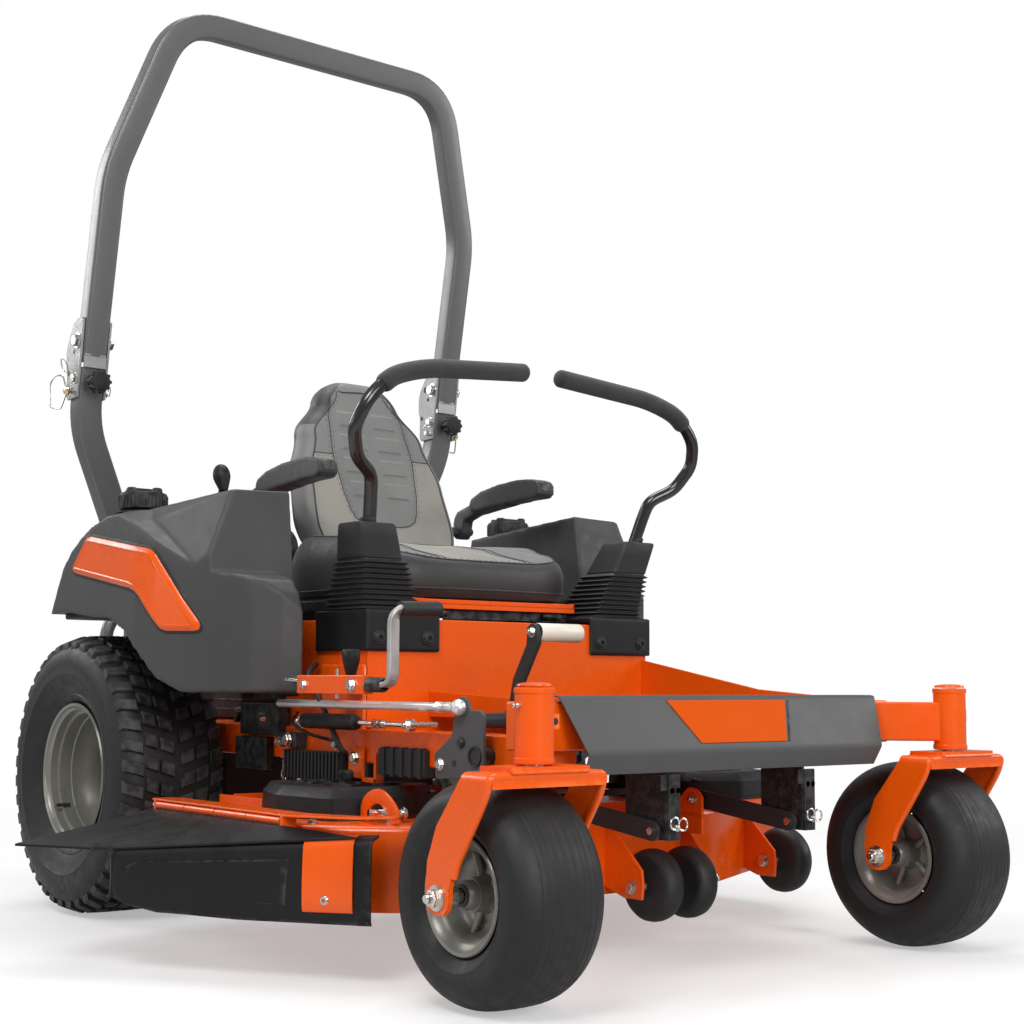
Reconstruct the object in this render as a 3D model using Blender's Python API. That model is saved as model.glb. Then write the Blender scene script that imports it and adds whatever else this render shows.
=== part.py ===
"""Zero turn mower, built as an assembly of named sub-parts.

Metres, +Z up, front towards -Y, driver's right towards -X.

Every shape is drawn in machine coordinates: x = 0 on the machine's centre plane, y = 0 on the
rear axle and z = 0 on the ground. The machine_datum empty then puts the middle of the whole
machine's footprint at the world origin. A moving piece hangs from an empty on its joint's axis.
"""

import math

import bmesh
import bpy
from mathutils import Matrix, Vector

RIGHT = -1
LEFT = 1
SIDES = ((RIGHT, "right"), (LEFT, "left"))

GAP = 0.0005
SHEET = 0.004

# Rear wheels
REAR_TYRE_RADIUS = 0.280
REAR_TYRE_WIDTH = 0.240
REAR_RIM_RADIUS = 0.136
REAR_RIM_WIDTH = 0.190
REAR_WHEEL_X = 0.482
REAR_HUB_X = 0.405
WHEEL_FACETS = 24

# Casters
WHEELBASE = 1.282
CASTER_X = 0.484
CASTER_TRAIL = 0.080
CASTER_TYRE_RADIUS = 0.165
CASTER_TYRE_WIDTH = 0.170
CASTER_RIM_RADIUS = 0.083
CASTER_FACETS = 20
CASTER_AXLE_RADIUS = 0.0095
BARREL_RADIUS = 0.0285
BARREL_BORE = 0.0158
BARREL_BOTTOM = 0.353
BARREL_TOP = 0.462
STEM_RADIUS = 0.0150
FORK_HALF_WIDTH = 0.112
FORK_PLATE = 0.008
FORK_CROWN = 0.336

# Frame
RAIL_INNER = 0.305
RAIL_OUTER = 0.355
RAIL_BOTTOM = 0.325
RAIL_TOP = 0.385
BEAM_Y = (-1.275, -1.215)
BEAM_Z = (0.365, 0.440)
REAR_PLATE_Y = 0.420
GUARD_REAR = 0.600
GUARD_RADIUS = 0.016
HANGER_X = 0.160
HANGER_BOTTOM = 0.222
HANGER_PIN = (-1.275, 0.236)
HANGER_PIN_RADIUS = 0.006

# Roll-over bar
POST_HALF_WIDTH = 0.029
POST_HALF_DEPTH = 0.0225
POST_LEAN = math.tan(math.radians(10.5))
POST_BASE_X = 0.300
POST_UPPER_X = 0.480
FOLD_Y = 0.180
FOLD_Z = 1.210
POST_TOP = 1.155
HOOP_BOTTOM = 1.165
HOOP_HALF_WIDTH = 0.0275
HOOP_SHOULDER = 1.580
HOOP_TOP = 1.940
HOOP_TOP_X = 0.360
FOLD_PIN_RADIUS = 0.008

# Body
PANEL_FRONT = -0.7195
PANEL_HALF_WIDTH = 0.342
PANEL_TOP = 0.583
TANK_INNER = 0.405
TANK_STEP = 0.490
TANK_OUTER = 0.600
CONSOLE_INNER = 0.353
CAP_X = 0.480
CAP_Y = -0.090
CAP_RADIUS = 0.050
TANK_TOP = 0.806

# Seat
SEAT_HINGE = (-0.655, 0.598)
PAN_BOTTOM = 0.616
PAN_TOP = 0.628
CUSHION_TOP = 0.735
CUSHION_HALF_WIDTH = 0.250
BACK_HALF_WIDTH = 0.200
BACK_FRONT = -0.305
BACK_BOTTOM = 0.738
BACK_TOP = 1.137
BACK_LEAN = 0.38
ARM_PIVOT = (-0.178, 0.810)
ARM_INNER = 0.2545
ARM_OUTER = 0.300

# Steering levers
LEVER_PIVOT = (0.255, -0.605, 0.450)
LEVER_LEAN_FORWARD = 0.306
LEVER_LEAN_OUT = 0.249
SWING_Z = 0.733
LEVER_RADIUS = 0.0125
GRIP_RADIUS = 0.0175
GRIP_GAP = 0.006
BOOT_BOTTOM = 0.6005
BOOT_TOP = 0.757
BOOT_SHIFT = 0.012
BOOT_WALL = 0.003
SLOT_HALF_WIDTH = 0.033
SLOT_HALF_DEPTH = 0.019

# Cutting deck
DECK_TOP = 0.238
DECK_BOTTOM = 0.100
DECK_LEFT = 0.700
DECK_WALL = 0.005
BELT_COVER_TOP = 0.292
BLADE_RADIUS = 0.200
BLADE_Z = 0.125
SPINDLES = (("right", -0.385, -0.680), ("centre", 0.045, -0.760), ("left", 0.475, -0.660))
SPINDLE_RADIUS = 0.0125
CHUTE_TIP = (-0.900, -0.520)
CHUTE_HINGE_X = -0.612
CHUTE_HINGE_Z = 0.246
GAUGE_WHEEL_RADIUS = 0.0625
GAUGE_WHEEL_WIDTH = 0.050

# Deck lift
PEDAL_PIVOT = (-1.000, 0.405)
PEDAL_TOP = (-1.050, 0.553)
CRANK_PIVOT = (-1.096, 0.351)
CRANK_ROD = (-1.058, 0.428)
LIFT_ROD_REAR = -0.504
CRANK_X = -0.386
LINK_REAR = (-1.060, 0.262)
LOCK_AXIS = (-0.451, 0.4635)
BRAKE_X = -0.332
BRAKE_PIVOT = (-0.100, 0.500)

FRONT_END = -(WHEELBASE + CASTER_TYRE_RADIUS)
REAR_END = GUARD_REAR + GUARD_RADIUS
CENTRE_X = (CHUTE_TIP[0] + DECK_LEFT) / 2
CENTRE_Y = (FRONT_END + REAR_END) / 2


# ---------------------------------------------------------------- scene and materials


def clear_scene():
    for obj in list(bpy.data.objects):
        bpy.data.objects.remove(obj, do_unlink=True)


def paint(name, colour, roughness, metallic=0.0):
    skin = bpy.data.materials.new(name)
    skin.use_nodes = True
    shader = skin.node_tree.nodes["Principled BSDF"]
    shader.inputs["Base Color"].default_value = (*colour, 1)
    shader.inputs["Roughness"].default_value = roughness
    shader.inputs["Metallic"].default_value = metallic
    skin.diffuse_color = (*colour, 1)
    return skin


def make_skins():
    return {
        "orange": paint("orange_paint", (0.90, 0.11, 0.01), 0.30),
        "grey": paint("grey_moulding", (0.085, 0.085, 0.09), 0.45),
        "post": paint("grey_tube_paint", (0.13, 0.13, 0.135), 0.40, 0.3),
        "black": paint("black_plastic", (0.018, 0.018, 0.020), 0.55),
        "rubber": paint("rubber", (0.020, 0.020, 0.021), 0.80),
        "tyre": paint("tyre_rubber", (0.025, 0.025, 0.026), 0.85),
        "rim": paint("rim_paint", (0.42, 0.41, 0.38), 0.40, 0.5),
        "steel": paint("bright_steel", (0.65, 0.65, 0.63), 0.25, 1.0),
        "vinyl": paint("seat_vinyl", (0.20, 0.195, 0.19), 0.60),
        "engine": paint("engine_casting", (0.05, 0.05, 0.055), 0.55, 0.4),
    }


def pivot(name, at, parent=None):
    """An empty on a joint's axis, at a point in machine coordinates."""
    empty = bpy.data.objects.new(name, None)
    bpy.context.scene.collection.objects.link(empty)
    empty["at"] = list(at)
    empty.parent = parent
    empty.location = Vector(at) - (Vector(parent["at"]) if parent else Vector(at))
    return empty


# ---------------------------------------------------------------- shapes


def box(x, y, z, chamfer=0.0):
    """A block between two limits on each axis, given in either order."""
    bm = bmesh.new()
    bmesh.ops.create_cube(bm, size=1)
    limits = [sorted(pair) for pair in (x, y, z)]
    bmesh.ops.scale(bm, vec=[high - low for low, high in limits], verts=bm.verts)
    middle = [(low + high) / 2 for low, high in limits]
    bmesh.ops.translate(bm, vec=middle, verts=bm.verts)
    if chamfer:
        bmesh.ops.bevel(bm, geom=bm.edges, offset=chamfer, segments=1, affect="EDGES")
    return bm


def prism(outline, axis, start, end, chamfer=0.0):
    """A flat outline carried straight along one axis; it is drawn on the other two, in order."""
    bm = bmesh.new()
    corners = []
    for first, second in outline:
        point = [first, second]
        point.insert("xyz".index(axis), start)
        corners.append(bm.verts.new(point))
    face = bm.faces.new(corners)
    moved = bmesh.ops.extrude_face_region(bm, geom=[face])["geom"]
    travel = Vector((0, 0, 0))
    travel["xyz".index(axis)] = end - start
    top = [item for item in moved if isinstance(item, bmesh.types.BMVert)]
    bmesh.ops.translate(bm, vec=travel, verts=top)
    if chamfer:
        bmesh.ops.bevel(bm, geom=bm.edges, offset=chamfer, segments=1, affect="EDGES")
    return bm


def rod(start, end, radius, sides=12, end_radius=None):
    """A round bar, or a cone when end_radius differs, between two points."""
    bm = bmesh.new()
    start = Vector(start)
    run = Vector(end) - start
    place = Matrix.Translation(start + run / 2)
    turn = run.to_track_quat("Z", "Y").to_matrix().to_4x4()
    bmesh.ops.create_cone(
        bm,
        cap_ends=True,
        segments=sides,
        radius1=radius,
        radius2=radius if end_radius is None else end_radius,
        depth=run.length,
        matrix=place @ turn,
    )
    return bm


def turned(profile, centre, axis, sides):
    """A profile of (radius, distance along the axis) points, spun once round the axis.

    A profile that starts or ends off the axis is closed on itself. A flat facet, not an edge,
    faces straight down on a wheel.
    """
    bm = bmesh.new()
    axis = Vector(axis)
    out = Vector((0, 0, -1)) if abs(axis.z) < 0.5 else Vector((0, 1, 0))
    out = Matrix.Rotation(math.pi / sides, 3, axis) @ out
    centre = Vector(centre)
    points = [bm.verts.new(centre + out * r + axis * along) for r, along in profile]
    edges = [bm.edges.new(pair) for pair in zip(points, points[1:])]
    if profile[0][0] > 0:
        edges.append(bm.edges.new((points[-1], points[0])))
    bmesh.ops.spin(
        bm,
        geom=points + edges,
        cent=centre,
        axis=axis,
        angle=2 * math.pi,
        steps=sides,
        use_merge=True,
        use_duplicate=False,
    )
    bmesh.ops.remove_doubles(bm, verts=bm.verts, dist=1e-6)
    return bm


def rounded(path, bend, steps=4):
    """The path with each inner corner swapped for a curve that starts bend away from it."""
    points = [Vector(p) for p in path]
    smooth = [points[0]]
    for before, corner, after in zip(points, points[1:], points[2:]):
        leave = corner + (before - corner).normalized() * bend
        join = corner + (after - corner).normalized() * bend
        for i in range(steps + 1):
            t = i / steps
            smooth.append(leave * (1 - t) ** 2 + corner * 2 * t * (1 - t) + join * t**2)
    smooth.append(points[-1])
    return smooth


def swept(path, section, up):
    """A section of (across, up) offsets carried along a path, with flat ends."""
    bm = bmesh.new()
    points = [Vector(p) for p in path]
    rings = []
    for i, point in enumerate(points):
        before = points[max(i - 1, 0)]
        after = points[min(i + 1, len(points) - 1)]
        along = (after - before).normalized()
        across = along.cross(Vector(up)).normalized()
        over = across.cross(along)
        rings.append([bm.verts.new(point + across * u + over * v) for u, v in section])
    for low, high in zip(rings, rings[1:]):
        for i in range(len(section)):
            j = (i + 1) % len(section)
            bm.faces.new((low[i], low[j], high[j], high[i]))
    bm.faces.new(rings[0])
    bm.faces.new(rings[-1])
    return bm


def round_section(radius, sides=8):
    turn = 2 * math.pi / sides
    return [(radius * math.cos(i * turn), radius * math.sin(i * turn)) for i in range(sides)]


def square_section(half_width, half_depth):
    return [
        (-half_width, -half_depth),
        (half_width, -half_depth),
        (half_width, half_depth),
        (-half_width, half_depth),
    ]


def lofted(rings, closed_ends=True):
    """Rings with equal numbers of points, joined in order; open ends are joined to each other."""
    bm = bmesh.new()
    rows = [[bm.verts.new(p) for p in ring] for ring in rings]
    pairs = list(zip(rows, rows[1:]))
    if not closed_ends:
        pairs.append((rows[-1], rows[0]))
    for low, high in pairs:
        for i in range(len(low)):
            j = (i + 1) % len(low)
            bm.faces.new((low[i], low[j], high[j], high[i]))
    if closed_ends:
        bm.faces.new(rows[0])
        bm.faces.new(rows[-1])
    return bm


def mirror_x(outline):
    return [(-x, y) for x, y in outline]


# ---------------------------------------------------------------- objects


def solid(name, skin, parent, shape, smooth=False, group=None):
    """One object from one closed shape."""
    bmesh.ops.recalc_face_normals(shape, faces=shape.faces)
    mesh = bpy.data.meshes.new(name)
    shape.to_mesh(mesh)
    shape.free()
    mesh.materials.append(skin)
    if smooth:
        mesh.shade_smooth()
        mesh.set_sharp_from_angle(angle=math.radians(32))
    obj = bpy.data.objects.new(name, mesh)
    (group or bpy.context.scene.collection).objects.link(obj)
    obj.parent = parent
    obj.location = -Vector(parent["at"])
    return obj


def fused(name, skin, parent, shapes, cuts=(), smooth=False):
    """One body from overlapping shapes, with the cuts taken out of it."""
    body = solid(name, skin, parent, shapes[0], smooth)
    for operation, extra in (("UNION", shapes[1:]), ("DIFFERENCE", cuts)):
        if not extra:
            continue
        group = bpy.data.collections.new(f"{name}_{operation.lower()}")
        bpy.context.scene.collection.children.link(group)
        for i, shape in enumerate(extra):
            helper = solid(f"{group.name}_{i}", skin, parent, shape, smooth, group)
            helper.hide_render = True
            helper.display_type = "WIRE"
        boolean = body.modifiers.new(operation.title(), "BOOLEAN")
        boolean.operation = operation
        boolean.solver = "EXACT"
        boolean.operand_type = "COLLECTION"
        boolean.collection = group
    return body


# ---------------------------------------------------------------- frame and body


def build_main_frame(skins, datum):
    shapes = [box((-0.420, 0.420), BEAM_Y, BEAM_Z)]
    cuts = []
    for side, _ in SIDES:
        rail = (side * RAIL_INNER, side * RAIL_OUTER)
        shapes.append(box(rail, (-1.250, 0.410), (RAIL_BOTTOM, RAIL_TOP)))
        arm = [(0.375, -1.268), (0.405, -1.222), (0.503, -1.345), (0.470, -1.378)]
        arm = [(side * x, y) for x, y in arm]
        shapes.append(prism(arm, "z", 0.368, 0.437))
        barrel = (side * CASTER_X, -(WHEELBASE + CASTER_TRAIL))
        shapes.append(rod((*barrel, BARREL_BOTTOM), (*barrel, BARREL_TOP), BARREL_RADIUS, 20))
        cuts.append(rod((*barrel, BARREL_BOTTOM - 0.02), (*barrel, BARREL_TOP + 0.02), BARREL_BORE, 16))
        side_plate = (side * 0.344, side * 0.352)
        shapes.append(box(side_plate, (-0.722, -0.580), (RAIL_TOP - 0.01, 0.500)))
        hanger = side * HANGER_X
        shapes.append(box((hanger - 0.003, hanger + 0.003), (-1.300, -1.205), (HANGER_BOTTOM, 0.370)))
        shapes.append(box((hanger - 0.002, hanger + 0.024), (-1.305, -1.298), (HANGER_BOTTOM, 0.325)))
        shapes.append(
            rod(
                (hanger - 0.016, *HANGER_PIN),
                (hanger + 0.012, *HANGER_PIN),
                HANGER_PIN_RADIUS,
            )
        )
    for y in ((-0.700, -0.660), (-0.120, -0.090)):
        shapes.append(box((-0.310, 0.310), y, (0.332, 0.380)))
    shapes.append(box((-0.315, 0.315), (0.030, 0.412), (0.372, 0.382)))
    shapes.append(box((-0.352, 0.352), (0.400, REAR_PLATE_Y), (0.290, 0.430)))
    shapes += guard_tubes()
    shapes += lock_bracket()
    return fused("main_frame", skins["orange"], datum, shapes, cuts)


def guard_tubes():
    """The tube guard behind the engine."""
    low = [(0.330, 0.395, 0.350), (0.330, 0.600, 0.400), (-0.330, 0.600, 0.400), (-0.330, 0.395, 0.350)]
    high = [(0.250, 0.592, 0.398), (0.230, 0.592, 0.640), (-0.230, 0.592, 0.640), (-0.250, 0.592, 0.398)]
    tubes = []
    for path, up in ((low, (0, 0, 1)), (high, (0, 1, 0))):
        tubes.append(swept(rounded(path, 0.070, 3), round_section(GUARD_RADIUS, 6), up))
    return tubes


def lock_bracket():
    """The arm beside the right rail that carries the lift lock lever."""
    return [
        box((-0.462, -0.440), (-0.885, -0.675), (0.447, 0.480)),
        box((-0.455, -0.346), (-0.722, -0.690), (0.450, 0.477)),
    ]


def build_front_beam_cover(skins, datum):
    """A folded sheet over the front beam, narrower towards its lower edge."""
    profile = [
        (-1.235, 0.4495, 0.371),
        (-1.283, 0.4495, 0.371),
        (-1.322, 0.362, 0.344),
        (-1.307, 0.329, 0.326),
    ]
    bm = bmesh.new()
    rows = []
    for y, z, half in profile:
        rows.append([bm.verts.new((x, y, z)) for x in (-half, half)])
    for low, high in zip(rows, rows[1:]):
        bm.faces.new((low[0], low[1], high[1], high[0]))
    cover = solid("front_beam_cover", skins["grey"], datum, bm)
    fold = cover.modifiers.new("Sheet", "SOLIDIFY")
    fold.thickness = 0.003
    fold.offset = -1 if cover.data.polygons[0].normal.z > 0 else 1
    return cover


def build_front_body_panel(skins, datum):
    """The front and side walls of the seat box."""
    back = PANEL_FRONT + SHEET
    shapes = [
        box((-PANEL_HALF_WIDTH, PANEL_HALF_WIDTH), (PANEL_FRONT, back), (0.3865, PANEL_TOP)),
        box((-0.300, 0.300), (PANEL_FRONT + 0.0005, back - 0.0005), (0.335, 0.395)),
    ]
    for side, _ in SIDES:
        wall = (side * (PANEL_HALF_WIDTH - SHEET), side * PANEL_HALF_WIDTH)
        shapes.append(box(wall, (PANEL_FRONT + 0.001, -0.440), (0.3865, PANEL_TOP)))
    return fused("front_body_panel", skins["orange"], datum, shapes)


def build_foot_platform(skins, datum):
    front = BEAM_Y[1] + 0.003
    rear = PANEL_FRONT - GAP
    left_wall = [(rear, 0.3865), (rear, 0.515), (-1.040, 0.458), (front, 0.446), (front, 0.3865)]
    right_wall = [(rear, 0.405), (rear, 0.452), (-1.000, 0.440), (front, 0.436), (front, 0.405)]
    shapes = [
        box((-0.204, 0.333), (front + 0.0005, rear - 0.0005), (0.425, 0.430)),
        prism(left_wall, "x", 0.330, 0.335),
        prism(right_wall, "x", -0.205, -0.200),
        box((0.300, 0.335), (front + 0.001, rear - 0.001), (0.3866, 0.3900)),
    ]
    return fused("foot_platform", skins["orange"], datum, shapes)


def build_control_bases(skins, datum):
    """The moulded plates over the seat box's front corners, each with a lever slot."""
    for side, name in SIDES:
        shapes = [
            box((side * 0.186, side * 0.349), (-0.7262, -0.550), (0.586, 0.600)),
            box((side * 0.186, side * 0.349), (-0.7262, -0.7205), (0.523, 0.595)),
            box((side * 0.3435, side * 0.349), (-0.7262, -0.552), (0.523, 0.595)),
        ]
        slot = box((side * 0.256, side * 0.324), (-0.712, -0.580), (0.570, 0.620))
        fused(f"{name}_control_base", skins["black"], datum, shapes, [slot])


def build_tanks(skins, datum):
    """Fuel tanks shaped as fenders: an outer shoulder and, inside it, a raised console."""
    arch = [(-0.437, 0.447), (-0.382, 0.470), (-0.272, 0.560), (-0.200, 0.588), (0.000, 0.595)]
    shoulder = [
        (0.085, 0.595),
        (0.030, 0.690),
        (-0.025, 0.790),
        (-0.060, TANK_TOP - 0.001),
        (-0.220, 0.800),
        (-0.330, 0.775),
        (-0.420, 0.735),
        (-0.480, 0.685),
        (-0.555, 0.665),
        (-0.600, 0.600),
        (-0.605, 0.447),
    ]
    console = [
        (0.060, 0.620),
        (-0.025, 0.800),
        (-0.250, 0.812),
        (-0.440, 0.836),
        (-0.475, 0.830),
        (-0.480, 0.650),
        (-0.400, 0.620),
    ]
    for side, name in SIDES:
        shell = prism(shoulder + arch, "x", side * TANK_INNER, side * TANK_OUTER, 0.012)
        raised = prism(console, "x", side * CONSOLE_INNER, side * TANK_STEP, 0.004)
        neck = rod((side * CAP_X, CAP_Y, 0.780), (side * CAP_X, CAP_Y, 0.815), 0.038, 16)
        corner = [
            (side * 0.400, -0.612),
            (side * 0.490, -0.555),
            (side * 0.565, -0.440),
            (side * 0.612, -0.300),
            (side * 0.700, -0.300),
            (side * 0.700, -0.700),
            (side * 0.400, -0.700),
        ]
        cuts = [prism(corner, "z", 0.400, 0.850)]
        fused(f"{name}_fuel_tank", skins["grey"], datum, [shell, raised, neck], cuts)
        axis = pivot(f"{name}_fuel_cap_axis", (side * CAP_X, CAP_Y, 0.8155), datum)
        lid = [(0, 0), (0.044, 0), (CAP_RADIUS, 0.006), (CAP_RADIUS, 0.038), (0.044, 0.046), (0, 0.046)]
        shape = turned(lid, axis["at"], (0, 0, 1), 16)
        solid(f"{name}_fuel_cap", skins["black"], axis, shape, True)


# ---------------------------------------------------------------- engine and drive


def build_engine(skins, datum):
    crankcase = [box((-0.150, 0.150), (0.070, 0.370), (0.383, 0.600), 0.015)]
    for side, _ in SIDES:
        start = (side * 0.060, 0.300, 0.500)
        end = (side * 0.215, 0.395, 0.500)
        crankcase.append(rod(start, end, 0.062, 12))
    fused("engine_block", skins["engine"], datum, crankcase)
    centre = (0, 0.215, 0)
    bowl = [(0, 0.601), (0.165, 0.601), (0.185, 0.640), (0.185, 0.705), (0.150, 0.735), (0, 0.735)]
    shroud = [turned(bowl, centre, (0, 0, 1), 20)]
    shroud.append(box((-0.215, 0.215), (0.270, 0.440), (0.602, 0.690), 0.012))
    fused("engine_shroud", skins["black"], datum, shroud, smooth=True)
    canister = [
        rod((-0.120, 0.330, 0.790), (0.120, 0.330, 0.790), 0.054, 16),
        box((-0.050, 0.050), (0.300, 0.360), (0.7355, 0.790)),
    ]
    fused("air_filter", skins["black"], datum, canister, smooth=True)
    silencer = [
        rod((-0.150, 0.500, 0.500), (0.150, 0.500, 0.500), 0.052, 16),
        rod((0.080, 0.500, 0.480), (0.080, 0.445, 0.425), 0.015, 10),
    ]
    fused("muffler", skins["steel"], datum, silencer, smooth=True)


def build_transaxles(skins, datum):
    """One hydrostatic gearbox a side, each with its own axle."""
    for side, name in SIDES:
        shapes = [
            box((side * 0.090, side * 0.275), (-0.085, 0.085), (0.205, 0.330), 0.012),
            rod((side * 0.262, 0, REAR_TYRE_RADIUS), (side * 0.330, 0, REAR_TYRE_RADIUS), 0.044, 16),
            rod((side * 0.300, 0, REAR_TYRE_RADIUS), (side * 0.4045, 0, REAR_TYRE_RADIUS), 0.019, 12),
            rod((side * 0.180, 0, 0.320), (side * 0.180, 0, 0.365), 0.030, 12),
        ]
        fused(f"{name}_transaxle", skins["engine"], datum, shapes)


# ---------------------------------------------------------------- wheels


def facet_radius(radius, facets):
    """The corner radius of a wheel whose flats lie at the given radius."""
    return radius / math.cos(math.pi / facets)


def tyre_profile(radius, width, bore, crown):
    """A closed tyre section: flat tread, round shoulders, bulged side walls."""
    half = width / 2
    bead = half * 0.78
    wall = (radius + bore) / 2
    side = [
        (bore, bead),
        (wall - (radius - bore) * 0.15, half),
        (wall + (radius - bore) * 0.15, half),
        (radius - crown * 1.1, half * 0.93),
        (radius, half * 0.70),
    ]
    return side + [(r, -x) for r, x in reversed(side)]


def build_rear_wheels(skins, datum):
    for side, name in SIDES:
        hub = (side * REAR_WHEEL_X, 0, REAR_TYRE_RADIUS)
        axis = pivot(f"{name}_rear_wheel_axis", hub, datum)
        tread = facet_radius(REAR_TYRE_RADIUS, WHEEL_FACETS)
        profile = tyre_profile(tread, REAR_TYRE_WIDTH, REAR_RIM_RADIUS + GAP + 0.001, 0.020)
        tyre = turned(profile, hub, (side, 0, 0), WHEEL_FACETS)
        solid(f"{name}_rear_tyre", skins["tyre"], axis, tyre, True)
        half = REAR_RIM_WIDTH / 2
        inner = REAR_HUB_X - REAR_WHEEL_X
        dish = [
            (0, inner + 0.020),
            (0.040, inner + 0.020),
            (0.052, inner + 0.008),
            (0.118, inner + 0.008),
            (0.126, half),
            (REAR_RIM_RADIUS, half),
            (REAR_RIM_RADIUS, -half),
            (0.126, -half),
            (0.122, inner),
            (0, inner),
        ]
        rim = turned(dish, hub, (side, 0, 0), WHEEL_FACETS)
        solid(f"{name}_rear_rim", skins["rim"], axis, rim, True)


def build_casters(skins, datum):
    for side, name in SIDES:
        stem = (side * CASTER_X, -(WHEELBASE + CASTER_TRAIL))
        hub = (side * CASTER_X, -WHEELBASE, CASTER_TYRE_RADIUS)
        swivel = pivot(f"{name}_caster_swivel", (*stem, BARREL_BOTTOM), datum)
        spin = pivot(f"{name}_caster_axle", hub, swivel)
        build_fork(skins, name, swivel, stem, hub)
        tread = facet_radius(CASTER_TYRE_RADIUS, CASTER_FACETS)
        bore = CASTER_RIM_RADIUS + GAP + 0.001
        profile = tyre_profile(tread, CASTER_TYRE_WIDTH, bore, 0.022)
        tyre = turned(profile, hub, (side, 0, 0), CASTER_FACETS)
        solid(f"{name}_caster_tyre", skins["tyre"], spin, tyre, True)
        ring = [
            (CASTER_AXLE_RADIUS + 0.001, -0.058),
            (CASTER_AXLE_RADIUS + 0.001, 0.058),
            (0.022, 0.058),
            (0.026, 0.010),
            (0.070, 0.006),
            (0.074, 0.060),
            (CASTER_RIM_RADIUS, 0.062),
            (CASTER_RIM_RADIUS, -0.062),
            (0.074, -0.060),
            (0.070, -0.006),
            (0.026, -0.010),
            (0.022, -0.058),
        ]
        rim = turned(ring, hub, (side, 0, 0), CASTER_FACETS)
        solid(f"{name}_caster_rim", skins["rim"], spin, rim, True)


def build_fork(skins, name, swivel, stem, hub):
    """A folded crown with two raked legs, a saddle on top, the stem and the wheel's axle."""
    x, y = stem
    half = FORK_HALF_WIDTH
    crown_top = FORK_CROWN + FORK_PLATE
    saddle_top = BARREL_BOTTOM - GAP
    shapes = [
        box((x - half, x + half), (y - 0.032, y + 0.028), (FORK_CROWN, crown_top)),
        box((x - 0.072, x + 0.072), (y - 0.040, y + 0.034), (crown_top - 0.002, saddle_top)),
        rod((x, y, crown_top - 0.004), (x, y, BARREL_TOP - 0.004), STEM_RADIUS, 16),
        rod((x - half - 0.010, *hub[1:]), (x + half + 0.010, *hub[1:]), CASTER_AXLE_RADIUS, 12),
    ]
    leg = [
        (y - 0.031, crown_top - 0.001),
        (y + 0.027, crown_top - 0.001),
        (hub[1] + 0.020, hub[2] + 0.052),
        (hub[1] + 0.026, hub[2] + 0.004),
        (hub[1] + 0.014, hub[2] - 0.022),
        (hub[1] - 0.014, hub[2] - 0.024),
        (hub[1] - 0.028, hub[2] - 0.002),
        (y - 0.012, 0.282),
        (y - 0.029, 0.320),
    ]
    for outward in (-1, 1):
        outer = x + outward * (half - 0.0005)
        shapes.append(prism(leg, "x", outer - outward * FORK_PLATE, outer))
        face = x + outward * (half - 0.001)
        shapes.append(rod((face, *hub[1:]), (face + outward * 0.009, *hub[1:]), 0.016, 6))
    fused(f"{name}_caster_fork", skins["orange"], swivel, shapes)


# ---------------------------------------------------------------- roll-over bar


def post_y(z):
    """The roll-over bar leans forward: its centre line's y at a height."""
    return FOLD_Y - (z - FOLD_Z) * POST_LEAN


def build_rops(skins, datum):
    for side, name in SIDES:
        path = [
            (side * POST_BASE_X, post_y(0.660), RAIL_TOP + GAP),
            (side * POST_BASE_X, post_y(0.660), 0.660),
            (side * POST_UPPER_X, post_y(1.030), 1.030),
            (side * POST_UPPER_X, post_y(POST_TOP), POST_TOP),
        ]
        section = square_section(POST_HALF_WIDTH, POST_HALF_DEPTH)
        shapes = [swept(rounded(path, 0.030, 3), section, (0, 1, 0))]
        for outward in (-1, 1):
            face = side * POST_UPPER_X + outward * (POST_HALF_WIDTH - 0.0005)
            cheek = [
                (post_y(1.085) - 0.024, 1.085),
                (post_y(1.085) + 0.030, 1.085),
                (FOLD_Y + 0.052, 1.150),
                (FOLD_Y + 0.050, 1.215),
                (FOLD_Y + 0.020, 1.255),
                (FOLD_Y - 0.022, 1.260),
            ]
            shapes.append(prism(cheek, "x", face, face + outward * 0.006))
        reach = POST_HALF_WIDTH + 0.012
        ends = [(side * POST_UPPER_X + sign * reach, FOLD_Y, FOLD_Z) for sign in (-1, 1)]
        shapes.append(rod(*ends, FOLD_PIN_RADIUS, 12))
        fused(f"rops_{name}_post", skins["post"], datum, shapes)
        front = post_y(1.117) - POST_HALF_DEPTH - 0.006
        knob_axis = pivot(f"{name}_rops_knob_axis", (side * POST_UPPER_X, front, 1.117), datum)
        collar = [(0, 0), (0.012, 0), (0.012, 0.014)]
        knob = collar + [(0.021, 0.017), (0.023, 0.038), (0.016, 0.044), (0, 0.044)]
        shape = turned(knob, knob_axis["at"], (0, -1, 0), 10)
        solid(f"{name}_rops_knob", skins["black"], knob_axis, shape, True)
    build_hoop(skins, datum)


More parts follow.
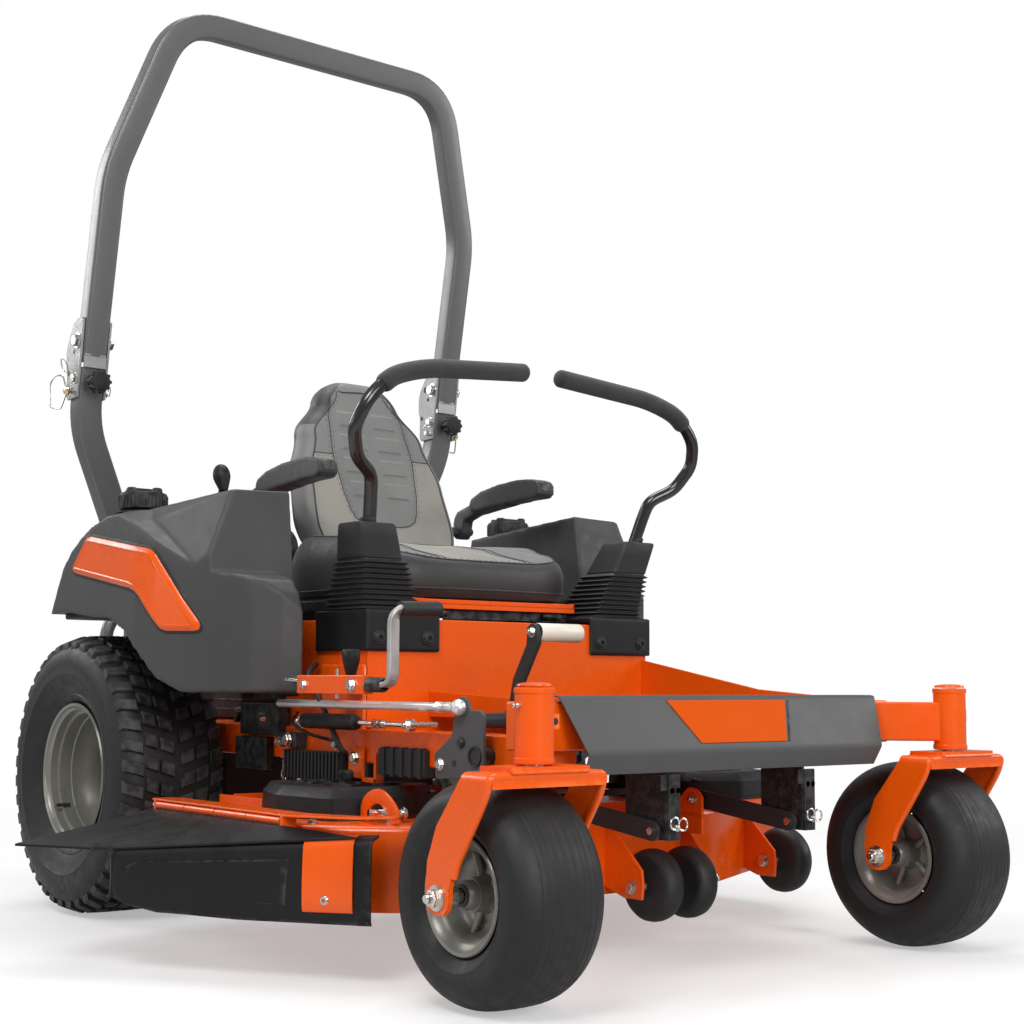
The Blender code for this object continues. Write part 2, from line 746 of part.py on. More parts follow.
def build_hoop(skins, datum):
    fold = pivot("rops_fold_axis", (0, FOLD_Y, FOLD_Z), datum)
    right = [
        (RIGHT * POST_UPPER_X, post_y(HOOP_BOTTOM), HOOP_BOTTOM),
        (RIGHT * POST_UPPER_X, post_y(HOOP_SHOULDER), HOOP_SHOULDER),
        (RIGHT * HOOP_TOP_X, post_y(HOOP_TOP), HOOP_TOP),
    ]
    left = [(-x, y, z) for x, y, z in reversed(right)]
    shoulders = rounded(right + left, 0.085, 4)
    section = square_section(HOOP_HALF_WIDTH, POST_HALF_DEPTH)
    hoop = swept(shoulders, section, (0, 1, POST_LEAN))
    cuts = []
    for side, _ in SIDES:
        ends = [(side * POST_UPPER_X + sign * 0.05, FOLD_Y, FOLD_Z) for sign in (-1, 1)]
        cuts.append(rod(*ends, FOLD_PIN_RADIUS + GAP, 12))
    fused("rops_hoop", skins["post"], fold, [hoop], cuts)


# ---------------------------------------------------------------- seat


def build_seat(skins, datum):
    tilt = pivot("seat_tilt_axis", (0, *SEAT_HINGE), datum)
    pan = [
        box((-0.200, 0.200), (-0.662, -0.240), (PAN_BOTTOM, PAN_TOP), 0.002),
        box((-0.170, 0.170), (-0.6615, -0.6560), (0.590, PAN_TOP - 0.003)),
        rod((-0.165, *SEAT_HINGE), (0.165, *SEAT_HINGE), 0.006, 10),
    ]
    fused("seat_pan", skins["orange"], tilt, pan)
    slide = pivot("seat_slide_axis", (0, -0.450, PAN_TOP), tilt)
    half = CUSHION_HALF_WIDTH
    plan = [
        (half - 0.020, -0.250),
        (half, -0.280),
        (half, -0.500),
        (half - 0.040, -0.570),
        (half - 0.085, -0.620),
        (half - 0.140, -0.645),
    ]
    outline = plan + mirror_x(reversed(plan))
    cushion = prism(outline, "z", PAN_TOP + GAP, CUSHION_TOP, 0.010)
    solid("seat_cushion", skins["vinyl"], slide, cushion)
    build_seat_back(skins, slide)
    for side, name in SIDES:
        build_armrest(skins, side, name, slide)


def build_seat_back(skins, slide):
    """Rings up the back: (height, half width, front face, thickness)."""
    levels = (
        (BACK_BOTTOM, BACK_HALF_WIDTH - 0.012, 0.100),
        (0.800, BACK_HALF_WIDTH, 0.100),
        (0.900, BACK_HALF_WIDTH - 0.006, 0.095),
        (1.000, 0.165, 0.088),
        (1.080, 0.110, 0.078),
        (BACK_TOP, 0.066, 0.060),
    )
    rings = []
    for z, half, depth in levels:
        front = BACK_FRONT + (z - BACK_BOTTOM) * BACK_LEAN
        soft = min(0.035, half * 0.4)
        plan = [
            (half, front + 0.030),
            (half, front + depth),
            (-half, front + depth),
            (-half, front + 0.030),
            (soft - half, front),
            (half - soft, front),
        ]
        rings.append([(x, y, z) for x, y in plan])
    solid("seat_back", skins["vinyl"], slide, lofted(rings))


def build_armrest(skins, side, name, slide):
    hinge = pivot(f"{name}_armrest_axis", (side * ARM_INNER, *ARM_PIVOT), slide)
    arm = [
        (-0.478, 0.880),
        (-0.470, 0.902),
        (-0.400, 0.912),
        (-0.220, 0.885),
        (-0.163, 0.865),
        (-0.158, 0.792),
        (-0.198, 0.792),
        (-0.202, 0.836),
        (-0.300, 0.862),
        (-0.420, 0.872),
    ]
    shapes = [
        prism(arm, "x", side * ARM_INNER, side * ARM_OUTER, 0.004),
        rod((side * (BACK_HALF_WIDTH + 0.001), *ARM_PIVOT), (side * 0.260, *ARM_PIVOT), 0.012, 10),
    ]
    fused(f"{name}_armrest", skins["black"], hinge, shapes)


# ---------------------------------------------------------------- steering levers


def lever_line(side, z):
    """A point on the line up through the boot, which leans forward and outward."""
    rise = z - LEVER_PIVOT[2]
    x = LEVER_PIVOT[0] + rise * LEVER_LEAN_OUT
    y = LEVER_PIVOT[1] - rise * LEVER_LEAN_FORWARD
    return (side * x, y, z)


def build_levers(skins, datum):
    for side, name in SIDES:
        x, y, z = LEVER_PIVOT
        control = pivot(f"{name}_control_axis", (side * x, y, z), datum)
        build_control_shaft(skins, side, name, control)
        build_boot(skins, side, name, control)
        swing = pivot(f"{name}_lever_swing_axis", lever_line(side, SWING_Z), control)
        path = [
            lever_line(side, SWING_Z - 0.008),
            (side * 0.338, -0.716, 0.810),
            (side * 0.345, -0.728, 0.842),
            (side * 0.393, -0.752, 0.868),
            (side * 0.417, -0.778, 0.915),
            (side * 0.405, -0.796, 0.958),
            (side * 0.385, -0.800, 0.984),
        ]
        tube = swept(rounded(path, 0.012, 2), round_section(LEVER_RADIUS), (0, 1, 0))
        solid(f"{name}_lever", skins["black"], swing, tube, True)
        held = Vector(path[-1])
        direction = (held - Vector(path[-2])).normalized()
        start = held + direction * GRIP_GAP
        bend = [
            start,
            (side * 0.345, -0.801, 1.016),
            (side * 0.272, -0.800, 1.036),
            (side * 0.036, -0.794, 1.056),
        ]
        grip = swept(rounded(bend, 0.022, 2), round_section(GRIP_RADIUS), (0, 1, 0))
        solid(f"{name}_grip", skins["rubber"], swing, grip, True)


def build_control_shaft(skins, side, name, control):
    """The cross shaft, the stub up into the boot and the fork that holds the lever."""
    x, y, z = LEVER_PIVOT
    fork_x, fork_y, _ = lever_line(side, SWING_Z)
    shapes = [
        rod((side * (x - 0.060), y, z), (side * (x + 0.060), y, z), 0.014, 12),
        rod(lever_line(side, z - 0.008), lever_line(side, 0.712), 0.011, 10),
        box((fork_x - 0.018, fork_x + 0.018), (fork_y - 0.0195, fork_y + 0.029), (0.700, 0.711)),
    ]
    for near, far in ((-0.0183, -0.0208), (0.022, 0.029)):
        cheek = (fork_y + near, fork_y + far)
        shapes.append(box((fork_x - 0.013, fork_x + 0.013), cheek, (0.702, 0.744)))
    fused(f"{name}_control_shaft", skins["steel"], control, shapes)


def build_boot(skins, side, name, control):
    """A hollow square bellows, open below, with a slot on top for the lever."""
    levels = ((BOOT_BOTTOM, 0.061), (0.650, 0.054), (0.700, 0.046), (BOOT_TOP, 0.038))
    under = BOOT_TOP - BOOT_WALL
    outside = [boot_ring(side, z, half, z, 0) for z, half in levels]
    inside = [boot_ring(side, z, half, min(z, under), BOOT_WALL) for z, half in reversed(levels)]
    slot = [slot_ring(side, z) for z in (BOOT_TOP, under)]
    bellows = lofted(outside + slot + inside, closed_ends=False)
    solid(f"{name}_boot", skins["rubber"], control, bellows)


def boot_ring(side, on_line, half, z, wall):
    """Four corners round the bellows, whose middle lies inward of the lever's line and behind it."""
    x, y, _ = lever_line(side, on_line)
    out = max(half - BOOT_SHIFT, SLOT_HALF_WIDTH + BOOT_WALL + 0.001) - wall
    inward = wall - half - BOOT_SHIFT
    rear = half + BOOT_SHIFT - wall
    front = BOOT_SHIFT - half + wall
    corners = ((out, rear), (out, front), (inward, front), (inward, rear))
    return [(x + side * across, y + along, z) for across, along in corners]


def slot_ring(side, z):
    x, y, _ = lever_line(side, z)
    corners = ((1, 1), (1, -1), (-1, -1), (-1, 1))
    return [(x + side * u * SLOT_HALF_WIDTH, y + v * SLOT_HALF_DEPTH, z) for u, v in corners]


# ---------------------------------------------------------------- cutting deck


def deck_outline(inset=0.0):
    """The deck's plan shape, drawn in by inset."""
    plan = [
        (-0.470, -0.985),
        (-0.420, -1.020),
        (0.250, -1.005),
        (0.450, -0.905),
        (0.620, -0.850),
        (DECK_LEFT, -0.720),
        (DECK_LEFT, -0.560),
        (0.640, -0.440),
        (0.500, -0.370),
        (-0.480, -0.370),
        (-0.600, -0.440),
        (-0.600, -0.850),
    ]
    middle = (0.04, -0.70)
    reach = [math.hypot(x - middle[0], y - middle[1]) for x, y in plan]
    return [
        (middle[0] + (x - middle[0]) * (1 - inset / r), middle[1] + (y - middle[1]) * (1 - inset / r))
        for (x, y), r in zip(plan, reach)
    ]


def build_deck(skins, datum):
    lift = pivot("deck_lift_axis", (0, -0.700, DECK_TOP), datum)
    shapes = [prism(deck_outline(), "z", DECK_BOTTOM, DECK_TOP)]
    hollow = prism(deck_outline(DECK_WALL), "z", DECK_BOTTOM - 0.02, DECK_TOP - DECK_WALL)
    discharge = box((-0.700, -0.520), (-0.860, -0.470), (DECK_BOTTOM - 0.02, DECK_TOP - 0.014))
    cuts = [hollow, discharge]
    for _, x, y in SPINDLES:
        cuts.append(rod((x, y, DECK_TOP - 0.03), (x, y, DECK_TOP + 0.02), SPINDLE_RADIUS + 0.003, 12))
    bracket = [
        (-0.960, 0.232),
        (-1.035, 0.215),
        (-1.105, 0.150),
        (-1.105, 0.100),
        (-1.060, 0.100),
        (-0.960, 0.130),
    ]
    shapes.append(prism(bracket, "x", -0.034, -0.028))
    shifted = [(y + 0.100, z) for y, z in bracket]
    shapes.append(prism(shifted, "x", 0.408, 0.414))
    lug = [(-1.080, 0.230), (-1.080, 0.272), (-1.040, 0.282), (-0.990, 0.230)]
    for side, _ in SIDES:
        x = side * HANGER_X - 0.0225
        shapes.append(prism(lug, "x", x, x + 0.006))
        shapes.append(box((x, x + 0.006), (-1.080, -0.980), (0.200, 0.237)))
    fused("deck_shell", skins["orange"], lift, shapes, cuts)
    build_belt_covers(skins, lift)
    build_blades(skins, lift)
    build_gauge_wheels(skins, lift)
    build_chute(skins, lift)


def build_belt_covers(skins, lift):
    for side, name in SIDES:
        middle = SPINDLES[0][1] if side == RIGHT else SPINDLES[2][1]
        plan = [
            (middle + 0.100, -0.565),
            (middle + 0.142, -0.640),
            (middle + 0.124, -0.822),
            (middle + 0.020, -0.880),
            (middle - 0.112, -0.850),
            (middle - 0.132, -0.700),
            (middle - 0.086, -0.575),
        ]
        if side == LEFT:
            plan = [(2 * middle - x, y) for x, y in plan]
        inner = [(middle + (x - middle) * 0.95, -0.72 + (y + 0.72) * 0.95) for x, y in plan]
        shell = prism(plan, "z", DECK_TOP + GAP, BELT_COVER_TOP)
        hollow = prism(inner, "z", DECK_TOP - 0.02, BELT_COVER_TOP - SHEET)
        fused(f"{name}_belt_cover", skins["black"], lift, [shell], [hollow])


def build_blades(skins, lift):
    """Each blade is one piece with its spindle and the pulley above the deck."""
    for name, x, y in SPINDLES:
        axis = pivot(f"{name}_blade_axis", (x, y, BLADE_Z), lift)
        blade = [
            (-BLADE_RADIUS, -0.020),
            (-0.060, -0.028),
            (0.060, -0.028),
            (BLADE_RADIUS, -0.028),
            (BLADE_RADIUS - 0.002, 0.020),
            (0.060, 0.028),
            (-0.060, 0.028),
            (-BLADE_RADIUS + 0.002, 0.028),
        ]
        plan = [(x + u, y + v) for u, v in blade]
        shapes = [
            prism(plan, "z", BLADE_Z, BLADE_Z + 0.006),
            rod((x, y, BLADE_Z - 0.012), (x, y, 0.272), SPINDLE_RADIUS, 12),
            rod((x, y, BLADE_Z + 0.005), (x, y, 0.205), 0.035, 12, 0.028),
            rod((x, y, 0.247), (x, y, 0.265), 0.055, 16),
        ]
        fused(f"{name}_blade", skins["steel"], axis, shapes)


def build_gauge_wheels(skins, lift):
    """Small rollers that keep the deck off high ground: a pair and a single."""
    half = GAUGE_WHEEL_WIDTH / 2
    r = GAUGE_WHEEL_RADIUS
    near = [(0, -half), (r * 0.7, -half), (r * 0.93, -half * 0.6)]
    tread = near + [(r, 0)] + [(out, -along) for out, along in reversed(near)]
    for name, bracket_x, y, z, wheels in (
        ("gauge_wheel_pair", -0.034, -1.080, 0.120, (0.018, 0.100)),
        ("left_gauge_wheel", 0.408, -0.980, 0.128, (0.462,)),
    ):
        axis = pivot(f"{name}_axis", (wheels[0], y, z), lift)
        shapes = [turned(tread, (x, y, z), (1, 0, 0), 16) for x in wheels]
        start = bracket_x + 0.0065
        shapes.append(rod((start, y, z), (wheels[-1] + half + 0.004, y, z), 0.007, 8))
        fused(name, skins["rubber"], axis, shapes, smooth=True)


def build_chute(skins, lift):
    """A hinged deflector: a top sheet and a front wall that runs diagonally outwards."""
    hinge = pivot("chute_axis", (CHUTE_HINGE_X, -0.700, CHUTE_HINGE_Z), lift)
    thick = 0.006
    root_z = DECK_TOP + 0.003
    tip_z = 0.200
    top = [
        (-0.548, -1.030, root_z - 0.012),
        (-0.800, -0.660, tip_z - 0.003),
        (*CHUTE_TIP, tip_z),
        (-0.690, -0.430, tip_z + 0.022),
        (-0.6125, -0.440, root_z),
        (-0.6125, -0.900, root_z),
    ]
    sheet = lofted([top, [(x, y, z - thick) for x, y, z in top]])
    wall = [
        (-0.542, -1.036, 0.226),
        (-0.800, -0.662, tip_z - 0.004),
        (-0.797, -0.656, 0.100),
        (-0.525, -1.036, 0.092),
    ]
    inner = [(x + 0.0035, y + 0.005, z) for x, y, z in wall]
    front = lofted([wall, inner])
    ends = [(CHUTE_HINGE_X, y, CHUTE_HINGE_Z) for y in (-0.880, -0.470)]
    knuckle = rod(*ends, 0.0065, 10)
    fused("discharge_chute", skins["black"], hinge, [sheet, front, knuckle])


# ---------------------------------------------------------------- deck lift and hand controls


def build_deck_lift(skins, datum):
    build_pedal(skins, datum)
    build_crank_and_rod(skins, datum)
    for side, name in SIDES:
        x = side * HANGER_X - 0.0125
        at = (x, *HANGER_PIN)
        axis = pivot(f"{name}_deck_link_axis", at, datum)
        bar = bar_outline(HANGER_PIN, LINK_REAR, 0.016)
        bore = rod((x - 0.01, *HANGER_PIN), (x + 0.02, *HANGER_PIN), HANGER_PIN_RADIUS + GAP, 12)
        fused(f"{name}_deck_link", skins["black"], axis, [prism(bar, "x", x, x + 0.008)], [bore])


def bar_outline(start, end, half):
    """A flat bar's outline with eased ends, from one pin to another."""
    start = Vector(start)
    end = Vector(end)
    along = (end - start).normalized() * half
    across = Vector((-along.y, along.x))
    corners = [
        start - along + across * 0.5,
        start - along * 0.5 + across,
        end + along * 0.5 + across,
        end + along + across * 0.5,
        end + along - across * 0.5,
        end + along * 0.5 - across,
        start - along * 0.5 - across,
        start - along - across * 0.5,
    ]
    return [tuple(corner) for corner in corners]


def build_pedal(skins, datum):
    axis = pivot("lift_pedal_axis", (-0.227, *PEDAL_PIVOT), datum)
    arm = [
        (PEDAL_PIVOT[0] - 0.012, PEDAL_PIVOT[1] - 0.014),
        (PEDAL_PIVOT[0] + 0.014, PEDAL_PIVOT[1] - 0.010),
        (PEDAL_PIVOT[0] + 0.002, PEDAL_PIVOT[1] + 0.070),
        (PEDAL_TOP[0] + 0.016, PEDAL_TOP[1] - 0.020),
        (PEDAL_TOP[0] + 0.014, PEDAL_TOP[1] + 0.014),
        (PEDAL_TOP[0] - 0.014, PEDAL_TOP[1] + 0.014),
        (PEDAL_TOP[0] - 0.014, PEDAL_TOP[1] - 0.020),
        (PEDAL_PIVOT[0] - 0.026, PEDAL_PIVOT[1] + 0.060),
    ]
    shapes = [
        prism(arm, "x", -0.232, -0.222),
        rod((-0.300, *PEDAL_PIVOT), (-0.210, *PEDAL_PIVOT), 0.013, 12),
        rod((-0.224, *PEDAL_TOP), (-0.128, *PEDAL_TOP), 0.0155, 14),
    ]
    fused("lift_pedal", skins["black"], axis, shapes)


def build_crank_and_rod(skins, datum):
    axis = pivot("lift_crank_axis", (CRANK_X, *CRANK_PIVOT), datum)
    plate = [
        (-1.117, 0.319),
        (-0.988, 0.312),
        (-0.985, 0.352),
        (-1.008, 0.366),
        (-1.036, 0.386),
        (-1.042, 0.432),
        (-1.056, 0.446),
        (-1.074, 0.440),
        (-1.080, 0.424),
        (-1.117, 0.420),
    ]
    shapes = [
        prism(plate, "x", CRANK_X, CRANK_X + 0.006),
        rod((CRANK_X + 0.002, *CRANK_PIVOT), (-RAIL_OUTER - 0.001, *CRANK_PIVOT), 0.014, 12),
    ]
    fused("lift_crank", skins["post"], axis, shapes)
    rod_x = CRANK_X - 0.0085
    slide = pivot("lift_rod_axis", (rod_x, *CRANK_ROD), datum)
    shapes = [
        rod((rod_x, CRANK_ROD[0] - 0.010, CRANK_ROD[1]), (rod_x, LIFT_ROD_REAR, CRANK_ROD[1]), 0.006, 10),
        rod((rod_x - 0.009, *CRANK_ROD), (CRANK_X - GAP, *CRANK_ROD), 0.010, 12),
    ]
    fused("lift_rod", skins["steel"], slide, shapes, smooth=True)


def build_hand_levers(skins, datum):
    lock_x, lock_z = LOCK_AXIS
    axis = pivot("lock_lever_axis", (lock_x, -0.920, lock_z), datum)
    path = [
        (lock_x, -0.8855, lock_z),
        (lock_x, -0.955, lock_z),
        (lock_x, -0.957, 0.586),
        (-0.395, -0.957, 0.590),
    ]
    bent = swept(rounded(path, 0.016, 3), round_section(0.0085), (0.35, 0.35, 0.87))
    solid("lock_lever", skins["steel"], axis, bent, True)
    axis = pivot("brake_lever_axis", (BRAKE_X, *BRAKE_PIVOT), datum)
    knob = [(0, -0.030), (0.010, -0.028), (0.016, -0.004), (0.017, 0.012), (0.010, 0.026), (0, 0.028)]
    top = (BRAKE_X, -0.168, 0.885)
    shapes = [
        rod((BRAKE_X, *BRAKE_PIVOT), top, 0.006, 8),
        rod((BRAKE_X - 0.008, *BRAKE_PIVOT), (BRAKE_X + 0.014, *BRAKE_PIVOT), 0.014, 12),
        turned(knob, top, (0, 0, 1), 12),
    ]
    fused("brake_lever", skins["black"], axis, shapes, smooth=True)


def main():
    clear_scene()
    skins = make_skins()
    datum = pivot("machine_datum", (0, 0, 0))
    datum.location = (-CENTRE_X, -CENTRE_Y, 0)
    build_main_frame(skins, datum)
    build_front_beam_cover(skins, datum)
    build_front_body_panel(skins, datum)
    build_foot_platform(skins, datum)
    build_control_bases(skins, datum)
    build_tanks(skins, datum)
    build_engine(skins, datum)
    build_transaxles(skins, datum)
    build_rear_wheels(skins, datum)
    build_casters(skins, datum)
    build_rops(skins, datum)
    build_seat(skins, datum)
    build_levers(skins, datum)
    build_deck(skins, datum)
    build_deck_lift(skins, datum)
    build_hand_levers(skins, datum)


main()
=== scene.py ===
"""Zero turn mower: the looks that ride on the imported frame.

Shapes are drawn in machine coordinates, as the frame's parts are: x = 0 on the centre plane, y = 0 on
the rear axle, z = 0 on the ground, front towards -Y and the driver's right towards -X. DATUM moves
them to the frame's own coordinates.
"""

import math
import random

import bmesh
import bpy
from mathutils import Matrix, Vector


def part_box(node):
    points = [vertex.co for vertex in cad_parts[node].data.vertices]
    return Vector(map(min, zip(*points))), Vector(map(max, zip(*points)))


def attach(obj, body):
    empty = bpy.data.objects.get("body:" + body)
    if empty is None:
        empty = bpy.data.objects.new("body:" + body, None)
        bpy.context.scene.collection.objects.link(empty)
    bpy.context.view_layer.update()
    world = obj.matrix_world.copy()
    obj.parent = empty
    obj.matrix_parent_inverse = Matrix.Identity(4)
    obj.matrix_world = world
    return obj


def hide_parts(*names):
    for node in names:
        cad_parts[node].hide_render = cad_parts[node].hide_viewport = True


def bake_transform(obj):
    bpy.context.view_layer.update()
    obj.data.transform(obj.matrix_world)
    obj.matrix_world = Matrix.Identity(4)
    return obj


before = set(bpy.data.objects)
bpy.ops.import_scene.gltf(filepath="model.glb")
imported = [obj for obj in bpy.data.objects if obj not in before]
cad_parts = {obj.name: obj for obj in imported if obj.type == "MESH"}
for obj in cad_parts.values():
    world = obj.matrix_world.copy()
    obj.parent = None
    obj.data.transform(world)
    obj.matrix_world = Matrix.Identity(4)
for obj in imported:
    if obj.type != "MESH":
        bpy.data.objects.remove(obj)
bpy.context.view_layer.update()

RIGHT = -1
LEFT = 1
SIDES = ((RIGHT, "right"), (LEFT, "left"))


def middle(node):
    low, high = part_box(node)
    return (Vector(low) + Vector(high)) / 2


RIGHT_AXLE = middle("right_rear_tyre")
LEFT_AXLE = middle("left_rear_tyre")
DATUM = Vector(((RIGHT_AXLE.x + LEFT_AXLE.x) / 2, RIGHT_AXLE.y, 0))

# ---------------------------------------------------------------- materials


def skin(name, colour, rough, metal=0.0, mottle=0.08, mottle_scale=7.0, grain=700.0, bump=0.08,
         rough_spread=0.10, wear=None, wear_from=0.53, coat=0.0, sheen=0.0, dust=0.0, shine=0.5):
    """A finish with patchy colour, uneven gloss, a fine grain, and optional worn edges and dust."""
    material = bpy.data.materials.new(name)
    material.use_nodes = True
    tree = material.node_tree
    shader = tree.nodes["Principled BSDF"]
    link = tree.links.new
    place = tree.nodes.new("ShaderNodeTexCoord").outputs["Object"]

    def noise(scale, detail):
        node = tree.nodes.new("ShaderNodeTexNoise")
        node.inputs["Scale"].default_value = scale
        node.inputs["Detail"].default_value = detail
        link(place, node.inputs["Vector"])
        return node.outputs["Fac"]

    def spread(value, low, high, start=0.3, end=0.7):
        node = tree.nodes.new("ShaderNodeMapRange")
        link(value, node.inputs["Value"])
        node.inputs["From Min"].default_value = start
        node.inputs["From Max"].default_value = end
        node.inputs["To Min"].default_value = low
        node.inputs["To Max"].default_value = high
        return node.outputs["Result"]

    def mixed(factor, first, second):
        node = tree.nodes.new("ShaderNodeMix")
        node.data_type = "RGBA"
        link(factor, node.inputs["Factor"])
        for value, socket in ((first, node.inputs["A"]), (second, node.inputs["B"])):
            if isinstance(value, tuple):
                socket.default_value = (*value, 1)
            else:
                link(value, socket)
        return node.outputs["Result"]

    def product(first, second):
        node = tree.nodes.new("ShaderNodeMath")
        node.operation = "MULTIPLY"
        link(first, node.inputs[0])
        link(second, node.inputs[1])
        return node.outputs[0]

    low = tuple(c * (1 - mottle) for c in colour)
    high = tuple(min(c * (1 + mottle), 1) for c in colour)
    tint = mixed(spread(noise(mottle_scale, 5), 0, 1), low, high)
    gloss = spread(noise(mottle_scale * 5, 6), rough - rough_spread, rough + rough_spread)
    if wear:
        edge = tree.nodes.new("ShaderNodeNewGeometry").outputs["Pointiness"]
        worn = product(spread(edge, 0, 1, wear_from, wear_from + 0.06), spread(noise(60, 4), 0, 0.85, 0.42, 0.6))
        tint = mixed(worn, tint, wear)
    if dust:
        split = tree.nodes.new("ShaderNodeSeparateXYZ")
        link(tree.nodes.new("ShaderNodeNewGeometry").outputs["Normal"], split.inputs[0])
        settled = product(spread(split.outputs["Z"], 0, 1, 0.2, 1.0), spread(noise(14, 7), 0, dust, 0.35, 0.7))
        tint = mixed(settled, tint, (0.20, 0.185, 0.165))
    link(tint, shader.inputs["Base Color"])
    link(gloss, shader.inputs["Roughness"])
    shader.inputs["Metallic"].default_value = metal
    shader.inputs["Specular IOR Level"].default_value = shine
    shader.inputs["Coat Weight"].default_value = coat
    shader.inputs["Coat Roughness"].default_value = 0.12
    shader.inputs["Sheen Weight"].default_value = sheen
    relief = tree.nodes.new("ShaderNodeBump")
    relief.inputs["Strength"].default_value = bump
    relief.inputs["Distance"].default_value = 0.002
    link(noise(grain, 3), relief.inputs["Height"])
    link(relief.outputs["Normal"], shader.inputs["Normal"])
    return material


ORANGE = skin("orange_powder_coat", (0.80, 0.096, 0.002), 0.27, shine=0.32, mottle=0.03, grain=420, bump=0.05,
              coat=0.22, wear=(0.90, 0.20, 0.04), wear_from=0.60)
GREY = skin("grey_moulded_plastic", (0.052, 0.052, 0.053), 0.46, shine=0.35, mottle=0.07, grain=1500, bump=0.16,
            wear=(0.15, 0.15, 0.15), wear_from=0.54, dust=0.08)
COVER = skin("grey_cover_paint", (0.078, 0.079, 0.081), 0.44, shine=0.22, mottle=0.04, grain=900, bump=0.07,
             wear=(0.20, 0.20, 0.20), wear_from=0.64, dust=0.04, rough_spread=0.04)
TUBE = skin("grey_tube_paint", (0.120, 0.120, 0.123), 0.36, 0.2, mottle=0.04, grain=900, bump=0.05, rough_spread=0.03, coat=0.15)
FILM = skin("orange_patch_film", (0.60, 0.076, 0.001), 0.50, shine=0.04, mottle=0.02, grain=900, bump=0.04, rough_spread=0.04)
# hinge plate grey: paler than the tube paint; the extra lightness is painted light, standing in for light falling on
# the plates' faces
CHEEK = skin("hinge_grey_painted_light", (0.30, 0.30, 0.30), 0.38, 0.35, mottle=0.10, mottle_scale=26, grain=900, bump=0.10,
             wear=(0.16, 0.16, 0.16), wear_from=0.58)
DARK = skin("dark_plate_paint", (0.024, 0.024, 0.026), 0.42, 0.1, shine=0.35, mottle=0.10, grain=800, bump=0.08,
            wear=(0.12, 0.12, 0.12), wear_from=0.60, dust=0.03)
BLACK = skin("black_textured_plastic", (0.008, 0.008, 0.009), 0.44, shine=0.28, mottle=0.12, grain=1700, bump=0.20,
             wear=(0.07, 0.07, 0.07), wear_from=0.54, dust=0.06)
CHUTE = skin("black_chute_rubber", (0.008, 0.008, 0.009), 0.48, shine=0.25, mottle=0.14, grain=420, bump=0.18,
             wear=(0.06, 0.06, 0.06), wear_from=0.54, dust=0.05)
RUBBER = skin("black_rubber", (0.014, 0.014, 0.015), 0.55, mottle=0.15, grain=1200, bump=0.12, dust=0.05)
FOAM = skin("grip_foam", (0.022, 0.022, 0.023), 0.78, mottle=0.12, grain=2600, bump=0.45, sheen=0.2)
TYRE = skin("tyre_rubber", (0.011, 0.011, 0.012), 0.52, shine=0.36, mottle=0.16, mottle_scale=11, grain=900, bump=0.14,
            wear=(0.045, 0.044, 0.042), wear_from=0.53, dust=0.07)
RIM = skin("rim_silver_paint", (0.22, 0.215, 0.19), 0.36, 0.35, mottle=0.07, grain=700, bump=0.06,
           wear=(0.34, 0.33, 0.30), wear_from=0.62, dust=0.05)
ZINC = skin("zinc_plated_steel", (0.66, 0.65, 0.61), 0.24, 1.0, mottle=0.10, mottle_scale=40, grain=1600, bump=0.05)
SATIN = skin("satin_drawn_steel", (0.80, 0.80, 0.79), 0.38, 0.75, mottle=0.05, mottle_scale=30, grain=2200, bump=0.05, rough_spread=0.05)
BRIGHT = skin("bright_drawn_steel", (0.78, 0.78, 0.77), 0.16, 1.0, mottle=0.05, mottle_scale=30, grain=2200, bump=0.05)
CASTING = skin("black_engine_casting", (0.030, 0.030, 0.032), 0.50, 0.35, mottle=0.14, mottle_scale=22, grain=520,
               bump=0.35, wear=(0.18, 0.18, 0.18), wear_from=0.54, dust=0.12)
ALLOY = skin("raw_cast_alloy", (0.42, 0.42, 0.41), 0.44, 0.8, mottle=0.14, mottle_scale=25, grain=600, bump=0.30)
HOT = skin("heat_stained_steel", (0.30, 0.27, 0.24), 0.42, 0.9, mottle=0.30, mottle_scale=14, grain=500, bump=0.12)
VINYL_DARK = skin("black_vinyl", (0.024, 0.024, 0.025), 0.46, mottle=0.10, mottle_scale=12, grain=620, bump=0.30,
                  sheen=0.15, dust=0.04)
VINYL_GREY = skin("grey_vinyl", (0.155, 0.155, 0.152), 0.50, mottle=0.09, mottle_scale=12, grain=620, bump=0.30,
                  sheen=0.15, dust=0.04)
VINYL_WARM = skin("warm_grey_insert", (0.235, 0.222, 0.195), 0.55, mottle=0.10, mottle_scale=14, grain=620, bump=0.34,
                  sheen=0.2)
LEVER = skin("black_lever_paint", (0.014, 0.014, 0.015), 0.22, shine=0.45, mottle=0.08, grain=700, bump=0.03, rough_spread=0.03, coat=0.5)
THREAD = skin("seat_thread", (0.10, 0.10, 0.10), 0.8, mottle=0.2, mottle_scale=200, grain=3000, bump=0.5)
CREAM = skin("cream_roller_plastic", (0.72, 0.69, 0.60), 0.36, mottle=0.05, mottle_scale=20, grain=900, bump=0.08,
             dust=0.10)
BRASS = skin("yellow_passivated_steel", (0.72, 0.60, 0.30), 0.28, 1.0, mottle=0.15, mottle_scale=40, grain=1500, bump=0.06)
BELT = skin("drive_belt", (0.012, 0.012, 0.012), 0.75, mottle=0.2, mottle_scale=60, grain=2200, bump=0.5)

# ---------------------------------------------------------------- shapes


def joined(shapes):
    """Several shapes as one, which stay separate skins."""
    whole = bmesh.new()
    for shape in shapes:
        mesh = bpy.data.meshes.new("part")
        shape.to_mesh(mesh)
        shape.free()
        whole.from_mesh(mesh)
        bpy.data.meshes.remove(mesh)
    return whole


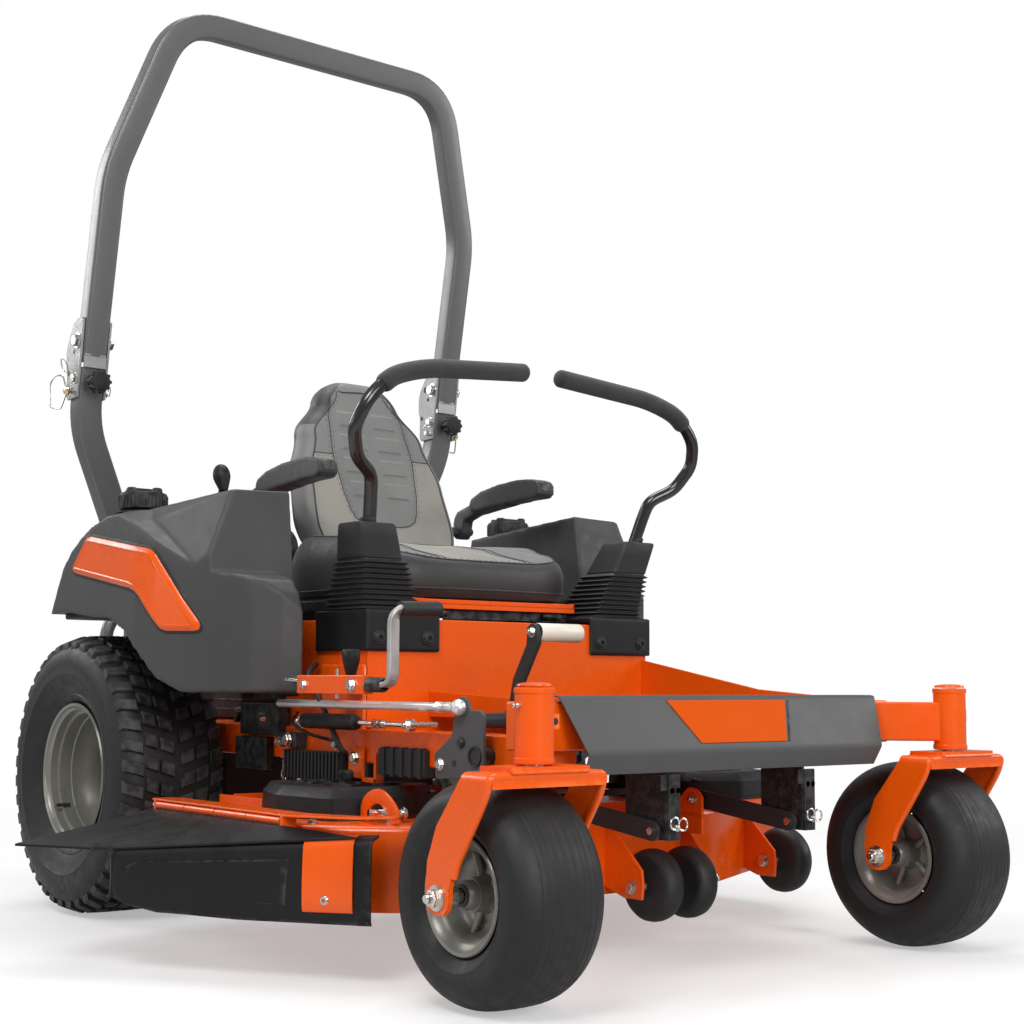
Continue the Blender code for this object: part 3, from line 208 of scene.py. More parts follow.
def block(x, y, z):
    bm = bmesh.new()
    bmesh.ops.create_cube(bm, size=1)
    limits = [sorted(pair) for pair in (x, y, z)]
    bmesh.ops.scale(bm, vec=[high - low for low, high in limits], verts=bm.verts)
    bmesh.ops.translate(bm, vec=[(low + high) / 2 for low, high in limits], verts=bm.verts)
    return bm


def plate(outline, axis, start, end):
    """A flat outline carried along one axis; it is drawn on the other two, in order."""
    bm = bmesh.new()
    where = "xyz".index(axis)
    rows = []
    for level in (start, end):
        row = []
        for point in outline:
            point = list(point)
            point.insert(where, level)
            row.append(bm.verts.new(point))
        rows.append(row)
        bm.faces.new(row)
    count = len(outline)
    for i in range(count):
        j = (i + 1) % count
        bm.faces.new((rows[0][i], rows[0][j], rows[1][j], rows[1][i]))
    return bm


def sheet_between(first, second):
    """A slab between two outlines with the same number of points in space."""
    bm = bmesh.new()
    rows = [[bm.verts.new(p) for p in ring] for ring in (first, second)]
    bm.faces.new(rows[0])
    bm.faces.new(rows[1])
    count = len(first)
    for i in range(count):
        j = (i + 1) % count
        bm.faces.new((rows[0][i], rows[0][j], rows[1][j], rows[1][i]))
    return bm


def loft(rings, ends=True, loop=False):
    bm = bmesh.new()
    rows = [[bm.verts.new(p) for p in ring] for ring in rings]
    pairs = list(zip(rows, rows[1:]))
    if loop:
        pairs.append((rows[-1], rows[0]))
    for low, high in pairs:
        for i in range(len(low)):
            j = (i + 1) % len(low)
            bm.faces.new((low[i], low[j], high[j], high[i]))
    if ends and not loop:
        bm.faces.new(rows[0])
        bm.faces.new(rows[-1])
    return bm


def frame_of(along, up=Vector((0, 0, 1))):
    along = Vector(along).normalized()
    side = along.cross(Vector(up))
    if side.length < 1e-4:
        side = along.cross(Vector((0, 1, 0)))
    side.normalize()
    return side, side.cross(along)


def eased(path, bend, steps=8):
    """The path with each inner corner swapped for a curve that starts bend away from it."""
    points = [Vector(p) for p in path]
    smooth = [points[0]]
    for before, corner, after in zip(points, points[1:], points[2:]):
        leave = corner + (before - corner).normalized() * min(bend, (before - corner).length * 0.48)
        join = corner + (after - corner).normalized() * min(bend, (after - corner).length * 0.48)
        for i in range(steps + 1):
            t = i / steps
            smooth.append(leave * (1 - t) ** 2 + corner * 2 * t * (1 - t) + join * t**2)
    smooth.append(points[-1])
    return smooth


def sweep(path, section, up=(0, 0, 1), grow=None, loop=False):
    """A section of (across, up) offsets carried along a path; grow scales it along the way."""
    points = [Vector(p) for p in path]
    rings = []
    last = len(points) - 1
    for i, point in enumerate(points):
        before = points[i - 1] if i or loop else point
        after = points[(i + 1) % len(points)] if i < last or loop else point
        along = (after - before).normalized()
        side = along.cross(Vector(up))
        if side.length < 1e-3:
            side = Vector((1, 0, 0))
        side.normalize()
        over = side.cross(along)
        scale = grow(i / last) if grow else 1
        rings.append([point + side * u * scale + over * v * scale for u, v in section])
    return loft(rings, loop=loop)


def circle(radius, sides=20):
    turn = 2 * math.pi / sides
    return [(radius * math.cos(i * turn), radius * math.sin(i * turn)) for i in range(sides)]


def soft_box(half_width, half_depth, corner, steps=4):
    """A rectangle with round corners."""
    points = []
    for u, v, start in ((1, 1, 0), (-1, 1, 90), (-1, -1, 180), (1, -1, 270)):
        for i in range(steps + 1):
            angle = math.radians(start + 90 * i / steps)
            x = u * (half_width - corner) + corner * math.cos(angle)
            y = v * (half_depth - corner) + corner * math.sin(angle)
            points.append((x, y))
    return points


def tube(path, radius, sides=20, up=(0, 0, 1)):
    return sweep(path, circle(radius, sides), up)


def rod(start, end, radius, sides=24, end_radius=None):
    side, over = frame_of(Vector(end) - Vector(start))
    rings = []
    for at, r in ((start, radius), (end, radius if end_radius is None else end_radius)):
        rings.append([Vector(at) + side * u + over * v for u, v in circle(r, sides)])
    return loft(rings)


def lathe(profile, centre, axis, sides=64):
    """A profile of (radius, distance along the axis) points, spun round the axis."""
    side, over = frame_of(axis, Vector((0, 0, 1)) if abs(Vector(axis).normalized().z) < 0.9 else Vector((0, 1, 0)))
    axis = Vector(axis).normalized()
    centre = Vector(centre)
    turn = 2 * math.pi / sides
    bm = bmesh.new()
    rows = []
    for radius, along in profile:
        if radius < 1e-6:
            rows.append([bm.verts.new(centre + axis * along)])
            continue
        ring = []
        for i in range(sides):
            out = side * math.cos(i * turn) + over * math.sin(i * turn)
            ring.append(bm.verts.new(centre + out * radius + axis * along))
        rows.append(ring)
    pairs = list(zip(rows, rows[1:]))
    if len(rows[0]) > 1 and len(rows[-1]) > 1:
        pairs.append((rows[-1], rows[0]))
    for low, high in pairs:
        for i in range(sides):
            j = (i + 1) % sides
            if len(low) == 1 and len(high) == 1:
                continue
            if len(low) == 1:
                bm.faces.new((low[0], high[j], high[i]))
            elif len(high) == 1:
                bm.faces.new((low[i], low[j], high[0]))
            else:
                bm.faces.new((low[i], low[j], high[j], high[i]))
    return bm


def hexagon(at, axis, across, height):
    """A six-sided head with a domed top."""
    r = across / 2 / math.cos(math.pi / 6)
    profile = [(0, 0), (r, 0), (r, height * 0.75), (r * 0.82, height), (0, height)]
    return lathe(profile, at, axis, 6)


def bolt(at, axis, size=0.010, washer=True):
    """A washer and a hexagon head on a face, size being the thread's diameter."""
    axis = Vector(axis).normalized()
    at = Vector(at)
    shapes = []
    if washer:
        shapes.append(lathe([(0, -0.001), (size * 1.15, -0.001), (size * 1.15, size * 0.16), (0, size * 0.16)], at, axis, 20))
    shapes.append(hexagon(at + axis * size * 0.15, axis, size * 1.6, size * 0.62))
    return shapes


def nut_and_end(at, axis, size=0.010):
    axis = Vector(axis).normalized()
    at = Vector(at)
    shapes = bolt(at, axis, size)
    shapes.append(lathe([(0, 0), (size * 0.5, 0), (size * 0.5, size * 1.15), (size * 0.38, size * 1.3), (0, size * 1.3)], at, axis, 16))
    return shapes


def socket_screw(at, axis, size=0.008):
    """A low round head with a round recess."""
    r = size * 0.95
    bm = lathe([(0, -0.001), (r, -0.001), (r, size * 0.28), (r * 0.75, size * 0.5), (r * 0.46, size * 0.5), (r * 0.42, size * 0.15),
                (0, size * 0.15)], at, axis, 18)
    return [bm]


def plan_inset(outline, inset):
    """The outline moved inwards, or outwards for a negative inset."""
    count = len(outline)
    area = sum(a[0] * b[1] - b[0] * a[1] for a, b in zip(outline, outline[1:] + outline[:1]))
    turn = 1 if area > 0 else -1
    moved = []
    for i, point in enumerate(outline):
        before, after = Vector(outline[i - 1]), Vector(outline[(i + 1) % count])
        here = Vector(point)
        first = (here - before).normalized()
        second = (after - here).normalized()
        normal = Vector((-first.y, first.x)) + Vector((-second.y, second.x))
        normal = normal.normalized() * turn
        stretch = 1 / max(0.5, normal.dot(Vector((-first.y, first.x)) * turn))
        moved.append(tuple(here + normal * inset * stretch))
    return moved


def eased_plan(outline, bend, steps=5):
    ring = [Vector((x, y, 0)) for x, y in outline]
    start = (ring[-1] + ring[0]) / 2
    path = eased([start, *ring, start], bend, steps)
    return [(p.x, p.y) for p in path[:-1]]


def spline(points, steps):
    """A smooth curve through (radius, across) points."""
    ends = [points[0]] + list(points) + [points[-1]]
    curve = []
    for a, b, c, d in zip(ends, ends[1:], ends[2:], ends[3:]):
        for k in range(steps):
            t = k / steps
            point = []
            for p, q, r, s in zip(a, b, c, d):
                point.append(q + 0.5 * t * (r - p + t * (2 * p - 5 * q + 4 * r - s + t * (3 * (q - r) + s - p))))
            curve.append(tuple(point))
    curve.append(tuple(points[-1]))
    return curve


def hull(points):
    """The convex skin round some points."""
    bm = bmesh.new()
    for point in points:
        bm.verts.new(point)
    made = bmesh.ops.convex_hull(bm, input=bm.verts)
    loose = {g for g in made["geom_interior"] + made["geom_unused"] if isinstance(g, bmesh.types.BMVert)}
    bmesh.ops.delete(bm, geom=list(loose), context="VERTS")
    return bm


def settle(bm):
    bmesh.ops.recalc_face_normals(bm, faces=bm.faces)
    return bm


def piece(name, bm, material, body, bevel=0.0, segments=3, sharp=35, levels=0, stands_for=()):
    """One visible piece, moved to the frame's coordinates, on a body."""
    settle(bm)
    mesh = bpy.data.meshes.new(name)
    bm.to_mesh(mesh)
    bm.free()
    mesh.transform(Matrix.Translation(DATUM))
    mesh.materials.append(material)
    mesh.shade_smooth()
    obj = bpy.data.objects.new(name, mesh)
    bpy.context.scene.collection.objects.link(obj)
    if bevel:
        round_off = obj.modifiers.new("Edges", "BEVEL")
        round_off.width = bevel
        round_off.segments = segments
        round_off.limit_method = "ANGLE"
        round_off.angle_limit = math.radians(sharp)
        round_off.harden_normals = True
    elif sharp and not levels:
        mesh.set_sharp_from_angle(angle=math.radians(sharp))
    if levels:
        smooth = obj.modifiers.new("Smooth", "SUBSURF")
        smooth.levels = levels
        smooth.render_levels = levels
    if body:
        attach(obj, body)
    if stands_for:
        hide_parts(*stands_for)
    return obj


def baked(obj):
    """The object's mesh with its modifiers applied."""
    graph = bpy.context.evaluated_depsgraph_get()
    mesh = bpy.data.meshes.new_from_object(obj.evaluated_get(graph))
    old = obj.data
    obj.modifiers.clear()
    obj.data = mesh
    bpy.data.meshes.remove(old)
    mesh.shade_smooth()
    return obj


def moulded(shapes, voxel, rounds, cuts=()):
    """Shapes melted into one skin whose corners are rounded, as a bmesh."""
    lump = piece("lump", joined(shapes), GREY, None, sharp=0)
    for i, cut in enumerate(cuts):
        cutter = piece(f"cut_{i}", cut, GREY, None, sharp=0)
        boolean = lump.modifiers.new("Cut", "BOOLEAN")
        boolean.operation = "DIFFERENCE"
        boolean.solver = "EXACT"
        boolean.use_self = True
        boolean.object = cutter
        baked(lump)
        bpy.data.objects.remove(cutter)
    melt = lump.modifiers.new("Melt", "REMESH")
    melt.mode = "VOXEL"
    melt.voxel_size = voxel
    ease = lump.modifiers.new("Ease", "SMOOTH")
    ease.factor = 0.6
    ease.iterations = rounds
    baked(lump)
    bm = bmesh.new()
    bm.from_mesh(lump.data)
    bmesh.ops.translate(bm, vec=-DATUM, verts=bm.verts)
    bpy.data.objects.remove(lump)
    return bm


hardware = {}


def fit(body, shapes, kind="zinc"):
    """Puts small fasteners aside; each body's are made into one piece at the end."""
    hardware.setdefault((body, kind), []).extend(shapes)

# ---------------------------------------------------------------- wheels

REAR_R = 0.280
CASTER_R = 0.165
REAR_X = 0.482
CASTER_X = 0.484
WHEELBASE = 1.282
STEM_Y = -1.362


def tread_block(side, hub, corners, base, top):
    """A tread lug from four (turn, across) corners; its top is a little smaller than its foot."""
    centre_turn = sum(c[0] for c in corners) / 4
    centre_across = sum(c[1] for c in corners) / 4
    bm = bmesh.new()
    rows = []
    for radius, shrink in ((base, 1.0), (top - 0.0012, 0.93), (top, 0.84)):
        row = []
        for turn, across in corners:
            turn = centre_turn + (turn - centre_turn) * shrink
            across = centre_across + (across - centre_across) * shrink
            drop = radius - carcass_drop(across)
            row.append(bm.verts.new((hub[0] + side * across, hub[1] + drop * math.sin(turn), hub[2] + drop * math.cos(turn))))
        rows.append(row)
    bm.faces.new(rows[0])
    bm.faces.new(rows[-1])
    for low, high in zip(rows, rows[1:]):
        for i in range(4):
            j = (i + 1) % 4
            bm.faces.new((low[i], low[j], high[j], high[i]))
    return bm


def carcass_drop(across):
    """How far the tread curves down from its crown."""
    edge = max(abs(across) - 0.070, 0)
    return across * across * 0.35 + edge * edge * 9.0


def rear_tyre(side, name):
    hub = (side * REAR_X, 0, REAR_R)
    crown = REAR_R - 0.0085
    outline = [(0.1365, 0.070), (0.139, 0.082), (0.146, 0.0895), (0.158, 0.0975), (0.160, 0.0985), (0.162, 0.0975),
               (0.180, 0.1090), (0.198, 0.1150), (0.200, 0.1168), (0.204, 0.1168), (0.206, 0.1160), (0.222, 0.1165), (0.238, 0.1130),
               (0.250, 0.1080), (0.258, 0.1010)]
    tread = [(crown - carcass_drop(x), x) for x in (0.094, 0.082, 0.070, 0.050, 0.025)]
    half = outline + tread
    profile = half + [(crown, 0)] + [(r, -x) for r, x in reversed(half)]
    shapes = [lathe([(r, x * side) for r, x in profile], hub, (1, 0, 0), 96)]
    pitches = 40
    step = 2 * math.pi / pitches
    for k in range(pitches):
        at = k * step
        for mirror in (1, -1):
            shift = 0 if mirror == 1 else step / 2
            lean = 0.55 * step
            rows = (
                (0.070, 0.1065, 0.58, 0.10),
                (0.040, 0.066, 0.62, 0.30),
                (0.006, 0.036, 0.60, 0.05),
            )
            for near, far, fill, offset in rows:
                start = at + shift + offset * step
                skew = lean * (far - near) / 0.036 * 0.5
                corners = [
                    (start, mirror * near),
                    (start + fill * step, mirror * near),
                    (start + fill * step + skew, mirror * far),
                    (start + skew, mirror * far),
                ]
                shapes.append(tread_block(side, hub, corners, crown - 0.003, REAR_R + 0.0002))
    piece(f"{name}_rear_turf_tyre", joined(shapes), TYRE, f"{name}_rear_wheel", sharp=40, stands_for=[f"{name}_rear_tyre"])


def rear_rim(side, name):
    hub = (side * REAR_X, 0, REAR_R)
    wall = 0.0035
    outer = [(0.062, -0.060), (0.070, -0.066), (0.095, -0.068), (0.112, -0.062), (0.118, -0.045), (0.1205, 0.020), (0.1240, 0.055),
             (0.1315, 0.066), (0.1325, 0.078), (0.1345, 0.084), (0.1400, 0.0875), (0.1425, 0.0925), (0.1405, 0.0960)]
    inner = [(0.1360, 0.0935), (0.1345, 0.0880), (0.1292, 0.0845), (0.1285, 0.0700), (0.1218, 0.0680), (0.1208, 0.0440), (0.1180, 0.0420),
             (0.1172, 0.0120), (0.1150, 0.0095), (0.1140, -0.042), (0.109, -0.058), (0.094, -0.0635), (0.072, -0.061), (0.064, -0.055)]
    shapes = [lathe([(r, side * x) for r, x in outer + inner], hub, (1, 0, 0), 80)]
    back = [(0.1150, -0.045), (0.1215, -0.060), (0.1310, -0.078), (0.1345, -0.086), (0.1405, -0.0900), (0.1390, -0.0935),
            (0.1320, -0.0895), (0.1270, -0.081), (0.1180, -0.064), (0.1120, -0.050)]
    shapes.append(lathe([(r, side * x) for r, x in back], hub, (1, 0, 0), 80))
    disc = [(0, -0.0705), (0.066, -0.0705), (0.066, -0.0705 + wall), (0.060, -0.052), (0.046, -0.050), (0.040, -0.0560), (0, -0.0560)]
    shapes.append(lathe([(r, side * x) for r, x in disc], hub, (1, 0, 0), 64))
    piece(f"{name}_rear_deep_rim", joined(shapes), RIM, f"{name}_rear_wheel", sharp=45, stands_for=[f"{name}_rear_rim"])
    body = f"{name}_rear_wheel"
    for i in range(5):
        turn = 2 * math.pi * i / 5
        at = (hub[0] - side * 0.0550, hub[1] + 0.028 * math.sin(turn), hub[2] + 0.028 * math.cos(turn))
        fit(body, nut_and_end(at, (side, 0, 0), 0.011))
    fit(body, [lathe([(0, -0.0565), (0.017, -0.0565), (0.016, -0.030), (0.012, -0.026), (0, -0.026)], hub, (side, 0, 0), 24)], "dark")
    valve = (hub[0] + side * 0.055, hub[1] + 0.118 * math.sin(2.2), hub[2] + 0.118 * math.cos(2.2))
    fit(body, [rod(valve, (valve[0] + side * 0.030, valve[1] * 0.97, valve[2]), 0.0035, 12)], "dark")


def caster_tyre(side, name):
    """A smooth tyre whose crown carries fine ribs running round it."""
    hub = (side * CASTER_X, -WHEELBASE, CASTER_R)
    wall = [(0.0848, 0.0540), (0.0856, 0.0615), (0.0895, 0.0675), (0.1010, 0.0785), (0.1150, 0.0846), (0.1290, 0.0846),
            (0.1410, 0.0795), (0.1505, 0.0705), (0.1575, 0.0590), (0.1622, 0.0450), (0.1643, 0.0270), (0.1650, 0.0)]
    half = []
    for radius, across in spline(wall, 6):
        ring = 0.0010 if 0.1045 < radius < 0.1085 else 0.0
        groove = 0.0
        for at in (0.0085, 0.0215, 0.0345, 0.0475):
            groove = max(groove, 0.0011 - abs(across - at) * 0.6)
        half.append((radius - groove * (radius > 0.15), across + ring))
    dense = []
    for near, far in zip(half, half[1:]):
        dense.append(near)
        if near[0] > 0.155:
            dense.append(((near[0] + far[0]) / 2, (near[1] + far[1]) / 2))
    rows = dense + [half[-1]]
    profile = rows + [(r, -x) for r, x in reversed(rows[:-1])]
    piece(f"{name}_caster_ribbed_tyre", lathe(profile, hub, (1, 0, 0), 96), TYRE, f"{name}_caster_wheel", sharp=60,
          stands_for=[f"{name}_caster_tyre"])


def caster_rim(side, name):
    hub = (side * CASTER_X, -WHEELBASE, CASTER_R)
    face = [(0.0215, 0.050), (0.0225, 0.030), (0.0270, 0.020), (0.0400, 0.0150), (0.0560, 0.0190), (0.0640, 0.0300),
            (0.0670, 0.0480), (0.0720, 0.0560), (0.0775, 0.0580), (0.0800, 0.0630), (0.0850, 0.0655), (0.0868, 0.0690),
            (0.0850, 0.0712), (0.0800, 0.0700), (0.0755, 0.0625), (0.0700, 0.0600), (0.0640, 0.0520), (0.0605, 0.0330),
            (0.0540, 0.0235), (0.0400, 0.0195), (0.0290, 0.0240), (0.0255, 0.0330), (0.0250, 0.0500)]
    shapes = []
    for way in (1, -1):
        shapes.append(lathe([(r, way * x) for r, x in face], hub, (1, 0, 0), 72))
    hub_tube = [(0.0108, -0.066), (0.0108, 0.066), (0.0170, 0.066), (0.0215, 0.060), (0.0220, 0.0), (0.0215, -0.060), (0.0170, -0.066)]
    shapes.append(lathe(hub_tube, hub, (1, 0, 0), 40))
    ribs = []
    for i in range(5):
        turn = 2 * math.pi * i / 5 + 0.3
        for way in (1, -1):
            near = Vector((hub[0] + way * 0.024, hub[1] + 0.024 * math.sin(turn), hub[2] + 0.024 * math.cos(turn)))
            far = Vector((hub[0] + way * 0.030, hub[1] + 0.060 * math.sin(turn), hub[2] + 0.060 * math.cos(turn)))
            ribs.append(rod(near, far, 0.0075, 12, 0.0050))
    shapes += ribs
    piece(f"{name}_caster_pressed_rim", joined(shapes), RIM, f"{name}_caster_wheel", sharp=40,
          stands_for=[f"{name}_caster_rim"])
    body = f"{name}_caster_wheel"
    for way in (1, -1):
        seal = [(0.0112, 0.0662), (0.0112, 0.0690), (0.0165, 0.0690), (0.0168, 0.0662)]
        fit(body, [lathe([(r, way * x) for r, x in seal], hub, (1, 0, 0), 32)], "dark")
    start = (hub[0] - 0.030, hub[1] - 0.046, hub[2] + 0.052)
    fit(body, [rod(start, (start[0] - 0.030, start[1] - 0.004, start[2] + 0.004), 0.0032, 12)], "dark")


def caster_fork(side, name):
    """A folded strip over the wheel with round bends, raked legs, a saddle and the axle bolt."""
    x, y = side * CASTER_X, STEM_Y
    hub = (x, -WHEELBASE, CASTER_R)
    half = 0.1115
    thick = 0.008
    top = 0.344
    corner = 0.012
    rings = []
    for way in (-1, 1):
        leg = [
            (hub[2] - 0.0245, -0.004, 0.004),
            (hub[2] - 0.0225, -0.015, 0.014),
            (hub[2] - 0.0140, -0.0240, 0.0225),
            (hub[2] - 0.0020, -0.0275, 0.0265),
            (hub[2] + 0.0150, -0.0275, 0.0270),
            (hub[2] + 0.0500, -0.0400, 0.0240),
            (hub[2] + 0.1000, -0.0740, 0.0030),
            (0.3060, -0.1010, -0.0300),
            (0.3220, -0.1085, -0.0430),
            (top - corner, -0.1105, -0.0500),
        ]
        for z, front, back in leg:
            rings.append(("leg", way, z, hub[1] + front, hub[1] + back))
    def section(way, out, z, front, back, tilt):
        outer = Vector((x + way * out, 0, z))
        inner = outer - Vector((way * math.cos(tilt), 0, math.sin(tilt))) * thick
        return [(outer.x, front, outer.z), (outer.x, back, outer.z), (inner.x, back, inner.z), (inner.x, front, inner.z)]
    right = [section(-1, half, z, f, b, 0.0) for _, way, z, f, b in rings if way == -1]
    left = [section(1, half, z, f, b, 0.0) for _, way, z, f, b in rings if way == 1]
    front, back = y - 0.031, y + 0.027
    bend_right, bend_left = [], []
    for i in range(1, 7):
        turn = math.radians(90 * i / 6)
        out = half - corner * (1 - math.cos(turn))
        z = top - corner + corner * math.sin(turn)
        bend_right.append(section(-1, out, z, front, back, turn))
        bend_left.append(section(1, out, z, front, back, turn))
    strip = loft(right + bend_right + list(reversed(bend_left)) + list(reversed(left)))
    edge = []
    for way in (-1, 1):
        run = [(x + way * (half - 0.0055), hub[1] + f, z) for z, f, _ in ((hub[2] + 0.030, -0.0330, 0), (hub[2] + 0.0500, -0.0400, 0),
               (hub[2] + 0.1000, -0.0740, 0), (0.3060, -0.1010, 0), (0.3220, -0.1085, 0))]
        run.append((x + way * (half - 0.0055), y - 0.0320, top - 0.0055))
        edge += run if way == -1 else list(reversed(run))
    rim = sweep(eased(edge, 0.012, 4), soft_box(0.0056, 0.0056, 0.0050, 3), (0, 1, 0.3))
    apron = plate([(y - 0.0365, top - 0.0220), (y - 0.0300, top - 0.0220), (y - 0.0240, top - 0.0080), (y - 0.0240, top - 0.001),
                   (y - 0.0330, top - 0.001), (y - 0.0362, top - 0.0050)], "x", x - half + 0.008, x + half - 0.008)
    saddle_outline = [(-0.0385, top - 0.001), (-0.0385, 0.3510), (0.0330, 0.3510), (0.0330, top - 0.001)]
    saddle = plate([(y + v, z) for v, z in saddle_outline], "x", x - 0.0720, x + 0.0720)
    body = f"{name}_caster"
    piece(f"{name}_fork_strip", joined([strip, saddle, rim, apron]), ORANGE, body, bevel=0.0018, segments=3, sharp=32,
          stands_for=[f"{name}_caster_fork"])
    stem = [(0, 0.3500), (0.0150, 0.3500), (0.0150, 0.4600), (0.0130, 0.4625), (0, 0.4625)]
    fit(body, [lathe(stem, (x, y, 0), (0, 0, 1), 32)])
    fit(body, [rod((x - half - 0.006, *hub[1:]), (x + half + 0.006, *hub[1:]), 0.0094, 24)])
    for way in (-1, 1):
        face = x + way * half
        collar = [(0.0100, -0.020), (0.0100, 0.0), (0.0165, 0.0), (0.0165, -0.020)]
        fit(body, [lathe(collar, (face - way * thick, *hub[1:]), (way, 0, 0), 28)])
        fit(body, [lathe([(0, 0), (0.0185, 0), (0.0185, 0.0022), (0, 0.0022)], (face, *hub[1:]), (way, 0, 0), 32)])
        fit(body, nut_and_end((face + way * 0.002, *hub[1:]), (way, 0, 0), 0.0145))
    for v in (-0.0385, 0.0330):
        fit(body, [tube([(x - 0.071, y + v, top), (x + 0.071, y + v, top)], 0.0028, 10)], "orange")


for side, name in SIDES:
    rear_tyre(side, name)
    rear_rim(side, name)
    caster_tyre(side, name)
    caster_rim(side, name)
    caster_fork(side, name)

# ---------------------------------------------------------------- frame

BEAM_FRONT = -1.275
BEAM_BACK = -1.215


def build_frame():
    shapes = [block((-0.420, 0.420), (BEAM_FRONT, BEAM_BACK), (0.365, 0.440))]
    for side, _ in SIDES:
        shapes.append(block((side * 0.305, side * 0.355), (-1.250, 0.410), (0.325, 0.385)))
        arm = [(0.372, -1.268), (0.402, -1.222), (0.503, -1.348), (0.470, -1.378)]
        shapes.append(plate([(side * x, y) for x, y in arm], "z", 0.368, 0.437))
        shapes.append(block((side * 0.344, side * 0.352), (-0.722, -0.580), (0.375, 0.500)))
    for y in ((-0.700, -0.660), (-0.120, -0.090)):
        shapes.append(block((-0.310, 0.310), y, (0.332, 0.380)))
    shapes.append(block((-0.315, 0.315), (0.030, 0.412), (0.372, 0.382)))
    shapes.append(block((-0.352, 0.352), (0.400, 0.420), (0.290, 0.430)))
    piece("frame_rails_and_beam", joined(shapes), ORANGE, "chassis", bevel=0.004, segments=3, stands_for=["main_frame"])
    build_barrels()
    build_hangers()
    build_lock_bracket()
    build_guard()
    build_frame_brackets()


def build_barrels():
    shapes = []
    for side, _ in SIDES:
        at = (side * CASTER_X, STEM_Y, 0)
        profile = [(0.0165, 0.3530), (0.0285, 0.3530), (0.0298, 0.3545), (0.0298, 0.3610), (0.0285, 0.3625), (0.0285, 0.4525),
                   (0.0298, 0.4540), (0.0298, 0.4605), (0.0285, 0.4620), (0.0165, 0.4620)]
        shapes.append(lathe(profile, at, (0, 0, 1), 56))
        cap = [(0, 0.4632), (0.0255, 0.4632), (0.0262, 0.4645), (0.0255, 0.4668), (0.0150, 0.4690), (0, 0.4695)]
        shapes.append(lathe(cap, at, (0, 0, 1), 48))
        weld = [Vector((side * 0.470, -1.378 + 0.012, 0.437)), Vector((side * 0.503, -1.348 + 0.010, 0.437))]
        shapes.append(tube(weld, 0.0035, 10))
        nipple = (side * (CASTER_X + 0.0285), STEM_Y, 0.4360)
        fit("chassis", [lathe([(0, -0.002), (0.0045, -0.002), (0.0045, 0.004), (0.0025, 0.006), (0.0030, 0.010), (0, 0.011)],
                              nipple, (side, 0, 0), 12)])
        tab = block((side * CASTER_X + 0.026, side * CASTER_X + 0.044), (STEM_Y - 0.004, STEM_Y + 0.004), (0.402, 0.424))
        shapes.append(tab)
        # a thin black disc on the tab is painted shade, standing in for the inside of its hole
        fit("chassis", [lathe([(0, 0.0001), (0.0050, 0.0001), (0.0050, 0.0006), (0, 0.0006)], (side * CASTER_X + 0.0365, STEM_Y - 0.004, 0.413), (0, -1, 0), 20)], "hole")
    piece("caster_barrels", joined(shapes), ORANGE, "chassis", sharp=40)


def build_hangers():
    """Dark plates below the front beam that the deck's front links hang from."""
    shapes = []
    for side, _ in SIDES:
        x = side * 0.160
        plan = [(-1.300, 0.370), (-1.205, 0.370), (-1.205, 0.262), (-1.222, 0.226), (-1.236, 0.222), (-1.300, 0.222)]
        shapes.append(plate(plan, "x", x - 0.003, x + 0.003))
        shapes.append(block((x - 0.002, x + 0.024), (-1.305, -1.298), (0.222, 0.325)))
        shapes.append(block((x - 0.016, x + 0.003), (-1.303, -1.298), (0.300, 0.325)))
        for z in (0.302, 0.280, 0.258):
            for y in (-1.284, -1.258):
                for way in (1, -1):
                    ring = [(0.0036, 0), (0.0036, 0.0008), (0.0062, 0.0008), (0.0062, 0)]
                    fit("chassis", [lathe(ring, (x + way * 0.0030, y, z), (way, 0, 0), 16)], "dark")
        pin = (x, -1.275, 0.236)
        fit("chassis", [rod((x - 0.0165, *pin[1:]), (x + 0.0155, *pin[1:]), 0.0060, 20)])
        fit("chassis", [lathe([(0, 0), (0.0085, 0), (0.0085, 0.003), (0, 0.0035)], (x + 0.0150, *pin[1:]), (1, 0, 0), 20)])
        for z, y in ((0.350, -1.290), (0.350, -1.222)):
            fit("chassis", bolt((x + 0.003, y, z), (1, 0, 0), 0.008))
        fit("chassis", [rod((x + 0.0115, -1.3045, 0.242), (x + 0.0115, -1.3110, 0.242), 0.0060, 20)], "bright")
        for turn in (0.5, 2.4):
            ring = [(x + 0.0115 + 0.0110 * math.cos(turn) + 0.0095 * math.cos(math.pi * i / 10), -1.3130, 0.242 + 0.0110 * math.sin(turn) + 0.0095 * math.sin(math.pi * i / 10))
                    for i in range(21)]
            fit("chassis", [tube(ring, 0.0016, 8, (0, 1, 0))], "bright")
        for z, y, r in ((0.345, -1.3052, 0.0085), (0.345, -1.3052, 0.0085)):
            for off in (0.006, 0.019):
                # thin black discs on the hanger plates are painted shade, standing in for the insides of holes
                fit("chassis", [lathe([(0, 0.0002), (0.0045, 0.0002), (0.0045, 0.0006), (0, 0.0006)], (x + off, -1.305, 0.300), (0, -1, 0), 20)], "hole")
    piece("deck_hanger_plates", joined(shapes), BLACK, "chassis", bevel=0.0012, segments=2)


def hairpin(at, away, length):
    """A wire clip: a straight leg through the pin and a waved leg round it, joined by an eye."""
    at = Vector(at)
    away = Vector(away).normalized()
    flat = Vector((0, 0, 1)) if abs(away.z) < 0.5 else Vector((1, 0, 0))
    path = [at - flat * length * 0.45, at + flat * length * 0.35]
    eye = at + flat * length * 0.55 + away * length * 0.14
    for i in range(9):
        turn = math.radians(200 - 290 * i / 8)
        path.append(eye + (flat * math.sin(turn) + away * math.cos(turn)) * length * 0.17)
    path += [at + flat * length * 0.12 + away * length * 0.10, at - flat * length * 0.02 + away * length * 0.24,
             at - flat * length * 0.18 + away * length * 0.10, at - flat * length * 0.42 + away * length * 0.20]
    return [tube(eased(path, length * 0.06, 3), length * 0.042, 8, flat.cross(away))]


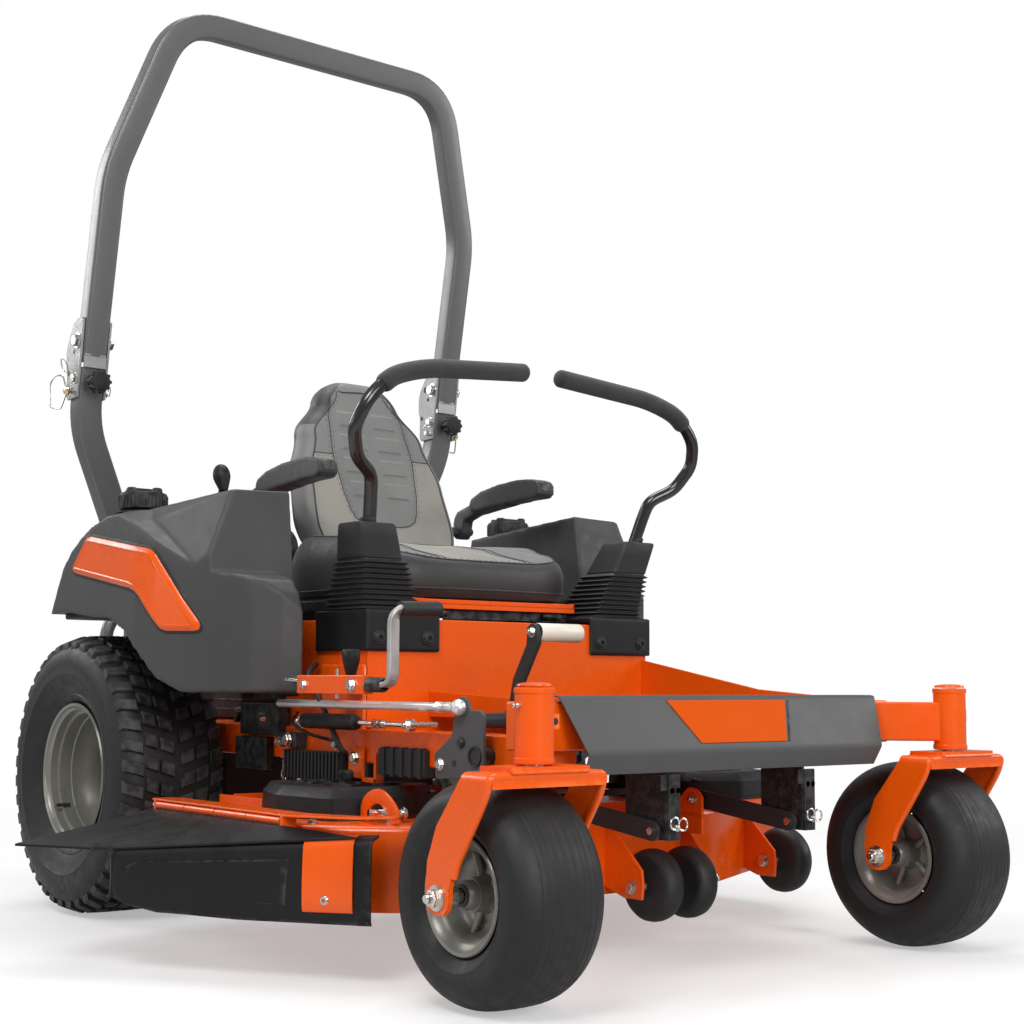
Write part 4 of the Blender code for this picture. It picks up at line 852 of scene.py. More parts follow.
def build_lock_bracket():
    shapes = [block((-0.462, -0.440), (-0.885, -0.675), (0.4475, 0.4795)), block((-0.455, -0.346), (-0.722, -0.690), (0.450, 0.477))]
    piece("lock_lever_arm", joined(shapes), ORANGE, "chassis", bevel=0.002)
    fit("chassis", bolt((-0.4622, -0.852, 0.4625), (-1, 0, 0), 0.0105))
    fit("chassis", bolt((-0.4622, -0.700, 0.4625), (-1, 0, 0), 0.008))
    fit("chassis", nut_and_end((-0.451, -0.675, 0.4700), (0, 1, 0), 0.0085))
    fit("chassis", [rod((-0.451, -0.676, 0.470), (-0.451, -0.622, 0.472), 0.0045, 16)])
    fit("chassis", [rod((-0.451, -0.790, 0.440), (-0.451, -0.790, 0.490), 0.0035, 12)])
    knob = [(0, 0.4795), (0.0085, 0.4795), (0.0105, 0.486), (0.0155, 0.506), (0.0160, 0.520), (0.0145, 0.5235), (0, 0.5245)]
    piece("lift_lock_knob", lathe(knob, (-0.430, -0.800, 0), (0, 0, 1), 28), BLACK, "chassis")
    fit("chassis", [rod((-0.430, -0.800, 0.470), (-0.430, -0.800, 0.482), 0.0040, 12)])


def build_guard():
    low = [(0.330, 0.395, 0.350), (0.330, 0.600, 0.400), (-0.330, 0.600, 0.400), (-0.330, 0.395, 0.350)]
    high = [(0.250, 0.592, 0.398), (0.230, 0.592, 0.640), (-0.230, 0.592, 0.640), (-0.250, 0.592, 0.398)]
    shapes = [tube(eased(low, 0.070, 8), 0.0158, 20), tube(eased(high, 0.070, 8), 0.0158, 20, (0, 1, 0))]
    for x in (-0.115, 0.0, 0.115):
        shapes.append(rod((x, 0.597, 0.400), (x, 0.592, 0.640), 0.0070, 16))
    piece("rear_guard_tubes", joined(shapes), TUBE, "chassis", sharp=40)


def build_frame_brackets():
    """Bolts along the rails and on the rear plate, the tow bracket and its bolts, and the hydraulic hoses and cables.
    """
    for side, _ in SIDES:
        x = side * 0.355
        for y in (-1.190, -0.980, -0.640, -0.350, -0.060, 0.250, 0.370):
            fit("chassis", bolt((x, y, 0.355), (side, 0, 0), 0.009))
        for y in (-0.30, 0.30):
            fit("chassis", bolt((side * 0.30, y, 0.3845), (0, 0, 1), 0.010))
    for x in (-0.30, -0.22, 0.22, 0.30):
        for z in (0.315, 0.405):
            fit("chassis", bolt((x, 0.4200, z), (0, 1, 0), 0.011))
    shapes = []
    for x in (-0.045, 0.045):
        shapes.append(plate([(0.418, 0.300), (0.470, 0.306), (0.474, 0.330), (0.418, 0.360)], "x", x - 0.004, x + 0.004))
    shapes.append(block((-0.055, 0.055), (0.4205, 0.4265), (0.294, 0.372)))
    piece("tow_bracket", joined(shapes), DARK, "chassis", bevel=0.0015)
    for x in (-0.048, 0.048):
        for z in (0.302, 0.364):
            fit("chassis", bolt((x, 0.4265, z), (0, 1, 0), 0.009))
    shapes = []
    for i, x in enumerate((-0.290, -0.275, -0.260)):
        path = [(x, -0.560, 0.395), (x - 0.01, -0.30, 0.405 + 0.006 * i), (x + 0.02, -0.12, 0.41), (x + 0.08, -0.03, 0.400), (x + 0.085, 0.00, 0.372)]
        shapes.append(tube(eased(path, 0.05, 6), 0.0062, 12))
    for x in (0.150, 0.168):
        path = [(x, -0.070, 0.335), (x, -0.110, 0.410), (x - 0.14, -0.16, 0.430), (x - 0.30, -0.110, 0.410), (x - 0.31, -0.070, 0.335)]
        shapes.append(tube(eased(path, 0.04, 6), 0.0085, 14))
    piece("hydraulic_hoses_and_cables", joined(shapes), RUBBER, "chassis", sharp=50)


build_frame()

# ---------------------------------------------------------------- panels and tanks

PANEL_FRONT = -0.7195
PANEL_HALF = 0.342
PANEL_TOP = 0.583


def build_cover():
    """The folded sheet over the front beam, its coloured patch and a seam strip beside the patch."""
    profile = [
        (-1.235, 0.4495, 0.371),
        (-1.276, 0.4495, 0.371),
        (-1.283, 0.4480, 0.3708),
        (-1.2865, 0.4430, 0.3690),
        (-1.3185, 0.3700, 0.3465),
        (-1.3215, 0.3620, 0.3440),
        (-1.3205, 0.3565, 0.3420),
        (-1.3070, 0.3290, 0.3380),
    ]
    rings = []
    for y, z, half in profile:
        rings.append([(half * u, y, z) for u in (-1, -0.5, 0, 0.5, 1)])
    bm = bmesh.new()
    rows = [[bm.verts.new(p) for p in ring] for ring in rings]
    for low, high in zip(rows, rows[1:]):
        for i in range(4):
            bm.faces.new((low[i], low[i + 1], high[i + 1], high[i]))
    cover = piece("front_cover_sheet", bm, COVER, "chassis", sharp=0, stands_for=["front_beam_cover"])
    add_thickness(cover, 0.0028, 0.0006)

    def on_slope(x, z, lift):
        t = (0.4430 - z) / (0.4430 - 0.3700)
        y = -1.2865 + t * (-1.3185 + 1.2865)
        return (x, y - lift, z + lift * 0.44)

    corners = [(-0.150, 0.4410), (0.128, 0.4410), (0.100, 0.3735), (-0.100, 0.3735)]
    patch = sheet_between([on_slope(x, z, 0.0002) for x, z in corners], [on_slope(x, z, 0.0016) for x, z in corners])
    piece("front_cover_patch", patch, FILM, "chassis", bevel=0.0005, segments=2)
    seam = sheet_between([on_slope(0.1345, 0.4410, 0.0003), on_slope(0.1385, 0.4410, 0.0003), on_slope(0.1100, 0.3735, 0.0003), on_slope(0.1060, 0.3735, 0.0003)],
                         [on_slope(0.1345, 0.4410, 0.0012), on_slope(0.1385, 0.4410, 0.0012), on_slope(0.1100, 0.3735, 0.0012), on_slope(0.1060, 0.3735, 0.0012)])
    piece("front_cover_seam_strip", seam, BLACK, "chassis", sharp=35)


def add_thickness(obj, thickness, bevel=0.0, segments=2):
    """Gives an open sheet its thickness on the side away from its normals, then eases its edges."""
    wall = obj.modifiers.new("Sheet", "SOLIDIFY")
    wall.thickness = thickness
    wall.offset = -1
    if bevel:
        edge = obj.modifiers.new("Edges", "BEVEL")
        edge.width = bevel
        edge.segments = segments
        edge.limit_method = "ANGLE"
        edge.angle_limit = math.radians(50)
        edge.harden_normals = True


def build_panel():
    """The painted front and sides of the seat box, with a strip below the front, a top flange, two bolts and the
    battery tray inside.
    """
    back = PANEL_FRONT + 0.004
    shapes = [block((-PANEL_HALF, PANEL_HALF), (PANEL_FRONT, back), (0.3868, PANEL_TOP))]
    for side, _ in SIDES:
        shapes.append(block((side * (PANEL_HALF - 0.004), side * PANEL_HALF), (PANEL_FRONT + 0.0005, -0.440), (0.3868, PANEL_TOP)))
    shapes.append(block((-0.300, 0.300), (PANEL_FRONT + 0.0005, back), (0.335, 0.392)))
    piece("seat_box_panels", joined(shapes), ORANGE, "chassis", bevel=0.0014, segments=3, stands_for=["front_body_panel"])
    flange = [block((-0.185, 0.185), (PANEL_FRONT + 0.0005, PANEL_FRONT + 0.030), (PANEL_TOP - 0.003, PANEL_TOP + 0.0005))]
    piece("seat_box_front_flange", joined(flange), ORANGE, "chassis", bevel=0.0012)
    for x in (-0.165, 0.165):
        fit("chassis", bolt((x, PANEL_FRONT, 0.412), (0, -1, 0), 0.008))
    inside = [block((-0.300, 0.300), (-0.690, -0.240), (0.430, 0.560))]
    piece("battery_and_tray", joined(inside), BLACK, "chassis", bevel=0.006)


def build_platform():
    front, rear = BEAM_BACK + 0.003, PANEL_FRONT - 0.0006
    left_wall = [(rear, 0.3866), (rear, 0.5150), (-0.760, 0.5080), (-1.040, 0.4580), (front, 0.4462), (front, 0.3866)]
    right_wall = [(rear, 0.405), (rear, 0.452), (-1.000, 0.440), (front, 0.436), (front, 0.405)]
    shapes = [
        block((-0.204, 0.333), (front + 0.0005, rear - 0.0005), (0.425, 0.430)),
        plate(left_wall, "x", 0.330, 0.335),
        plate(right_wall, "x", -0.205, -0.200),
        block((0.300, 0.335), (front + 0.001, rear - 0.001), (0.3868, 0.3900)),
    ]
    piece("foot_platform_tray", joined(shapes), ORANGE, "chassis", bevel=0.0012, segments=2, stands_for=["foot_platform"])
    ribs = [block((-0.185, 0.318), (front + 0.018, rear - 0.016), (0.4302, 0.4335))]
    for i in range(22):
        x = -0.172 + i * 0.0228
        ribs.append(block((x, x + 0.009), (front + 0.030, rear - 0.030), (0.4333, 0.4362)))
    piece("foot_mat", joined(ribs), RUBBER, "chassis", bevel=0.0009, segments=2)


def build_control_bases():
    for side, name in SIDES:
        shell = block((side * 0.186, side * 0.349), (-0.7262, -0.550), (0.586, 0.5995))
        nose = block((side * 0.186, side * 0.349), (-0.7262, -0.7204), (0.523, 0.5985))
        cheek = block((side * 0.3435, side * 0.349), (-0.7262, -0.552), (0.523, 0.5985))
        slot = block((side * 0.256, side * 0.324), (-0.712, -0.580), (0.570, 0.620))
        bm = moulded([shell, nose, cheek], 0.0030, 3, [slot])
        piece(f"{name}_control_console_base", bm, BLACK if side > 0 else BLACK, "chassis", sharp=0,
              stands_for=[f"{name}_control_base"])
        for x in (0.213, 0.322):
            fit("chassis", socket_screw((side * x, -0.7262, 0.548), (0, -1, 0), 0.0105), "dark")
            fit("chassis", [lathe([(0.0082, -0.001), (0.0135, -0.001), (0.0135, 0.0012), (0.0125, 0.0022), (0.0092, 0.0022)],
                                  (side * x, -0.7260, 0.548), (0, -1, 0), 28)], "dark")
        fit("chassis", socket_screw((side * 0.204, -0.564, 0.5995), (0, 0, 1), 0.007), "dark")


TANK_OUTER = [
    (0.078, 0.604), (0.050, 0.654), (0.023, 0.698), (-0.016, 0.731), (-0.060, 0.755), (-0.105, 0.774), (-0.182, 0.791), (-0.235, 0.791),
    (-0.290, 0.773), (-0.350, 0.742), (-0.420, 0.703), (-0.480, 0.672), (-0.535, 0.664), (-0.565, 0.654), (-0.586, 0.630),
    (-0.600, 0.600), (-0.605, 0.540), (-0.605, 0.447),
]
TANK_INNER = [
    (0.085, 0.604), (0.062, 0.654), (0.036, 0.700), (0.006, 0.748), (-0.030, 0.786), (-0.080, 0.802), (-0.170, 0.805), (-0.235, 0.802),
    (-0.290, 0.780), (-0.350, 0.748), (-0.420, 0.706), (-0.480, 0.672), (-0.535, 0.664), (-0.565, 0.654), (-0.586, 0.630),
    (-0.600, 0.600), (-0.605, 0.540), (-0.605, 0.447),
]
TANK_ARCH = [(-0.437, 0.447), (-0.382, 0.470), (-0.272, 0.560), (-0.200, 0.588), (-0.118, 0.593), (0.000, 0.606)]
TANK_PLAN = [(-0.612, 0.398), (-0.600, 0.410), (-0.588, 0.440), (-0.557, 0.490), (-0.508, 0.530), (-0.440, 0.565), (-0.370, 0.591),
             (-0.310, 0.600), (0.200, 0.600)]


def tank_side(y):
    """How far out the tank's side stands at a given y: it curves in towards the front corner."""
    for (y0, x0), (y1, x1) in zip(TANK_PLAN, TANK_PLAN[1:]):
        if y <= y1:
            return x0 + (x1 - x0) * (y - y0) / (y1 - y0)
    return TANK_PLAN[-1][1]


def build_tanks():
    for side, name in SIDES:
        rings = []
        for x, outline in ((0.600, TANK_OUTER), (0.582, TANK_OUTER), (0.548, TANK_INNER), (0.405, TANK_INNER)):
            rings.append([(side * x, y, z) for y, z in outline + TANK_ARCH])
        shell = loft(rings)
        corners = [(0.361, -0.474, 0.832), (0.486, -0.474, 0.8275), (0.486, -0.270, 0.8070), (0.470, -0.100, 0.8035), (0.361, -0.100, 0.8035),
                   (0.361, -0.498, 0.640), (0.553, -0.493, 0.640), (0.553, -0.491, 0.670), (0.566, -0.270, 0.770), (0.540, -0.130, 0.799),
                   (0.361, -0.060, 0.640)]
        console = hull([(side * x, y, z) for x, y, z in corners])
        neck = rod((side * 0.480, -0.090, 0.770), (side * 0.480, -0.090, 0.811), 0.047, 40, 0.040)
        front = [(x, y) for y, x in TANK_PLAN[:-1]] + [(0.606, -0.300), (0.720, -0.300), (0.720, -0.720), (0.398, -0.720)]
        corner = plate([(side * x, y) for x, y in front], "z", 0.400, 0.850)
        tail = block((side * 0.430, side * 0.578), (-0.090, 0.066), (0.560, 0.650))
        bm = moulded([shell, console, neck], 0.0042, 3, [corner, tail])
        piece(f"{name}_moulded_fuel_tank", bm, GREY, "chassis", sharp=0, stands_for=[f"{name}_fuel_tank"])
        liner = [block((side * 0.440, side * 0.572), (-0.088, 0.070), (0.5935, 0.648)), block((side * 0.352, side * 0.404), (-0.470, -0.120), (0.606, 0.640))]
        piece(f"{name}_tank_underside", joined(liner), BLACK, "chassis", bevel=0.004)
        build_tank_trim(side, name)
        build_cap(side, name)
        fit("chassis", bolt((side * 0.540, -0.400, 0.4660), (0, 0, -1), 0.008))


TRIM_OUTLINE = [(-0.0285, 0.6910), (-0.0330, 0.6990), (-0.0880, 0.7480), (-0.0980, 0.7535), (-0.1160, 0.7540), (-0.3500, 0.7175),
                (-0.3660, 0.7125), (-0.3760, 0.7040), (-0.4740, 0.5770), (-0.4765, 0.5690), (-0.4740, 0.5615), (-0.4640, 0.5590),
                (-0.4060, 0.5600), (-0.3960, 0.5620), (-0.3880, 0.5665), (-0.3260, 0.6270), (-0.3120, 0.6370), (-0.2920, 0.6430),
                (-0.0420, 0.6835)]


def build_tank_trim(side, name):
    """The bevelled coloured panel let into the tank's side, inside a dark gasket."""

    def wrapped(levels):
        """Rings of (inset, distance out), joined and bent round the tank's side."""
        rings = []
        for inset, out in levels:
            rings.append([(out, y, z) for y, z in plan_inset(TRIM_OUTLINE, inset)])
        bm = loft(rings)
        for i in range(28):
            geometry = bm.verts[:] + bm.edges[:] + bm.faces[:]
            bmesh.ops.bisect_plane(bm, geom=geometry, plane_co=(0, -0.04 - i * 0.016, 0), plane_no=(0, 1, 0))
        for vertex in bm.verts:
            vertex.co.x = side * (tank_side(vertex.co.y) + vertex.co.x)
        return bm

    gasket = wrapped(((-0.0045, -0.010), (-0.0045, 0.0012), (-0.0020, 0.0024), (0.0020, 0.0020)))
    piece(f"{name}_tank_trim_gasket", gasket, RUBBER, "chassis", sharp=50)
    panel = wrapped(((0.0004, -0.004), (0.0004, 0.0030), (0.0014, 0.0042), (0.0090, 0.0082), (0.0110, 0.0082), (0.0128, 0.0070)))
    piece(f"{name}_tank_trim_panel", panel, ORANGE, "chassis", sharp=24)


def build_cap(side, name):
    at = (side * 0.480, -0.090, 0.8155)
    profile = [(0, 0), (0.0440, 0.0), (0.0485, 0.003), (0.0490, 0.030), (0.0470, 0.0345), (0.0410, 0.0370), (0.0300, 0.0380),
               (0.0280, 0.0345), (0, 0.0340)]
    shapes = [lathe(profile, at, (0, 0, 1), 72)]
    for i in range(36):
        turn = 2 * math.pi * i / 36
        out = Vector((math.cos(turn), math.sin(turn), 0))
        base = Vector(at) + out * 0.0485
        shapes.append(rod(base + Vector((0, 0, 0.005)), base + Vector((0, 0, 0.029)), 0.0019, 8))
    for i in range(4):
        turn = 2 * math.pi * i / 4 + 0.4
        out = Vector((math.cos(turn), math.sin(turn), 0))
        across = Vector((-out.y, out.x, 0))
        base = Vector(at) + out * 0.036 + Vector((0, 0, 0.0400))
        ring = []
        for level, grow in ((-0.006, 1.0), (0.0035, 0.86), (0.0055, 0.6)):
            ring.append([base + Vector((0, 0, level)) + out * u * 0.0075 * grow + across * v * 0.011 * grow
                         for u, v in soft_box(1, 1, 0.4, 3)])
        shapes.append(loft(ring))
    shapes.append(loft([[Vector(at) + Vector((u * 0.030 * g, v * 0.009 * g, z)) for u, v in soft_box(1, 1, 0.35, 3)]
                        for z, g in ((0.033, 1.0), (0.0435, 0.93), (0.0455, 0.8))]))
    piece(f"{name}_ribbed_fuel_cap", joined(shapes), BLACK, f"{name}_fuel_cap", sharp=40, stands_for=[f"{name}_fuel_cap"])
    skirt = [(0.0395, 0.7920), (0.0560, 0.8065), (0.0570, 0.8090), (0.0470, 0.8130), (0.0440, 0.8146), (0.0395, 0.8146)]
    piece(f"{name}_filler_skirt", lathe(skirt, (side * 0.480, -0.090, 0), (0, 0, 1), 60), BLACK, "chassis", sharp=40)


build_cover()
build_panel()
build_platform()
build_control_bases()
build_tanks()

# ---------------------------------------------------------------- roll-over bar

LEAN = math.tan(math.radians(10.5))
FOLD = (0.180, 1.210)
UPPER_X = 0.480


def post_y(z):
    return FOLD[0] - (z - FOLD[1]) * LEAN


def build_rops():
    for side, name in SIDES:
        path = [
            (side * 0.300, post_y(0.660), 0.3856),
            (side * 0.300, post_y(0.660), 0.660),
            (side * UPPER_X, post_y(1.030), 1.030),
            (side * UPPER_X, post_y(1.155), 1.155),
        ]
        post = sweep(eased(path, 0.060, 8), soft_box(0.029, 0.0225, 0.006), (0, 1, 0))
        foot = block((side * 0.262, side * 0.338), (post_y(0.66) - 0.040, post_y(0.66) + 0.040), (0.3856, 0.3935))
        piece(f"{name}_rops_lower_post", joined([post, foot]), TUBE, "chassis", sharp=40, stands_for=[f"rops_{name}_post"])
        build_rops_hinge(side, name)
    hoop_path = [
        (-UPPER_X, post_y(1.165), 1.165),
        (-UPPER_X, post_y(1.580), 1.580),
        (-0.360, post_y(1.940), 1.940),
        (0.360, post_y(1.940), 1.940),
        (UPPER_X, post_y(1.580), 1.580),
        (UPPER_X, post_y(1.165), 1.165),
    ]
    bent = eased(hoop_path[:3], 0.050, 8)[:-1] + eased([(hoop_path[1][0] * 0.62 + hoop_path[2][0] * 0.38, post_y(1.717), 1.717), *hoop_path[2:4],
                                                        (hoop_path[4][0] * 0.62 + hoop_path[3][0] * 0.38, post_y(1.717), 1.717)], 0.100, 12)
    bent += eased(hoop_path[3:], 0.050, 8)[1:]
    hoop = sweep(bent, soft_box(0.0275, 0.0225, 0.0065), (0, 1, LEAN))
    piece("folding_roll_bar", hoop, TUBE, "rops_hoop", sharp=40, stands_for=["rops_hoop"])


def build_rops_hinge(side, name):
    """Cheek plates, pivot and lock pins with their wire clips, a latch bracket and the clamp knob."""
    cheek = [
        (post_y(1.085) - 0.024, 1.085), (post_y(1.085) + 0.024, 1.083), (post_y(1.085) + 0.031, 1.090), (FOLD[0] + 0.054, 1.142),
        (FOLD[0] + 0.060, 1.160), (FOLD[0] + 0.060, 1.195), (FOLD[0] + 0.052, 1.215), (FOLD[0] + 0.026, 1.252), (FOLD[0] + 0.012, 1.261),
        (FOLD[0] - 0.016, 1.261), (FOLD[0] - 0.024, 1.254),
    ]
    shapes = []
    for way in (-1, 1):
        face = side * UPPER_X + way * 0.0287
        shapes.append(plate(cheek, "x", face, face + way * 0.0056))
        outer = face + way * 0.0056
        for y, z, r in ((FOLD[0] + 0.030, 1.214, 0.0066), (FOLD[0] + 0.018, 1.188, 0.0036), (FOLD[0] + 0.044, 1.142, 0.0044)):
            # thin black discs on the cheek plates are painted shade, standing in for the insides of the pin holes
            fit("chassis", [lathe([(0, 0.0001), (r, 0.0001), (r, 0.0004), (0, 0.0004)], (outer, y, z), (way, 0, 0), 20)], "hole")
            ring = [(r, 0), (r, 0.0006), (r + 0.0015, 0.0006), (r + 0.0020, 0)]
            fit("chassis", [lathe(ring, (outer, y, z), (way, 0, 0), 20)], "tube")
        fit("chassis", bolt((outer, FOLD[0], FOLD[1]), (way, 0, 0), 0.0150))
        fit("chassis", bolt((outer, FOLD[0] + 0.008, 1.128), (way, 0, 0), 0.0115))
    # the cheek plates' paler grey is painted light on top of the tube paint's grey
    piece(f"{name}_rops_cheek_plates", joined(shapes), CHEEK, "chassis", bevel=0.0014, segments=2)
    outside = side * UPPER_X + side * 0.0343
    pin_y, pin_z = FOLD[0] + 0.016, 1.100
    fit("chassis", [rod((side * UPPER_X - side * 0.044, pin_y, pin_z), (outside + side * 0.014, pin_y, pin_z), 0.0062, 20)])
    fit("chassis", [lathe([(0, 0), (0.0105, 0), (0.0110, 0.004), (0.0080, 0.009), (0, 0.010)],
                          (outside + side * 0.012, pin_y, pin_z), (side, 0, 0), 24)], "brass")
    bail = [(outside + side * 0.016, pin_y, pin_z), (outside + side * 0.020, pin_y + 0.012, pin_z + 0.034),
            (outside + side * 0.028, pin_y + 0.036, pin_z + 0.036), (outside + side * 0.032, pin_y + 0.052, pin_z + 0.020),
            (outside + side * 0.032, pin_y + 0.048, pin_z - 0.034), (outside + side * 0.024, pin_y + 0.010, pin_z - 0.042),
            (outside + side * 0.018, pin_y - 0.002, pin_z - 0.010)]
    fit("chassis", [tube(eased(bail, 0.009, 4), 0.0018, 8)])
    loop = []
    for i in range(15):
        turn = 2 * math.pi * i / 14
        loop.append((outside + side * (0.014 + 0.006 * math.sin(turn)), FOLD[0] + 0.036 + 0.013 * math.cos(turn), 1.158 + 0.015 * math.sin(turn)))
    fit("chassis", [tube(loop, 0.0015, 8)])
    inside = side * UPPER_X - side * 0.0343
    clip = []
    for i in range(13):
        turn = 2 * math.pi * i / 14
        clip.append((inside - side * (0.010 + 0.004 * math.cos(turn)), FOLD[0] + 0.004 + 0.014 * math.cos(turn), 1.108 + 0.013 * math.sin(turn)))
    fit("chassis", [tube(clip, 0.0012, 8)])
    front = post_y(1.150) - 0.0225
    latch = [block((side * UPPER_X - 0.026, side * UPPER_X + 0.026), (front - 0.0060, front - 0.0005), (1.150, 1.176)),
             block((side * UPPER_X - 0.024, side * UPPER_X - 0.010), (front - 0.0060, front - 0.0005), (1.176, 1.186)),
             block((side * UPPER_X + 0.010, side * UPPER_X + 0.024), (front - 0.0060, front - 0.0005), (1.176, 1.186))]
    # the latch plate shares the paler grey, which is painted light
    piece(f"{name}_rops_latch_plate", joined(latch), CHEEK, "chassis", bevel=0.0012, segments=2)
    knob_front = post_y(1.117) - 0.0225
    fit("chassis", [rod((side * UPPER_X, knob_front + 0.002, 1.117), (side * UPPER_X, knob_front - 0.0055, 1.117), 0.0105, 24)], "dark")
    axis_y = knob_front - 0.006
    profile = [(0, 0), (0.0120, 0.0), (0.0125, 0.0130), (0.0205, 0.0155), (0.0222, 0.0190), (0.0222, 0.0370), (0.0205, 0.0405),
               (0.0120, 0.0425), (0, 0.0425)]
    knob = [lathe(profile, (side * UPPER_X, axis_y, 1.117), (0, -1, 0), 48)]
    for i in range(10):
        turn = 2 * math.pi * i / 10
        x = side * UPPER_X + 0.0215 * math.cos(turn)
        z = 1.117 + 0.0215 * math.sin(turn)
        knob.append(rod((x, axis_y - 0.0175, z), (x, axis_y - 0.0385, z), 0.0042, 12))
    piece(f"{name}_rops_clamp_knob", joined(knob), BLACK, f"{name}_rops_knob", sharp=40, stands_for=[f"{name}_rops_knob"])


build_rops()

# ---------------------------------------------------------------- seat


def smooth_half(knots, at):
    """A value read from (at, value) knots with eased steps between them."""
    if at <= knots[0][0]:
        return knots[0][1]
    for (a, low), (b, high) in zip(knots, knots[1:]):
        if at <= b:
            t = (at - a) / (b - a)
            return low + (high - low) * t * t * (3 - 2 * t)
    return knots[-1][1]


def soft_lump(name, bm, voxel):
    """A closed form remeshed in even squares, ready for the cloth."""
    lump = piece(name, bm, VINYL_DARK, None, sharp=0)
    melt = lump.modifiers.new("Melt", "REMESH")
    melt.mode = "VOXEL"
    melt.voxel_size = voxel
    ease = lump.modifiers.new("Ease", "SMOOTH")
    ease.factor = 0.5
    ease.iterations = 4
    return baked(lump)


def inflate(obj, held, pressure, furthest):
    """Fills the form like a stuffed cover; held vertices stay, and no other moves over furthest."""
    rest = [v.co.copy() for v in obj.data.vertices]
    group = obj.vertex_groups.new(name="held")
    group.add(held, 1.0, "REPLACE")
    cloth = obj.modifiers.new("Cover", "CLOTH")
    settings = cloth.settings
    settings.quality = 5
    settings.mass = 0.25
    settings.tension_stiffness = 18
    settings.compression_stiffness = 6
    settings.shear_stiffness = 5
    settings.bending_stiffness = 1.2
    settings.use_pressure = True
    settings.uniform_pressure_force = pressure
    settings.vertex_group_mass = "held"
    settings.effector_weights.gravity = 0
    cloth.collision_settings.use_collision = False
    scene = bpy.context.scene
    for step in range(1, 21):
        scene.frame_set(step)
    graph = bpy.context.evaluated_depsgraph_get()
    blown = obj.evaluated_get(graph).data
    ends = [v.co.copy() for v in blown.vertices]
    obj.modifiers.clear()
    for vertex, start, end in zip(obj.data.vertices, rest, ends):
        shift = end - start
        if shift.length > furthest:
            shift *= furthest / shift.length
        vertex.co = start + shift
    scene.frame_set(1)


def on_surface(obj, points, along, lift):
    """Where rays through the points, sent along a direction, meet the object; lifted off it a little."""
    found = []
    along = Vector(along).normalized()
    for point in points:
        start = Vector(point) + DATUM - along * 0.5
        hit, place, normal, _ = obj.ray_cast(start, along)
        if hit:
            found.append(place + normal * lift - DATUM)
    return found


def seam(obj, points, along, radius, lift=0.0):
    path = on_surface(obj, points, along, lift)
    if len(path) < 3:
        return []
    return [tube(path, radius, 8, (0.02, 0.03, 1))]


def stitches(obj, points, along, side_shift):
    """Short raised threads in a row beside a seam."""
    shapes = []
    path = on_surface(obj, [Vector(p) + Vector(side_shift) for p in points], along, 0.0004)
    for near, far in zip(path[::2], path[1::2]):
        if (far - near).length > 1e-4:
            shapes.append(rod(near, near + (far - near) * 0.72, 0.0005, 6))
    return shapes


def spaced(points, gap):
    """The polyline's points at an even gap."""
    points = [Vector(p) for p in points]
    out = [points[0]]
    for near, far in zip(points, points[1:]):
        steps = max(1, round((far - near).length / gap))
        for i in range(1, steps + 1):
            out.append(near + (far - near) * i / steps)
    return out


CUSHION_LEVELS = ((0.0, 0.935), (0.10, 0.968), (0.28, 0.984), (0.52, 0.990), (0.72, 0.986), (0.86, 0.972), (0.95, 0.945),
                  (1.0, 0.905), (1.0, 0.82), (0.985, 0.66), (0.97, 0.46), (0.96, 0.26), (0.955, 0.05))
CUSHION_TOP = ((-0.650, 0.703), (-0.600, 0.714), (-0.540, 0.729), (-0.470, 0.748), (-0.400, 0.760), (-0.340, 0.757), (-0.250, 0.736))
CUSHION_MIDDLE = Vector((0.0, -0.440, 0))
CUSHION_RIM = 0.918
INSERT_HALF = 0.107


def cushion_outline():
    half = [(0.0, -0.252), (0.200, -0.250), (0.236, -0.262), (0.248, -0.300), (0.248, -0.490), (0.243, -0.550), (0.226, -0.604),
            (0.190, -0.634), (0.115, -0.648), (0.0, -0.651)]
    ring = [Vector((x, y, 0)) for x, y in half] + [Vector((-x, y, 0)) for x, y in reversed(half[1:-1])]
    return [p for p in eased(ring + [ring[0]], 0.030, 4)][:-1]


